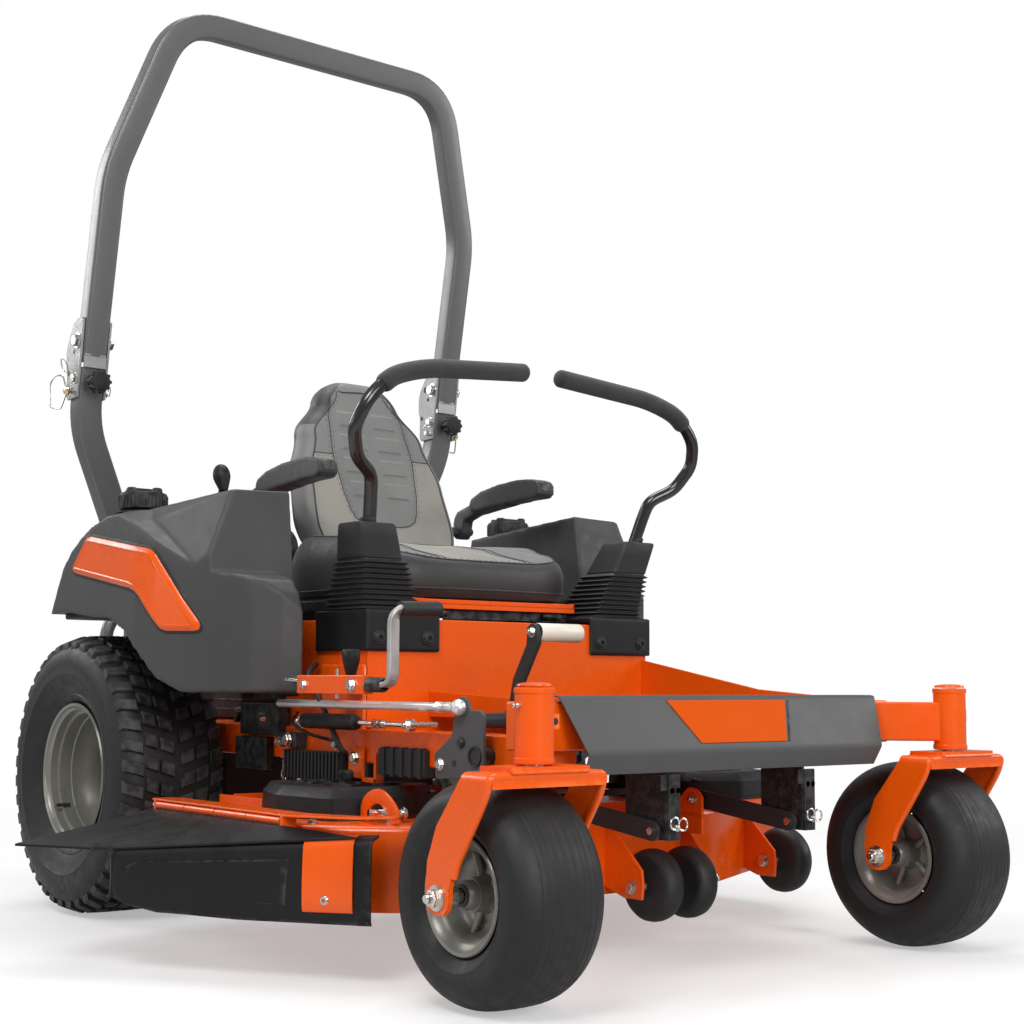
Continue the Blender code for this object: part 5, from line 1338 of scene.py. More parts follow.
def build_cushion():
    outline = cushion_outline()
    centre = CUSHION_MIDDLE

    def reach(at):
        """How far out a point is, as a share of the outline's reach in that direction."""
        furthest = 0.0
        for p, q in zip(outline, outline[1:] + outline[:1]):
            away = Vector((q.y - p.y, p.x - q.x, 0))
            span = away.dot(p - centre)
            if abs(span) > 1e-9:
                furthest = max(furthest, away.dot(Vector((at.x, at.y, 0)) - centre) / span)
        return furthest

    rings = []
    for height, scale in CUSHION_LEVELS:
        ring = []
        for p in outline:
            at = centre + (p - centre) * scale
            crown = 0.008 * max(0.0, (abs(at.x) - 0.13) / 0.12) if height > 0.9 else 0.0
            ring.append((at.x, at.y, 0.632 + (smooth_half(CUSHION_TOP, at.y) - 0.632) * height + crown))
        rings.append(ring)
    cushion = soft_lump("padded_seat_cushion", loft(rings), 0.0050)
    held = []
    for v in cushion.data.vertices:
        at = v.co - DATUM
        on_top = at.z > smooth_half(CUSHION_TOP, at.y) - 0.018
        near_side = abs(abs(at.x) - INSERT_HALF) < 0.0075 and reach(at) < CUSHION_RIM
        near_rim = abs(reach(at) - CUSHION_RIM) < 0.011
        near_middle = abs(at.y + 0.400) < 0.0030 and abs(at.x) < INSERT_HALF
        near_belt = abs(at.z - 0.648) < 0.0028
        if at.z < 0.640 or near_belt or (on_top and (near_side or near_rim or near_middle)):
            held.append(v.index)
    inflate(cushion, held, 4.0, 0.024)
    soften = cushion.modifiers.new("Smooth", "SUBSURF")
    soften.levels = 1
    soften.render_levels = 1
    baked(cushion)
    mesh = cushion.data
    mesh.materials.clear()
    for finish in (VINYL_DARK, VINYL_GREY, VINYL_WARM):
        mesh.materials.append(finish)
    for face in mesh.polygons:
        at = face.center - DATUM
        if face.normal.z > 0.1 and at.z > 0.685 and reach(at) < CUSHION_RIM:
            face.material_index = 2 if abs(at.x) < INSERT_HALF else 1
    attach(cushion, "seat")
    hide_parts("seat_cushion")
    down = (0, 0, -1)
    piping = []
    threads = []
    front = -0.440 - 0.208 * CUSHION_RIM
    for side, _ in SIDES:
        for offset, radius in ((-0.0065, 0.0013), (0.0065, 0.0013)):
            line = spaced([(side * (INSERT_HALF + offset), -0.270, 0.8), (side * (INSERT_HALF + offset), front, 0.8)], 0.006)
            piping += seam(cushion, line, down, radius, 0.0001)
            threads += stitches(cushion, line, down, (side * math.copysign(0.0040, offset), 0, 0))
    line = spaced([(-INSERT_HALF, -0.400, 0.8), (INSERT_HALF, -0.400, 0.8)], 0.006)
    piping += seam(cushion, line, down, 0.0012, 0.0002)
    threads += stitches(cushion, line, down, (0, 0.006, 0))
    rim = []
    for p in spaced([*outline, outline[0]], 0.009):
        at = centre + (p - centre) * CUSHION_RIM
        if at.y < -0.300:
            rim.append((at.x, at.y, 0.8))
    start = max(range(len(rim)), key=lambda i: (Vector(rim[i]) - Vector(rim[i - 1])).length)
    rim = rim[start:] + rim[:start]
    piping += seam(cushion, rim, down, 0.0019, 0.0003)
    inside = [tuple(centre.lerp(Vector((x, y, 0)), 0.962).to_2d()) + (0.8,) for x, y, _ in rim]
    threads += stitches(cushion, inside, down, (0, 0, 0))
    belt = []
    for p in spaced([*outline, outline[0]], 0.012):
        outward = (p - centre).normalized()
        hit = on_surface(cushion, [Vector((p.x, p.y, 0.648)) + outward * 0.10], tuple(-outward), 0.0002)
        belt += hit
    if len(belt) > 20:
        piping.append(sweep(belt, circle(0.0022, 8), (0, 0, 1), loop=True))
    piece("seat_cushion_piping", joined(piping), VINYL_DARK, "seat", sharp=0)
    piece("seat_cushion_thread", joined(threads), THREAD, "seat", sharp=0)
    shell = plate([tuple((centre + (p - centre) * 0.935).to_2d()) for p in outline], "z", 0.6292, 0.6400)
    piece("seat_cushion_base", shell, BLACK, "seat", bevel=0.003, sharp=50)
    skirt = [block((side * 0.206, side * 0.244), (-0.590, -0.275), (0.6045, 0.6310)) for side, _ in SIDES]
    piece("seat_side_skirts", joined(skirt), BLACK, "seat", bevel=0.006, segments=3)


BACK_LEVELS = ((0.738, 0.188, 0.100), (0.800, 0.200, 0.100), (0.900, 0.194, 0.095), (1.000, 0.165, 0.088), (1.080, 0.110, 0.078),
               (1.137, 0.066, 0.060))


def back_front_y(z):
    return -0.305 + (z - 0.738) * 0.38


def build_back():
    half_knots = [(z, half - 0.006) for z, half, _ in BACK_LEVELS]
    deep_knots = [(z, depth - 0.010) for z, _, depth in BACK_LEVELS]
    rings = []
    levels = [0.744, 0.750] + [0.762 + i * 0.016 for i in range(23)] + [1.122, 1.129]
    for z in levels:
        half = smooth_half(half_knots, z)
        depth = smooth_half(deep_knots, z)
        pinch = 1.0
        for edge, size in ((0.744, 0.90), (0.750, 0.96), (1.122, 0.90), (1.129, 0.72)):
            if abs(z - edge) < 1e-6:
                pinch = size
        ring = []
        for u, v in soft_box(half * pinch, depth / 2 * pinch, min(0.034, depth * 0.42), 5):
            hollow = 0.016 * (1 - min(1.0, abs(u) / (half * 0.78)) ** 2) if v < 0 else 0.0
            hollow *= smooth_half([(0.76, 0.0), (0.84, 1.0), (1.0, 0.8), (1.10, 0.0)], z)
            ring.append((u, back_front_y(z) + depth / 2 + 0.005 + v + hollow, z))
        rings.append(ring)
    back = soft_lump("padded_seat_back", loft(rings), 0.0050)

    def panel_half(z):
        return smooth_half([(0.798, 0.0), (0.800, 0.040), (0.806, 0.064), (0.816, 0.078), (0.84, 0.088), (0.88, 0.096), (0.95, 0.103),
                            (1.04, 0.096), (1.10, 0.062), (1.115, 0.040)], z)

    def rim_half(z):
        return smooth_half(half_knots, z) - 0.022

    held = []
    for v in back.data.vertices:
        at = v.co - DATUM
        in_front = at.y < back_front_y(at.z) + 0.045
        near = min(abs(abs(at.x) - panel_half(at.z)), abs(abs(at.x) - rim_half(at.z)))
        shoulder = abs(at.z - 0.955) < 0.0030 and panel_half(at.z) < abs(at.x) < rim_half(at.z)
        if at.z < 0.752 or not in_front or near < 0.0030 or shoulder:
            held.append(v.index)
    inflate(back, held, 4.0, 0.022)
    soften = back.modifiers.new("Smooth", "SUBSURF")
    soften.levels = 1
    soften.render_levels = 1
    baked(back)
    mesh = back.data
    mesh.materials.clear()
    for finish in (VINYL_DARK, VINYL_GREY, VINYL_WARM):
        mesh.materials.append(finish)
    pads = []
    for row in range(4):
        z = 0.880 + row * 0.053
        wide = panel_half(z) - 0.022
        for way in (-1, 1):
            pads.append((way * (wide * 0.5 + 0.006), z, wide * 0.5 - 0.006, 0.0175))
    for vertex in mesh.vertices:
        at = vertex.co - DATUM
        if at.y > back_front_y(at.z) + 0.030:
            continue
        for x, z, half, tall in pads:
            inside = min(half - abs(at.x - x), tall - abs(at.z - z))
            if inside > 0:
                vertex.co.y -= 0.0026 * min(1.0, inside / 0.0030)
    for face in mesh.polygons:
        at = face.center - DATUM
        if at.y > back_front_y(at.z) + smooth_half([(0.90, 0.062), (1.10, 0.034)], at.z):
            continue
        outside = abs(at.x) - rim_half(at.z)
        face.material_index = 0 if outside > 0 and at.z > 1.02 else 1
        if outside < 0 and at.z < 0.955 and abs(at.x) > panel_half(at.z):
            face.material_index = 2
    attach(back, "seat")
    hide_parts("seat_back")
    ahead = (0, 1, 0)
    piping = []
    threads = []
    heights = [0.765 + i * 0.006 for i in range(59)]
    for side, _ in SIDES:
        rim = [(side * rim_half(z), -0.5, z) for z in heights if z < 1.105]
        piping += seam(back, rim, ahead, 0.0018, 0.0004)
        panel = [(side * panel_half(z), -0.5, z) for z in [0.800, 0.8015, 0.804, 0.808, 0.814, 0.820] + heights if 0.799 < z < 1.112]
        panel = sorted(panel, key=lambda p: p[2])
        piping += seam(back, panel, ahead, 0.0012, 0.0001)
        threads += stitches(back, panel, ahead, (side * 0.006, 0, 0))
        threads += stitches(back, panel, ahead, (-side * 0.006, 0, 0))
        shoulder = spaced([(side * panel_half(0.955), -0.5, 0.955), (side * rim_half(0.955), -0.5, 0.955)], 0.006)
        piping += seam(back, shoulder, ahead, 0.0012, 0.0001)
        threads += stitches(back, shoulder, ahead, (0, 0, -0.006))
    low = spaced([(-0.040, -0.5, 0.800), (0.040, -0.5, 0.800)], 0.005)
    piping += seam(back, low, ahead, 0.0012, 0.0001)
    top = [(x * 0.005, -0.5, 1.106 - abs(x) * 0.0004) for x in range(-10, 11)]
    piping += seam(back, top, ahead, 0.0018, 0.0004)
    piece("seat_back_piping", joined(piping), VINYL_DARK, "seat", sharp=0)
    piece("seat_back_thread", joined(threads), THREAD, "seat", sharp=0)
    shell = []
    for z in [0.770 + i * 0.020 for i in range(17)]:
        half = smooth_half(half_knots, z) - 0.020
        deep = back_front_y(z) + smooth_half(deep_knots, z) + 0.0040
        ring = [(half * u, deep - 0.010 * abs(u) ** 3, z) for u in (-1, -0.8, -0.4, 0, 0.4, 0.8, 1)]
        ring += [(x, y - 0.010, z) for x, y, z in reversed(ring)]
        shell.append(ring)
    piece("seat_back_shell", loft(shell), BLACK, "seat", sharp=35)
    bracket = []
    for side, _ in SIDES:
        bracket.append(plate([(-0.215, 0.640), (-0.215, 0.760), (-0.190, 0.860), (-0.160, 0.860), (-0.178, 0.640)], "x",
                             side * 0.120, side * 0.145))
    bracket.append(block((-0.150, 0.150), (-0.262, -0.190), (0.632, 0.642)))
    piece("seat_back_brackets", joined(bracket), DARK, "seat", bevel=0.0015)


def build_armrests():
    pad = [(-0.478, 0.874), (-0.477, 0.892), (-0.470, 0.902), (-0.450, 0.908), (-0.400, 0.911), (-0.330, 0.906), (-0.270, 0.896),
           (-0.235, 0.882), (-0.228, 0.868), (-0.235, 0.856), (-0.260, 0.852), (-0.320, 0.858), (-0.420, 0.865), (-0.465, 0.866)]
    arm = [(-0.360, 0.872), (-0.240, 0.876), (-0.172, 0.858), (-0.160, 0.842), (-0.157, 0.812), (-0.165, 0.795), (-0.190, 0.793),
           (-0.199, 0.806), (-0.203, 0.834), (-0.240, 0.845), (-0.300, 0.852), (-0.360, 0.858)]
    for side, name in SIDES:
        near, far = side * 0.2545, side * 0.300
        bm = moulded([plate(pad, "x", near, far), plate(arm, "x", side * 0.262, side * 0.290)], 0.0032, 7)
        piece(f"{name}_padded_armrest", bm, VINYL_DARK, f"{name}_armrest", sharp=0, stands_for=[f"{name}_armrest"])
        cap = lathe([(0, 0), (0.0085, 0), (0.0085, 0.0025), (0.0065, 0.0035), (0, 0.0035)], (far - side * 0.0012, -0.178, 0.812), (side, 0, 0), 28)
        piece(f"{name}_armrest_pivot_cap", cap, GREY, f"{name}_armrest", sharp=40)
        end = []
        for y, grow in ((-0.4755, 0.8), (-0.4790, 0.72)):
            end.append([(side * 0.277 + u * grow, y, 0.8905 + v * grow) for u, v in soft_box(0.0175, 0.0125, 0.006, 5)])
        piece(f"{name}_armrest_end_cap", loft(end), GREY, f"{name}_armrest", sharp=40)
        shapes = [rod((side * 0.196, -0.178, 0.810), (near + side * 0.004, -0.178, 0.810), 0.0110, 28)]
        shapes.append(lathe([(0, 0), (0.0180, 0), (0.0180, 0.004), (0.0130, 0.010), (0, 0.010)], (side * 0.197, -0.178, 0.810), (side, 0, 0), 28))
        piece(f"{name}_armrest_spindle", joined(shapes), BLACK, f"{name}_armrest", sharp=40)


def build_pan():
    shapes = [
        block((-0.200, 0.200), (-0.660, -0.240), (0.6160, 0.6190)),
        block((-0.200, 0.200), (-0.6600, -0.6565), (0.6080, 0.6260)),
        block((-0.200, -0.1965), (-0.6600, -0.240), (0.6160, 0.6275)),
        block((0.1965, 0.200), (-0.6600, -0.240), (0.6160, 0.6275)),
        block((-0.200, 0.200), (-0.2435, -0.240), (0.6160, 0.6275)),
    ]
    for side, _ in SIDES:
        shapes.append(block((side * 0.160, side * 0.190), (-0.640, -0.260), (0.6185, 0.6280)))
    piece("seat_pan_pressing", joined(shapes), ORANGE, "seat_base", bevel=0.0011, segments=2, stands_for=["seat_pan"])
    rails = []
    for side, _ in SIDES:
        rails.append(block((side * 0.150, side * 0.186), (-0.600, -0.280), (0.6281, 0.6310)))
    piece("seat_slide_runners", joined(rails), ZINC, "seat", bevel=0.0008)
    # painted shadow: a black strip just behind the pan's front lip stands for the shade in the gap under it; two short
    # rods go with it
    under = [block((-0.190, 0.190), (-0.648, -0.640), (0.5900, 0.6155))]
    for side, _ in SIDES:
        under.append(rod((side * 0.120, -0.650, 0.600), (side * 0.168, -0.650, 0.600), 0.0075, 24))
    piece("seat_pan_painted_shadow_strip", joined(under), BLACK, "seat_base", sharp=40)
    handle = eased([(0.215, -0.600, 0.6235), (0.215, -0.645, 0.6235), (0.180, -0.652, 0.6235)], 0.02, 5)
    fit("seat", [tube(handle, 0.0032, 12)], "dark")


build_cushion()
build_back()
build_armrests()
build_pan()

# ---------------------------------------------------------------- steering levers

SWING_Z = 0.733


def lever_line(side, z):
    rise = z - 0.450
    return Vector((side * (0.255 + rise * 0.249), -0.605 - rise * 0.306, z))


def build_bellows(side, name):
    """A rubber boot: a smooth tapered cap above a stack of square folds."""
    knots = [(0.6005, 0.0640), (0.650, 0.0570), (0.690, 0.0500), (0.6935, 0.0455), (0.757, 0.0375)]

    def half_at(z):
        for (a, low), (b, high) in zip(knots, knots[1:]):
            if z <= b:
                return low + (high - low) * (z - a) / (b - a)
        return knots[-1][1]

    levels = [(0.6010, 0.0010), (0.6035, 0.0010)]
    folds = 9
    start, end = 0.6045, 0.6900
    pitch = (end - start) / folds
    for i in range(folds):
        low = start + i * pitch
        levels += [(low, -0.0050), (low + pitch * 0.16, -0.0052), (low + pitch * 0.46, 0.0006), (low + pitch * 0.54, 0.0010),
                   (low + pitch * 0.62, 0.0006), (low + pitch * 0.92, -0.0050)]
    levels += [(0.6905, -0.0052), (0.6925, -0.0035), (0.6940, 0.0000), (0.7000, -0.0002), (0.7300, 0.0), (0.7520, 0.0),
               (0.7558, -0.0018), (0.7570, -0.0048)]
    rings = []
    for z, bulge in levels:
        line = lever_line(side, z)
        half = half_at(z) + bulge
        shift = 0.012 if z < 0.6925 else 0.009
        out = max(half - shift, 0.0365 + bulge * 0.5)
        inward = -half - shift
        middle_x = (out + inward) / 2
        half_x = (out - inward) / 2
        corner = 0.008 if z > 0.6925 else 0.005
        ring = []
        for u, v in soft_box(half_x, half, corner, 3):
            ring.append((line.x + side * (middle_x + u), line.y + 0.012 + v, z))
        rings.append(ring)
    top = []
    line = lever_line(side, 0.7570)
    for u, v in soft_box(0.0145, 0.0145, 0.0140, 3):
        top.append((line.x + side * u, line.y + v, 0.7572))
    rings.append(top)
    collar = []
    for z, radius in ((0.7575, 0.0150), (0.7640, 0.0150), (0.7660, 0.0140)):
        line = lever_line(side, z)
        collar.append([(line.x + side * u, line.y + v, z) for u, v in soft_box(radius, radius, radius - 0.0005, 3)])
    boot = piece(f"{name}_bellows", loft(rings + collar), RUBBER, None, sharp=40, stands_for=[f"{name}_boot"])
    line = lever_line(side, 0.6900)
    low = Vector((line.x - side * 0.012, line.y + 0.012, 0.6020)) + DATUM
    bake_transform(boot)


def build_steering_lever(side, name):
    path = [lever_line(side, SWING_Z - 0.008)]
    path += [Vector((side * x, y, z)) for x, y, z in
             ((0.338, -0.716, 0.810), (0.345, -0.728, 0.842), (0.393, -0.752, 0.868), (0.417, -0.778, 0.915), (0.405, -0.796, 0.958),
              (0.385, -0.800, 0.984), (0.361, -0.8005, 1.004))]
    bar = tube(eased(path, 0.018, 6), 0.0125, 28)
    piece(f"{name}_bent_lever", bar, LEVER, f"{name}_lever", sharp=50, stands_for=[f"{name}_lever"])
    grip = [Vector((side * x, y, z)) for x, y, z in
            ((0.374, -0.8004, 0.9925), (0.345, -0.801, 1.016), (0.272, -0.800, 1.036), (0.036, -0.794, 1.056))]
    smooth = spaced(eased(grip, 0.035, 8), 0.004)
    sections = []
    count = len(smooth)
    lengths = [0.0]
    for near, far in zip(smooth, smooth[1:]):
        lengths.append(lengths[-1] + (far - near).length)
    total = lengths[-1]
    for i, point in enumerate(smooth):
        before = smooth[max(i - 1, 0)]
        after = smooth[min(i + 1, count - 1)]
        across, over = frame_of(after - before)
        done = lengths[i]
        left = total - done
        radius = 0.0175
        if left < 0.012:
            radius *= math.sqrt(max(0.04, 1 - ((0.012 - left) / 0.0125) ** 2))
        if done < 0.006:
            radius = 0.0145 + 0.003 * done / 0.006
        sections.append([point + across * u + over * v for u, v in circle(radius, 28)])
    piece(f"{name}_foam_grip", loft(sections), FOAM, f"{name}_lever", sharp=50, stands_for=[f"{name}_grip"])


def build_brake_lever():
    foot, knob = Vector((-0.332, -0.100, 0.500)), Vector((-0.332, -0.150, 0.888))
    piece("park_brake_rod", joined([tube([foot, knob], 0.0058, 16), lathe([(0, -0.012), (0.013, -0.012), (0.013, 0.012), (0, 0.012)], foot, (1, 0, 0), 24)]),
          BLACK, "brake_lever", sharp=50, stands_for=["brake_lever"])
    up = Vector((0, 0.32, 1)).normalized()
    profile = [(0, -0.032), (0.0085, -0.030), (0.0110, -0.022), (0.0150, -0.010), (0.0178, 0.000), (0.0180, 0.008), (0.0160, 0.018),
               (0.0110, 0.026), (0.0055, 0.0295), (0, 0.0302)]
    piece("park_brake_knob", lathe(spline(profile[1:-1], 3), knob + up * 0.002, up, 40), BLACK, "brake_lever", sharp=0)
    gate = [soft_ring((-0.332, -0.166, 0.812), 0.020, 0.036, 0.009, 0.0), soft_ring((-0.332, -0.166, 0.812), 0.020, 0.036, 0.009, 0.004)]
    piece("park_brake_gate", loft(gate), RUBBER, "chassis", bevel=0.0015, sharp=40)


def soft_ring(at, half_x, half_y, corner, lift):
    return [(at[0] + u, at[1] + v, at[2] + lift) for u, v in soft_box(half_x, half_y, corner, 4)]


def build_lock_lever():
    path = eased([(-0.451, -0.8855, 0.4635), (-0.451, -0.957, 0.4635), (-0.451, -0.957, 0.586), (-0.395, -0.957, 0.590)], 0.022, 7)
    bar = [sweep(path, soft_box(0.0105, 0.0048, 0.0030), (0, 1, 1))]
    grip = lathe([(0, -0.044), (0.0125, -0.044), (0.0130, -0.040), (0.0130, 0.030), (0.0115, 0.036), (0, 0.037)], (-0.393, -0.957, 0.590), (1, 0, 0.02), 32)
    piece("lift_lock_grip", grip, RUBBER, "lock_lever", sharp=40)
    piece("lift_lock_lever", joined(bar), ALLOY, "lock_lever", sharp=50, stands_for=["lock_lever"])
    sleeve = lathe([(0.0088, 0), (0.0125, 0), (0.0125, 0.040), (0.0105, 0.044), (0.0088, 0.044)], (-0.451, -0.890, 0.4635), (0, -1, 0), 28)
    piece("lift_lock_sleeve", sleeve, BLACK, "lock_lever", sharp=40)


for side, name in SIDES:
    build_bellows(side, name)
    build_steering_lever(side, name)
build_brake_lever()
build_lock_lever()

# ---------------------------------------------------------------- cutting deck

DECK_PLAN = [(-0.470, -0.985), (-0.420, -1.020), (0.250, -1.005), (0.450, -0.905), (0.620, -0.850), (0.700, -0.720), (0.700, -0.560),
             (0.640, -0.440), (0.500, -0.370), (-0.480, -0.370), (-0.600, -0.440), (-0.600, -0.850)]
SPINDLES = (("right", -0.385, -0.680), ("centre", 0.045, -0.760), ("left", 0.475, -0.660))


def build_deck():
    plan = eased_plan(DECK_PLAN, 0.045)
    rings = []
    for inset, z in ((0.016, 0.2378), (0.007, 0.2366), (0.002, 0.2320), (0.000, 0.2260), (0.000, 0.1060), (-0.0004, 0.1010), (0.0042, 0.1002),
                     (0.0044, 0.1060), (0.0044, 0.2240), (0.0070, 0.2325), (0.0160, 0.2335)):
        rings.append([(x, y, z) for x, y in plan_inset(plan, inset)])
    bm = loft(rings)
    deck = piece("stamped_mower_deck", bm, ORANGE, None, sharp=0)
    cutters = [block((-0.700, -0.520), (-0.860, -0.470), (0.080, 0.224))]
    for _, x, y in SPINDLES:
        cutters.append(rod((x, y, 0.210), (x, y, 0.260), 0.046, 40))
    for i, cut in enumerate(cutters):
        cutter = piece(f"deck_cut_{i}", cut, ORANGE, None, sharp=0)
        boolean = deck.modifiers.new("Cut", "BOOLEAN")
        boolean.operation = "DIFFERENCE"
        boolean.solver = "EXACT"
        boolean.object = cutter
        baked(deck)
        bpy.data.objects.remove(cutter)
    deck.data.set_sharp_from_angle(angle=math.radians(38))
    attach(deck, "deck")
    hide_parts("deck_shell")
    shapes = []
    shapes.append(block((-0.430, 0.500), (-0.412, -0.400), (0.2375, 0.2560)))
    shapes.append(block((-0.360, 0.330), (-0.952, -0.944), (0.2375, 0.2540)))
    for x in (-0.470, 0.560):
        shapes.append(block((x, x + 0.006), (-0.620, -0.420), (0.2375, 0.2580)))
    bracket = [(-0.960, 0.232), (-1.035, 0.215), (-1.105, 0.150), (-1.108, 0.125), (-1.105, 0.100), (-1.060, 0.100), (-0.960, 0.130)]
    shapes.append(plate(bracket, "x", -0.034, -0.028))
    shapes.append(plate([(y + 0.100, z) for y, z in bracket], "x", 0.408, 0.414))
    shapes.append(plate([(y + 0.022, z) for y, z in bracket], "x", 0.1545, 0.1605))
    lug = [(-1.080, 0.230), (-1.080, 0.266), (-1.072, 0.276), (-1.060, 0.281), (-1.045, 0.281), (-1.034, 0.272), (-0.990, 0.230)]
    for side, _ in SIDES:
        x = side * 0.160 - 0.0225
        shapes.append(plate(lug, "x", x, x + 0.006))
        shapes.append(block((x, x + 0.006), (-1.080, -0.980), (0.200, 0.237)))
        fit("deck", nut_and_end((x, -1.058, 0.262), (-1, 0, 0), 0.009))
        fit("deck", [rod((x, -1.058, 0.262), (x + 0.024, -1.058, 0.262), 0.006, 20)])
    piece("deck_ribs_and_brackets", joined(shapes), ORANGE, "deck", bevel=0.0012, segments=2)
    for x, y in ((-0.440, -0.940), (-0.300, -0.975), (0.150, -0.975), (0.360, -0.925), (0.560, -0.800), (0.620, -0.560), (0.480, -0.440),
                 (0.0, -0.430), (-0.300, -0.430), (-0.520, -0.520), (-0.540, -0.860)):
        fit("deck", bolt((x, y, 0.2378), (0, 0, 1), 0.008))
    for y, z in ((-0.990, 0.195), (-0.985, 0.160)):
        fit("deck", bolt((-0.034, y, z), (-1, 0, 0), 0.008))
        fit("deck", bolt((0.408, y + 0.100, z), (-1, 0, 0), 0.008))


def build_belt_covers():
    for way, mid, name in ((1, -0.385, "right"), (-1, 0.475, "left")):
        plan = [(0.100, -0.565), (0.142, -0.640), (0.124, -0.822), (0.020, -0.880), (-0.112, -0.850), (-0.132, -0.700), (-0.086, -0.575)]
        outline = eased_plan([(mid + way * x, y) for x, y in plan], 0.010, 3)
        rings = []
        for inset, z in ((-0.0050, 0.2386), (-0.0050, 0.2410), (0.0000, 0.2430), (0.0015, 0.2740), (0.0025, 0.2755), (0.0145, 0.2900),
                         (0.0160, 0.2910), (0.0230, 0.2916), (0.0250, 0.2900)):
            rings.append([(x, y, z) for x, y in plan_inset(outline, inset)])
        middle_x = sum(x for x, _, _ in rings[-1]) / len(rings[-1])
        middle_y = sum(y for _, y, _ in rings[-1]) / len(rings[-1])
        rings.append([(middle_x + (x - middle_x) * 0.3, middle_y + (y - middle_y) * 0.3, 0.2898) for x, y, _ in rings[-1]])
        shapes = [loft(rings)]
        for i in range(4):
            y = -0.640 - i * 0.052
            shapes.append(block((mid - 0.062, mid + 0.062), (y - 0.006, y), (0.2890, 0.2935)))
        piece(f"{name}_belt_guard", joined(shapes), BLACK, "deck", sharp=22, stands_for=[f"{name}_belt_cover"])
        for x, y in ((0.105, -0.600), (0.105, -0.835), (-0.100, -0.800)):
            fit("deck", socket_screw((mid + way * x, y, 0.2760), (0, 0, 1), 0.009), "dark")
    knob = [lathe([(0, 0), (0.012, 0), (0.014, 0.006), (0.014, 0.018), (0.010, 0.022), (0, 0.022)], (-0.385, -0.720, 0.2915), (0, 0, 1), 24)]
    piece("belt_guard_knob", joined(knob), BLACK, "deck", sharp=40)


def build_blades():
    """High-lift blades lying along x, each with its spindle, hub and the pulley above the deck."""
    bottom = middle("centre_blade").z - (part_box("centre_blade")[1][2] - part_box("centre_blade")[0][2]) / 2 + 0.012
    low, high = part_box("centre_blade")
    half = (high[0] - low[0]) / 2 - 0.001
    for name, x, y in SPINDLES:
        shapes = []
        for way in (-1, 1):
            stations = []
            for s in (0.0, 0.25, 0.56, 0.66, 0.82, 1.0):
                lift = 0.016 * max(0.0, (s - 0.60) / 0.40)
                edge = 0.004 if s > 0.56 else 0.0
                ring = []
                for u, v, raised in ((-0.026, 0.0, 0), (-0.026 + edge, 0.0052, 0), (0.014, 0.0052, 0), (0.0265, 0.0052, 1), (0.0265, 0.0, 1), (0.014, 0.0, 0)):
                    ring.append((x + way * s * half, y + way * u, bottom + v + raised * lift))
                stations.append(ring)
            shapes.append(loft(stations))
        piece(f"{name}_cutting_blade", joined(shapes), HOT, f"{name}_blade", bevel=0.0005, segments=2, sharp=30)
        spindle = [(0, bottom - 0.011), (0.0150, bottom - 0.010), (0.0160, bottom + 0.004), (0.0345, bottom + 0.006), (0.0345, bottom + 0.012),
                   (0.0275, 0.203), (0.0160, 0.206), (0.0160, 0.2465), (0.0540, 0.2475), (0.0545, 0.2500), (0.0450, 0.2545), (0.0450, 0.2575),
                   (0.0545, 0.2620), (0.0540, 0.2645), (0.0220, 0.2648), (0.0150, 0.2700), (0, 0.2715)]
        piece(f"{name}_blade_spindle", lathe(spindle, (x, y, 0), (0, 0, 1), 56), ALLOY, f"{name}_blade", sharp=40,
              stands_for=[f"{name}_blade"])
        housing = [(0.0465, 0.2385), (0.0660, 0.2385), (0.0660, 0.2420), (0.0480, 0.2440), (0.0465, 0.2440)]
        piece(f"{name}_spindle_flange", lathe(housing, (x, y, 0), (0, 0, 1), 48), CASTING, "deck", sharp=40)
        for i in range(6):
            turn = 2 * math.pi * i / 6 + 0.3
            fit("deck", bolt((x + 0.0585 * math.cos(turn), y + 0.0585 * math.sin(turn), 0.2418), (0, 0, 1), 0.006))
    belt = belt_path([(x, y, 0.0475, 1) for _, x, y in (SPINDLES[0], SPINDLES[2], SPINDLES[1])])
    piece("deck_drive_belt", sweep([(x, y, 0.2560) for x, y in belt], [(-0.0032, -0.0045), (0.0032, -0.0060), (0.0032, 0.0060), (-0.0032, 0.0045)],
                                   (0, 0, 1), loop=True), BELT, "deck", sharp=40)


def belt_path(pulleys):
    """A belt's closed path round pulleys given as (x, y, radius, turn), in counter-clockwise order."""
    count = len(pulleys)
    centre = (sum(p[0] for p in pulleys) / count, sum(p[1] for p in pulleys) / count)
    order = sorted(pulleys, key=lambda p: math.atan2(p[1] - centre[1], p[0] - centre[0]))
    path = []
    for i, (x, y, r, _) in enumerate(order):
        before, after = order[i - 1], order[(i + 1) % count]
        first = math.atan2(y - before[1], x - before[0]) - math.pi / 2
        second = math.atan2(after[1] - y, after[0] - x) - math.pi / 2
        while second < first:
            second += 2 * math.pi
        steps = 14
        for k in range(steps + 1):
            turn = first + (second - first) * k / steps
            path.append((x + r * math.cos(turn), y + r * math.sin(turn)))
    return path


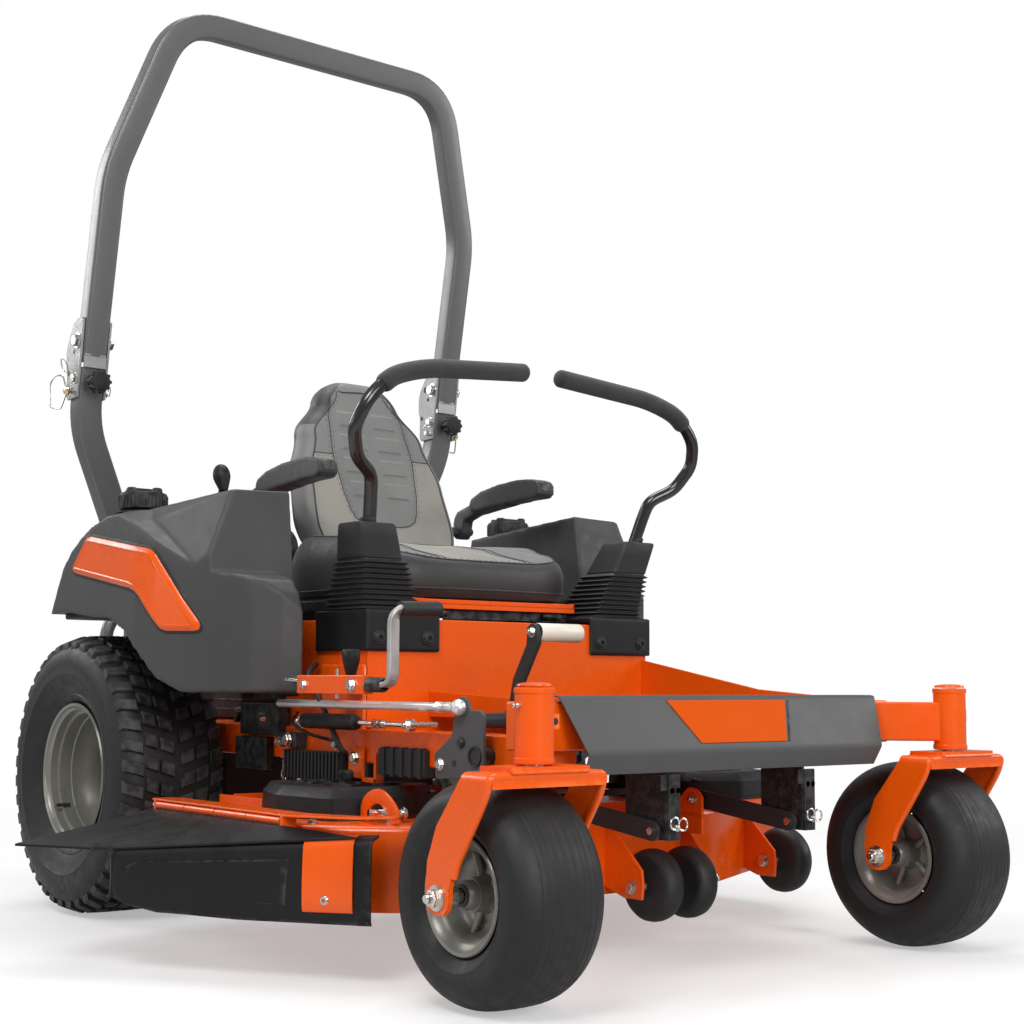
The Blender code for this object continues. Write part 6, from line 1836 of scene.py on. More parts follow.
def build_gauge_wheels():
    def wheel(name, body, xs, y, z, node):
        shapes = []
        for x in xs:
            profile = [(0.0100, -0.0245), (0.0300, -0.0245), (0.0340, -0.0225), (0.0480, -0.0235), (0.0555, -0.0205), (0.0605, -0.0135),
                       (0.0625, -0.0040), (0.0625, 0.0040), (0.0605, 0.0135), (0.0555, 0.0205), (0.0480, 0.0235), (0.0340, 0.0225),
                       (0.0300, 0.0245), (0.0100, 0.0245)]
            shapes.append(lathe(profile, (x, y, z), (1, 0, 0), 64))
        piece(name, joined(shapes), RUBBER, body, sharp=55, stands_for=[node])
        hubs = [lathe([(0.0065, -0.0255), (0.0100, -0.0255), (0.0100, 0.0255), (0.0065, 0.0255)], (x, y, z), (1, 0, 0), 32) for x in xs]
        piece(f"{name}_bushes", joined(hubs), ZINC, body, sharp=40)

    wheel("front_gauge_rollers", "gauge_pair", (0.018, 0.100), -1.080, 0.120, "gauge_wheel_pair")
    wheel("corner_gauge_roller", "gauge_single", (0.462,), -0.980, 0.128, "left_gauge_wheel")
    for start, end, y, z in ((-0.040, 0.168, -1.080, 0.120), (0.400, 0.492, -0.980, 0.128)):
        fit("deck", [rod((start, y, z), (end, y, z), 0.0060, 20)])
        fit("deck", bolt((start + 0.006, y, z), (-1, 0, 0), 0.011))
        fit("deck", nut_and_end((end - 0.004, y, z), (1, 0, 0), 0.011))


CHUTE_FRONT = Vector((-0.542, -1.036, 0.226))
CHUTE_BACK = Vector((-0.800, -0.662, 0.196))
CHUTE_FOOT = [(0.0, 0.092), (0.45, 0.092), (0.80, 0.097), (0.93, 0.106), (1.0, 0.118), (1.2, 0.128)]


def chute_path():
    """The top edge of the chute's wall, from the front corner back and in round the rear corner."""
    path = [CHUTE_FRONT + (CHUTE_BACK - CHUTE_FRONT) * (i / 16) for i in range(16)]
    path += eased([tuple(path[-1]), tuple(CHUTE_BACK), (-0.776, -0.628, 0.1975), (-0.752, -0.618, 0.1985)], 0.024, 6)[1:]
    return [Vector(p) for p in path]


def chute_skin(first, last, inner, foot, low, high):
    """A folded sheet over the chute's edge: from inside the top, round the bend and down the wall."""
    path = chute_path()
    length = (CHUTE_BACK - CHUTE_FRONT).length
    rings = []
    travelled = 0.0
    for i, p in enumerate(path):
        if i:
            travelled += (p - path[i - 1]).length
        u = travelled / length
        if not first - 1e-6 <= u <= last + 1e-6:
            continue
        along = (path[min(i + 1, len(path) - 1)] - path[max(i - 1, 0)])
        along.z = 0
        along.normalize()
        out = Vector((along.y, -along.x, 0))
        if out.x > 0 and out.y > 0:
            out = -out
        bottom = smooth_half(CHUTE_FOOT, u)
        bottom = p.z - (p.z - bottom) * foot
        bend = 0.013
        line = [(-inner, 0.10 * inner, 0, 1), (-bend, 0.0, 0, 1)]
        for k in range(1, 6):
            turn = math.radians(90 - 18 * k)
            line.append((-bend + bend * math.cos(turn), -bend + bend * math.sin(turn), math.cos(turn), math.sin(turn)))
        tall = p.z - bend - bottom
        for v, bulge in ((0.25, 0.0015), (0.5, 0.0022), (0.75, 0.0020), (0.94, 0.0006), (1.0, -0.0022)):
            line.append((bulge, -bend - tall * v, 1, 0))
        ring = [p + out * (a + c * high) + Vector((0, 0, b + d * high)) for a, b, c, d in line]
        ring += [p + out * (a + c * low) + Vector((0, 0, b + d * low)) for a, b, c, d in reversed(line)]
        rings.append(ring)
    return loft(rings)


def build_chute():
    sheet = [(-0.556, -1.018, 0.2285), (-0.790, -0.672, 0.1985), (-0.812, -0.640, 0.1965), (-0.905, -0.520, 0.199), (-0.690, -0.430, 0.222),
             (-0.6150, -0.440, 0.2400), (-0.6150, -0.900, 0.2400)]
    body = "chute"
    top = sheet_between(sheet, [(x, y, z - 0.0045) for x, y, z in sheet])
    piece("discharge_chute_top", top, CHUTE, body, bevel=0.0016, segments=3, sharp=20)
    piece("discharge_chute_wall", chute_skin(0.0, 1.3, 0.034, 1.0, -0.0046, 0.0), CHUTE, body, sharp=38, stands_for=["discharge_chute"])
    a, b = CHUTE_FRONT, CHUTE_BACK
    c, d = Vector((-0.797, -0.658, 0.100)), Vector((-0.540, -1.034, 0.092))
    outward = (b - a).cross(d - a).normalized()
    if outward.dot(Vector((-1, -1, 0))) < 0:
        outward = -outward

    def on_wall(u, v, lift):
        """A point on the front wall: u along it from the front corner, v down it."""
        return (a + (b - a) * u) * (1 - v) + (d + (c - d) * u) * v + outward * lift

    inset = [(0.315, 0.23), (0.88, 0.23), (0.93, 0.30), (0.94, 0.50), (0.92, 0.62), (0.87, 0.72), (0.80, 0.78), (0.315, 0.80)]
    rings = [[on_wall(u, v, lift) for u, v in plan_inset(inset, grow)]
             for grow, lift in ((-0.012, -0.001), (-0.012, 0.0018), (0.0, 0.0048), (0.03, 0.0050))]
    piece("chute_raised_panel", loft(rings), CHUTE, body, sharp=25)
    piece("chute_coloured_plate", chute_skin(0.062, 0.26, 0.030, 0.86, 0.0012, 0.0042), ORANGE, body, bevel=0.0010, segments=2)
    fit("chute", socket_screw(on_wall(0.165, 0.72, 0.0062), outward, 0.008))
    hinge = []
    for i in range(4):
        start = -0.884 + i * 0.1080
        hinge.append(rod((-0.612, start, 0.246), (-0.612, start + 0.1050, 0.246), 0.0068, 24))
    piece("chute_hinge_knuckles", joined(hinge), ORANGE, body, sharp=40)
    over = [(-0.6165, -0.432), (-0.6165, -0.905), (-0.5560, -1.012), (-0.5000, -1.048), (-0.480, -1.030), (-0.530, -0.985), (-0.566, -0.895),
            (-0.566, -0.450), (-0.585, -0.432)]
    piece("deck_edge_lip", plate(eased_plan(over, 0.012, 4), "z", 0.2538, 0.2572), ORANGE, "deck", bevel=0.0012, segments=3)
    fit("deck", [rod((-0.612, -0.892, 0.246), (-0.612, -0.440, 0.246), 0.0035, 16)])
    lugs = []
    for y in (-0.890, -0.450):
        lugs.append(block((-0.618, -0.590), (y - 0.003, y + 0.003), (0.236, 0.254)))
    piece("chute_hinge_lugs", joined(lugs), ORANGE, "deck", bevel=0.001)


def build_lift():
    arm = [(-1.012, 0.391), (-0.986, 0.395), (-0.983, 0.415), (-0.998, 0.475), (-1.026, 0.520), (-1.034, 0.533), (-1.036, 0.562),
           (-1.048, 0.569), (-1.060, 0.564), (-1.064, 0.550), (-1.064, 0.533), (-1.024, 0.470), (-1.016, 0.420)]
    piece("lift_pedal_arm", plate(arm, "x", -0.232, -0.222), DARK, "lift_pedal", bevel=0.0018, segments=3, stands_for=["lift_pedal"])
    shapes = [rod((-0.300, -1.000, 0.405), (-0.210, -1.000, 0.405), 0.013, 32),
              lathe([(0, 0), (0.020, 0), (0.020, 0.006), (0, 0.006)], (-0.2385, -1.000, 0.405), (1, 0, 0), 32)]
    piece("lift_pedal_shaft", joined(shapes), DARK, "lift_pedal", sharp=40)
    roller = lathe([(0.004, 0), (0.0145, 0), (0.0158, 0.002), (0.0158, 0.092), (0.0145, 0.094), (0.004, 0.094)], (-0.2215, -1.050, 0.553), (1, 0, 0), 36)
    piece("lift_pedal_roller", roller, CREAM, "lift_pedal", sharp=40)
    fit("lift_pedal", nut_and_end((-0.232, -1.050, 0.553), (-1, 0, 0), 0.008))
    fit("lift_pedal", bolt((-0.1275, -1.050, 0.553), (1, 0, 0), 0.008))
    fit("lift_pedal", [lathe([(0.0105, 0), (0.0150, 0), (0.0150, 0.003), (0.0105, 0.003)], (-0.2220, -1.050, 0.553), (1, 0, 0), 24)], "dark")

    crank = [(-1.117, 0.319), (-1.106, 0.317), (-0.996, 0.311), (-0.988, 0.315), (-0.985, 0.352), (-1.008, 0.366), (-1.030, 0.380),
             (-1.036, 0.392), (-1.042, 0.432), (-1.047, 0.441), (-1.056, 0.446), (-1.068, 0.444), (-1.076, 0.436), (-1.080, 0.424),
             (-1.108, 0.424), (-1.117, 0.416)]
    piece("lift_crank_plate", plate(crank, "x", -0.386, -0.380), COVER, "lift_crank", bevel=0.0013, segments=2, stands_for=["lift_crank"])
    fit("lift_crank", [lathe([(0.0135, 0.0), (0.0165, 0.0), (0.0165, 0.0030), (0.0135, 0.0030)], (-0.386, -1.096, 0.351), (-1, 0, 0), 36)], "dark")
    # a thin black disc inside the washer is painted shade, standing in for the pivot hole
    fit("lift_crank", [lathe([(0, 0.0002), (0.0134, 0.0002), (0.0134, 0.0012), (0, 0.0012)], (-0.386, -1.096, 0.351), (-1, 0, 0), 36)], "hole")
    fit("lift_crank", bolt((-0.386, -1.003, 0.335), (-1, 0, 0), 0.009))
    fit("lift_crank", bolt((-0.386, -1.060, 0.372), (-1, 0, 0), 0.008), "dark")
    # a thin black disc is painted shade, standing in for a small hole in the crank plate
    fit("lift_crank", [lathe([(0, 0.0002), (0.0060, 0.0002), (0.0060, 0.0005), (0, 0.0005)], (-0.386, -1.040, 0.338), (-1, 0, 0), 20)], "hole")
    fit("lift_crank", [rod((-0.386, -1.096, 0.351), (-0.344, -1.096, 0.351), 0.0135, 24)], "dark")
    link = []
    for z in (0.3350, 0.2760):
        link.append(lathe([(0.005, 0), (0.011, 0), (0.011, 0.005), (0.005, 0.005)], (-0.3795, -1.003, z), (1, 0, 0), 24))
    link.append(block((-0.3790, -0.3750), (-1.009, -0.997), (0.2760, 0.3350)))
    piece("lift_short_link", joined(link), DARK, "lift_crank", bevel=0.0008, segments=2)

    rod_x = -0.3945
    bar = [rod((rod_x, -1.050, 0.428), (rod_x, -0.505, 0.428), 0.0074, 28)]
    bar.append(lathe([(0, 0), (0.0070, 0), (0.0085, 0.008), (0.0085, 0.026), (0.0060, 0.030), (0, 0.030)], (rod_x, -1.052, 0.428), (0, 1, 0), 24))
    ball = [(0.0135 * math.sin(math.pi * i / 14), -0.0135 * math.cos(math.pi * i / 14)) for i in range(15)]
    bar.append(lathe(ball, (rod_x, -1.062, 0.428), (0, 0, 1), 32))
    bar.append(rod((rod_x + 0.002, -1.062, 0.428), (-0.3865, -1.062, 0.428), 0.0075, 20))
    bar.append(lathe([(0.0070, 0), (0.0098, 0), (0.0098, 0.008), (0.0070, 0.008)], (rod_x, -1.014, 0.428), (0, 1, 0), 6))
    piece("deck_lift_rod", joined(bar), SATIN, "lift_rod", sharp=40, stands_for=["lift_rod"])
    for side, name in SIDES:
        x = side * 0.160 - 0.0125
        start, end = Vector((-1.275, 0.236)), Vector((-1.060, 0.262))
        along = (end - start).normalized()
        across = Vector((-along.y, along.x))
        outline = []
        for at, way in ((start, -1), (end, 1)):
            for i in range(9):
                turn = math.radians(90 - 180 * i / 8)
                outline.append(tuple(at + along * (way * 0.016 * math.cos(turn)) + across * (0.016 * math.sin(turn) * -way)))
        bar = plate(outline, "x", x + 0.0004, x + 0.0076)
        piece(f"{name}_front_hanger_link", bar, DARK, f"{name}_deck_link", bevel=0.0014, segments=2, stands_for=[f"{name}_deck_link"])
        for y, z in ((-1.275, 0.236), (-1.060, 0.262)):
            fit(f"{name}_deck_link", [lathe([(0.0065, 0.0), (0.0125, 0.0), (0.0125, 0.0008), (0.0065, 0.0008)], (x + 0.0076, y, z), (1, 0, 0), 28)])


def build_linkage():
    """Fixed parts of the drive and lift linkage along the right side."""
    x = -0.402
    damper = lathe([(0, 0), (0.0135, 0.001), (0.0140, 0.006), (0.0140, 0.164), (0.0125, 0.170), (0.0060, 0.172), (0, 0.172)], (x + 0.004, -0.600, 0.398),
                   (0, -1, 0), 36)
    piece("drive_damper_body", damper, BLACK, "chassis", sharp=40)
    fit("chassis", [rod((x + 0.004, -0.770, 0.398), (x + 0.004, -0.930, 0.397), 0.0042, 20)], "bright")
    fit("chassis", [lathe([(0.0043, 0), (0.0085, 0), (0.0085, 0.010), (0.0043, 0.010)], (x + 0.004, y, 0.3975), (0, 1, 0), 6) for y in (-0.838, -0.856)])
    for y in (-0.596, -0.934):
        fit("chassis", [lathe([(0.004, -0.006), (0.010, -0.006), (0.010, 0.006), (0.004, 0.006)], (x + 0.004, y, 0.397), (1, 0, 0), 24)])
        fit("chassis", [rod((x + 0.004, y, 0.397), (-0.345, y, 0.397), 0.0045, 16)])
        fit("chassis", nut_and_end((x - 0.002, y, 0.397), (-1, 0, 0), 0.008))
    fins = [block((-0.372, -0.345), (-0.684, -0.486), (0.292, 0.338)), block((-0.366, -0.345), (-0.930, -0.792), (0.309, 0.354))]
    for i in range(16):
        y = -0.680 + i * 0.0120
        fins.append(block((-0.378, -0.344), (y, y + 0.0052), (0.289, 0.342)))
    for i in range(5):
        y = -0.922 + i * 0.0270
        fins.append(block((-0.369, -0.344), (y, y + 0.0100), (0.306, 0.357)))
    piece("clutch_solenoid", joined(fins), DARK, "chassis", bevel=0.0008, segments=2)
    shapes = [block((-0.364, -0.345), (-0.782, -0.694), (0.292, 0.300)), block((-0.364, -0.358), (-0.740, -0.694), (0.292, 0.352)),
              block((-0.364, -0.345), (-0.782, -0.775), (0.292, 0.345))]
    piece("linkage_side_bracket", joined(shapes), ORANGE, "chassis", bevel=0.0012, segments=2)
    fit("chassis", bolt((-0.364, -0.717, 0.334), (-1, 0, 0), 0.010))
    black = [block((-0.402, -0.396), (-0.512, -0.452), (0.436, 0.500)), block((-0.400, -0.352), (-0.505, -0.497), (0.440, 0.456)),
             block((-0.372, -0.345), (-0.462, -0.318), (0.366, 0.426)), block((-0.380, -0.345), (-0.540, -0.470), (0.346, 0.374)),
             block((-0.372, -0.350), (-0.420, -0.300), (0.300, 0.362))]
    piece("linkage_black_brackets", joined(black), BLACK, "chassis", bevel=0.0020, segments=2)
    fit("chassis", bolt((-0.372, -0.4066, 0.400), (-1, 0, 0), 0.010))
    fit("chassis", bolt((-0.380, -0.5150, 0.360), (-1, 0, 0), 0.012))
    fit("chassis", nut_and_end((-0.380, -0.4850, 0.355), (-1, 0, 0), 0.009))
    fit("chassis", [rod((-0.420, -0.640, 0.4700), (-0.420, -0.556, 0.4790), 0.0045, 20)])
    fit("chassis", [lathe([(0.0046, 0), (0.0090, 0), (0.0090, 0.008), (0.0046, 0.008)], (-0.420, y, z), (0, 1, -0.1), 6)
                    for y, z in ((-0.578, 0.4770), (-0.592, 0.4755))])
    hook = eased([(-0.452, -0.885, 0.2400), (-0.452, -0.885, 0.2700), (-0.452, -0.925, 0.2860), (-0.452, -0.968, 0.2600), (-0.452, -0.972, 0.2390)], 0.022, 6)
    piece("deck_front_hook", sweep(hook, soft_box(0.0120, 0.0030, 0.0012, 2), (1, 0, 0)), ORANGE, "deck", sharp=40)
    fit("deck", [rod((-0.470, -0.919, 0.2550), (-0.412, -0.932, 0.2520), 0.0062, 24)], "bright")
    fit("deck", bolt((-0.411, -0.932, 0.2520), (1, -0.2, 0), 0.010))
    lead = eased([(-0.350, -0.560, 0.500), (-0.392, -0.590, 0.480), (-0.398, -0.640, 0.450), (-0.385, -0.700, 0.350), (-0.372, -0.700, 0.340)], 0.03, 6)
    piece("wiring_loom", tube(lead, 0.0050, 16, (1, 0, 0)), RUBBER, "chassis", sharp=0)
    second = eased([(-0.352, -0.500, 0.410), (-0.385, -0.530, 0.392), (-0.388, -0.600, 0.372), (-0.360, -0.640, 0.362)], 0.03, 6)
    piece("brake_cable", tube(second, 0.0032, 14, (1, 0, 0)), BLACK, "chassis", sharp=0)
    for side, name in SIDES:
        arm = rod((side * 0.255, -0.600, 0.452), (side * 0.262, -0.070, 0.338), 0.0050, 20)
        piece(f"{name}_drive_link_rod", arm, ZINC, "chassis", sharp=40)
    for side, _ in SIDES:
        chain = []
        for i in range(6):
            z = 0.276 + i * 0.016
            flat = i % 2
            ring = []
            for k in range(13):
                turn = 2 * math.pi * k / 12
                u, v = 0.0060 * math.cos(turn), 0.0110 * math.sin(turn)
                ring.append((side * 0.330 + (u if flat else 0), -0.420 + (0 if flat else u), z + v))
            chain.append(tube(ring, 0.0018, 8, (0.3, 0.4, 0.86)))
        fit("chassis", chain)


build_deck()
build_belt_covers()
build_blades()
build_gauge_wheels()
build_chute()
build_lift()
build_linkage()

# ---------------------------------------------------------------- engine and drive


def build_engine():
    low, high = 0.383, 0.600
    crankcase = [block((-0.148, 0.148), (0.072, 0.368), (low + 0.0005, high - 0.0005))]
    bm = moulded(crankcase, 0.0070, 3)
    piece("engine_crankcase", bm, CASTING, "chassis", sharp=0, stands_for=["engine_block"])
    shapes = []
    for i in range(9):
        z = low + 0.020 + i * 0.021
        shapes.append(block((-0.1495, 0.1495), (0.0705, 0.3695), (z, z + 0.0045)))
    shapes.append(block((-0.110, 0.110), (0.120, 0.330), (low, low + 0.006)))
    piece("crankcase_ribs", joined(shapes), CASTING, "chassis", bevel=0.0015, segments=2)
    for side, name in SIDES:
        start, end = Vector((side * 0.060, 0.300, 0.500)), Vector((side * 0.215, 0.395, 0.500))
        along = (end - start).normalized()
        length = (end - start).length
        barrel = [rod(start, end - along * 0.006, 0.044, 36)]
        for i in range(11):
            at = length * 0.38 + i * 0.0098
            barrel.append(lathe([(0.040, 0), (0.0612, 0.0006), (0.0612, 0.0026), (0.040, 0.0034)], start + along * at, along, 48))
        barrel.append(lathe([(0, 0), (0.050, 0), (0.052, 0.004), (0.050, 0.016), (0.040, 0.020), (0, 0.020)], end - along * 0.022, along, 40))
        piece(f"{name}_engine_cylinder", joined(barrel), ALLOY, "chassis", sharp=40)
        for k in range(4):
            turn = math.pi / 2 * k + math.pi / 4
            across, over = frame_of(along)
            spot = end - along * 0.003 + across * 0.036 * math.cos(turn) + over * 0.036 * math.sin(turn)
            fit("chassis", bolt(spot, along, 0.007))
        plug = end - along * 0.060 + Vector((0, 0, 0.045))
        fit("chassis", [rod(plug, plug + Vector((side * 0.01, 0.01, 0.022)), 0.0080, 20)], "dark")
        lead = eased([plug + Vector((side * 0.01, 0.01, 0.020)), plug + Vector((side * 0.012, 0.0, 0.050)), (side * 0.130, 0.300, 0.598)], 0.03, 6)
        piece(f"{name}_spark_lead", tube(lead, 0.0038, 14), RUBBER, "chassis", sharp=0)
    bowl = [(0, 0.602), (0.160, 0.602), (0.168, 0.606), (0.1835, 0.640), (0.1848, 0.650), (0.1848, 0.700), (0.180, 0.712), (0.156, 0.732),
            (0.150, 0.7345), (0.128, 0.7348), (0.122, 0.7300), (0.030, 0.7300), (0.026, 0.7340), (0, 0.7345)]
    shapes = [lathe(bowl, (0, 0.215, 0), (0, 0, 1), 96)]
    for i in range(24):
        turn = 2 * math.pi * i / 24
        out = Vector((math.cos(turn), math.sin(turn), 0))
        across = Vector((-out.y, out.x, 0))
        ring = []
        for z in (0.7290, 0.7345):
            ring.append([Vector((0, 0.215, z)) + out * r + across * v for r, v in ((0.029, -0.0018), (0.124, -0.0024), (0.124, 0.0024), (0.029, 0.0018))])
        shapes.append(loft(ring))
    for radius in (0.055, 0.078, 0.101):
        shapes.append(lathe([(radius - 0.0018, 0.7295), (radius + 0.0018, 0.7295), (radius + 0.0018, 0.7343), (radius - 0.0018, 0.7343)],
                            (0, 0.215, 0), (0, 0, 1), 72))
    piece("engine_fan_shroud", joined(shapes), BLACK, "chassis", sharp=35, stands_for=["engine_shroud"])
    hood = moulded([block((-0.213, 0.213), (0.272, 0.438), (0.604, 0.688))], 0.0060, 4)
    piece("engine_rear_hood", hood, BLACK, "chassis", sharp=0)
    slats = []
    for side, _ in SIDES:
        for i in range(7):
            z = 0.620 + i * 0.009
            slats.append(block((side * 0.070, side * 0.190), (0.4365, 0.4395), (z, z + 0.004)))
    piece("engine_hood_louvres", joined(slats), RUBBER, "chassis", bevel=0.0008)
    can = [(0, 0), (0.046, 0), (0.052, 0.006), (0.0535, 0.012), (0.0535, 0.060), (0.0510, 0.063), (0.0510, 0.069), (0.0535, 0.072),
           (0.0535, 0.168), (0.0510, 0.171), (0.0510, 0.177), (0.0535, 0.180), (0.0535, 0.228), (0.052, 0.234), (0.046, 0.240), (0, 0.240)]
    piece("air_cleaner_canister", lathe(can, (-0.120, 0.330, 0.790), (1, 0, 0), 64), BLACK, "chassis", sharp=35,
          stands_for=["air_filter"])
    piece("air_cleaner_bracket", joined([block((-0.048, 0.048), (0.302, 0.358), (0.7350, 0.760)),
                                         rod((0.085, 0.330, 0.750), (0.085, 0.360, 0.690), 0.022, 28)]), BLACK, "chassis", bevel=0.003)
    fit("chassis", [lathe([(0.0536, 0), (0.0550, 0), (0.0550, 0.010), (0.0536, 0.010)], (x, 0.330, 0.790), (1, 0, 0), 64) for x in (-0.070, 0.055)])
    fit("chassis", [block((x, x + 0.016), (0.324, 0.336), (0.842, 0.850)) for x in (-0.073, 0.052)])
    oil = [(0, 0), (0.034, 0), (0.038, 0.004), (0.038, 0.070), (0.034, 0.078), (0, 0.078)]
    piece("oil_filter", lathe(oil, (0.100, 0.366, 0.440), (0, 1, 0), 48), ORANGE, "chassis", sharp=40)
    dip = eased([(-0.110, 0.372, 0.470), (-0.116, 0.392, 0.520), (-0.116, 0.410, 0.600)], 0.02, 5)
    fit("chassis", [tube(dip, 0.0055, 14), lathe([(0, 0), (0.010, 0), (0.011, 0.010), (0, 0.012)], (-0.116, 0.410, 0.600), (0, 0, 1), 20)], "dark")


def build_muffler():
    profile = [(0, 0), (0.044, 0.0), (0.050, 0.004), (0.0518, 0.012), (0.0518, 0.018), (0.0498, 0.021), (0.0498, 0.279), (0.0518, 0.282),
               (0.0518, 0.288), (0.050, 0.296), (0.044, 0.300), (0, 0.300)]
    piece("exhaust_silencer", lathe(profile, (-0.150, 0.500, 0.500), (1, 0, 0), 64), HOT, "chassis", sharp=35, stands_for=["muffler"])
    shapes = [tube([(0.080, 0.500, 0.480), (0.080, 0.445, 0.425)], 0.0150, 28)]
    for side, _ in SIDES:
        pipe = eased([(side * 0.180, 0.395, 0.455), (side * 0.180, 0.450, 0.440), (side * 0.120, 0.470, 0.480)], 0.03, 6)
        shapes.append(tube(pipe, 0.0150, 24))
    piece("exhaust_pipes", joined(shapes), HOT, "chassis", sharp=40)
    guard = []
    for i in range(9):
        x = -0.132 + i * 0.033
        arc = []
        for k in range(13):
            turn = math.radians(-80 + 160 * k / 12)
            arc.append((x, 0.500 + 0.0600 * math.cos(turn), 0.500 + 0.0600 * math.sin(turn)))
        guard.append(tube(arc, 0.0028, 10, (1, 0, 0)))
    for turn in (-70, -25, 25, 70):
        y = 0.500 + 0.0600 * math.cos(math.radians(turn))
        z = 0.500 + 0.0600 * math.sin(math.radians(turn))
        guard.append(rod((-0.146, y, z), (0.146, y, z), 0.0028, 12))
    piece("silencer_heat_guard", joined(guard), DARK, "chassis", sharp=0)


def build_transaxles():
    for side, name in SIDES:
        lump = [
            block((side * 0.092, side * 0.273), (-0.083, 0.083), (0.208, 0.328)),
            rod((side * 0.262, 0, 0.280), (side * 0.328, 0, 0.280), 0.042, 32),
            rod((side * 0.180, 0, 0.320), (side * 0.180, 0, 0.352), 0.029, 28),
        ]
        bm = moulded(lump, 0.0055, 3)
        piece(f"{name}_gearbox_casting", bm, CASTING, "chassis", sharp=0, stands_for=[f"{name}_transaxle"])
        ribs = []
        for i in range(8):
            y = -0.074 + i * 0.0195
            ribs.append(block((side * 0.096, side * 0.269), (y, y + 0.0035), (0.2055, 0.3295)))
        piece(f"{name}_gearbox_ribs", joined(ribs), CASTING, "chassis", bevel=0.001, segments=2)
        axle = [rod((side * 0.300, 0, 0.280), (side * 0.4045, 0, 0.280), 0.0188, 32),
                lathe([(0, 0), (0.044, 0), (0.044, 0.006), (0.024, 0.012), (0, 0.012)], (side * 0.328, 0, 0.280), (-side, 0, 0), 40)]
        piece(f"{name}_drive_axle", joined(axle), BRIGHT, "chassis", sharp=40)
        groove = [(0.010, 0.352), (0.058, 0.352), (0.060, 0.3535), (0.0505, 0.3575), (0.0505, 0.3605), (0.060, 0.3645), (0.058, 0.366), (0.010, 0.366)]
        piece(f"{name}_gearbox_pulley", lathe(groove, (side * 0.180, 0, 0), (0, 0, 1), 56), DARK, "chassis", sharp=40)
        fan = []
        for i in range(9):
            turn = 2 * math.pi * i / 9
            out = Vector((math.cos(turn), math.sin(turn), 0))
            across = Vector((-out.y, out.x, 0))
            base = Vector((side * 0.180, 0, 0.340))
            fan.append(sheet_between([base + out * r + across * v + Vector((0, 0, w)) for r, v, w in ((0.028, -0.006, -0.003), (0.072, -0.012, -0.004), (0.072, 0.012, 0.006), (0.028, 0.006, 0.003))],
                                     [base + out * r + across * v + Vector((0, 0, w - 0.0018)) for r, v, w in ((0.028, -0.006, -0.003), (0.072, -0.012, -0.004), (0.072, 0.012, 0.006), (0.028, 0.006, 0.003))]))
        piece(f"{name}_gearbox_fan", joined(fan), BLACK, "chassis", sharp=30)
        for y, z in ((-0.060, 0.300), (0.060, 0.300), (-0.060, 0.230), (0.060, 0.230)):
            fit("chassis", bolt((side * 0.2735, y, z), (side, 0, 0), 0.009))
        hose = eased([(side * 0.140, 0.083, 0.300), (side * 0.140, 0.140, 0.320), (side * 0.230, 0.200, 0.335), (side * 0.250, 0.330, 0.360)], 0.04, 6)
        piece(f"{name}_oil_hose", tube(hose, 0.0075, 18), RUBBER, "chassis", sharp=0)
    loop = belt_path([(-0.180, 0, 0.0525, 1), (0.180, 0, 0.0525, 1), (0.0, 0.215, 0.0600, 1)])
    piece("transmission_belt", sweep([(x, y, 0.3590) for x, y in loop], [(-0.0032, -0.0035), (0.0032, -0.0050), (0.0032, 0.0050), (-0.0032, 0.0035)],
                                     (0, 0, 1), loop=True), BELT, "chassis", sharp=40)
    crank = [(0.010, 0.352), (0.064, 0.352), (0.066, 0.354), (0.058, 0.3575), (0.058, 0.3605), (0.066, 0.364), (0.064, 0.3660), (0.030, 0.3670),
             (0.030, 0.3712), (0.010, 0.3712)]
    piece("engine_output_pulley", lathe(crank, (0, 0.215, 0), (0, 0, 1), 56), DARK, "chassis", sharp=40)
    clutch = [(0.012, 0.300), (0.050, 0.300), (0.054, 0.304), (0.054, 0.330), (0.046, 0.334), (0.046, 0.348), (0.012, 0.348)]
    piece("blade_clutch", lathe(clutch, (0, 0.215, 0), (0, 0, 1), 48), CASTING, "chassis", sharp=40)


build_engine()
build_muffler()
build_transaxles()

# ---------------------------------------------------------------- fasteners

FINISHES = {
    "zinc": (ZINC, "bright_steel"),
    "dark": (DARK, "tube_paint"),
    "orange": (ORANGE, "orange_paint"),
    "tube": (TUBE, "tube_paint"),
    # hole: thin black discs in the black rubber material, painted shade for the insides of holes
    "hole": (RUBBER, "black_rubber"),
    "brass": (BRASS, "bright_steel"),
    "bright": (BRIGHT, "bright_steel"),
}
for (body, kind), shapes in sorted(hardware.items()):
    finish, slot_name = FINISHES[kind]
    piece(f"{body}_{kind}_fittings", joined(shapes), finish, body, sharp=35)

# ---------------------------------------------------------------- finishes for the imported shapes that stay

KEPT = {
    "right_control_shaft": ZINC,
    "left_control_shaft": ZINC,
}
for node, finish in KEPT.items():
    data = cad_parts[node].data
    data.materials.clear()
    data.materials.append(finish)

# ---------------------------------------------------------------- stage, light and camera


def area_light(name, at, target, size, power):
    data = bpy.data.lights.new(name, "AREA")
    data.shape = "SQUARE"
    data.size = size
    data.energy = power
    lamp = bpy.data.objects.new(name, data)
    bpy.context.scene.collection.objects.link(lamp)
    lamp.location = Vector(at)
    lamp.rotation_euler = (Vector(target) - Vector(at)).to_track_quat("-Z", "Y").to_euler()


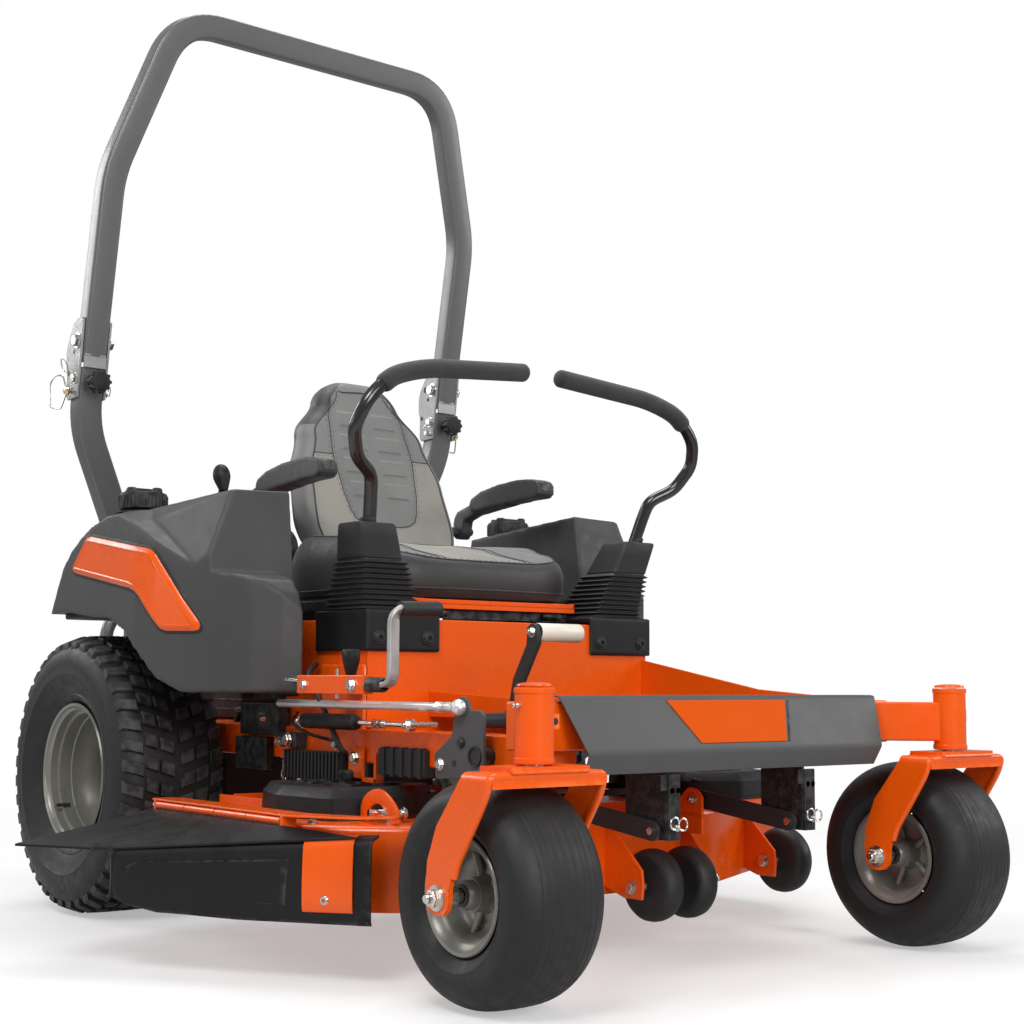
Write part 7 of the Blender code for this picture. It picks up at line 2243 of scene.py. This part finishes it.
def fade_to_white(material):
    """The floor turns into the white backdrop away from the machine."""
    tree = material.node_tree
    place = tree.nodes.new("ShaderNodeNewGeometry").outputs["Position"]
    length = tree.nodes.new("ShaderNodeVectorMath")
    length.operation = "LENGTH"
    tree.links.new(place, length.inputs[0])
    fade = tree.nodes.new("ShaderNodeMapRange")
    fade.interpolation_type = "SMOOTHSTEP"
    fade.inputs["From Min"].default_value = 1.1
    fade.inputs["From Max"].default_value = 3.6
    fade.inputs["To Min"].default_value = 0.42
    tree.links.new(length.outputs["Value"], fade.inputs["Value"])
    white = tree.nodes.new("ShaderNodeEmission")
    seen = tree.nodes.new("ShaderNodeLightPath")
    glow = tree.nodes.new("ShaderNodeMapRange")
    glow.inputs["To Min"].default_value = 0.30
    glow.inputs["To Max"].default_value = 1.0
    tree.links.new(seen.outputs["Is Camera Ray"], glow.inputs["Value"])
    tree.links.new(glow.outputs["Result"], white.inputs["Strength"])
    mix = tree.nodes.new("ShaderNodeMixShader")
    tree.links.new(fade.outputs["Result"], mix.inputs[0])
    tree.links.new(tree.nodes["Principled BSDF"].outputs[0], mix.inputs[1])
    tree.links.new(white.outputs[0], mix.inputs[2])
    tree.links.new(mix.outputs[0], tree.nodes["Material Output"].inputs["Surface"])


floor_mesh = bpy.data.meshes.new("studio_floor")
floor_mesh.from_pydata([(-40, -40, -0.0015), (40, -40, -0.0015), (40, 40, -0.0015), (-40, 40, -0.0015)], [], [(0, 1, 2, 3)])
floor = bpy.data.objects.new("studio_floor", floor_mesh)
bpy.context.scene.collection.objects.link(floor)
FLOOR_SKIN = skin("pale_floor", (0.90, 0.90, 0.90), 0.55, mottle=0.01, mottle_scale=1.5, grain=60, bump=0.01)
fade_to_white(FLOOR_SKIN)
floor_mesh.materials.append(FLOOR_SKIN)

world = bpy.data.worlds.new("studio")
bpy.context.scene.world = world
world.use_nodes = True
tree = world.node_tree
backdrop = tree.nodes["Background"]
seen = tree.nodes.new("ShaderNodeLightPath")
strength = tree.nodes.new("ShaderNodeMapRange")
strength.inputs["To Min"].default_value = 0.32
strength.inputs["To Max"].default_value = 1.0
tree.links.new(seen.outputs["Is Camera Ray"], strength.inputs["Value"])
tree.links.new(strength.outputs["Result"], backdrop.inputs["Strength"])
backdrop.inputs["Color"].default_value = (1.0, 1.0, 1.0, 1)
bpy.context.scene.view_settings.view_transform = "Standard"

CENTRE = (0.1, -0.1, 0.5)
area_light("key", (-3.2, -2.2, 4.2), CENTRE, 1.8, 130)
area_light("front", (-0.8, -5.2, 2.2), CENTRE, 2.2, 125)
area_light("side", (-5.0, 1.6, 1.8), CENTRE, 1.6, 26)
area_light("fill", (4.6, -3.0, 2.6), CENTRE, 2.2, 80)
area_light("top", (0.6, 0.8, 4.6), CENTRE, 2.6, 110)
area_light("back", (-2.2, 4.4, 3.0), CENTRE, 2.0, 80)

CAMERA_AT = DATUM + Vector((-2.003, -3.204, 0.470))
YAW = math.radians(38.71)
PITCH = math.radians(5.86)
ROLL = math.radians(0.30)
LENS_MM = 58.1
camera_data = bpy.data.cameras.new("photo_camera")
camera_data.sensor_width = 36
camera_data.lens = LENS_MM
camera = bpy.data.objects.new("photo_camera", camera_data)
bpy.context.scene.collection.objects.link(camera)
ahead = Vector((math.sin(YAW) * math.cos(PITCH), math.cos(YAW) * math.cos(PITCH), math.sin(PITCH)))
facing = ahead.to_track_quat("-Z", "Y").to_matrix().to_4x4()
camera.matrix_world = Matrix.Translation(CAMERA_AT) @ facing @ Matrix.Rotation(ROLL, 4, "Z")
bpy.context.scene.camera = camera
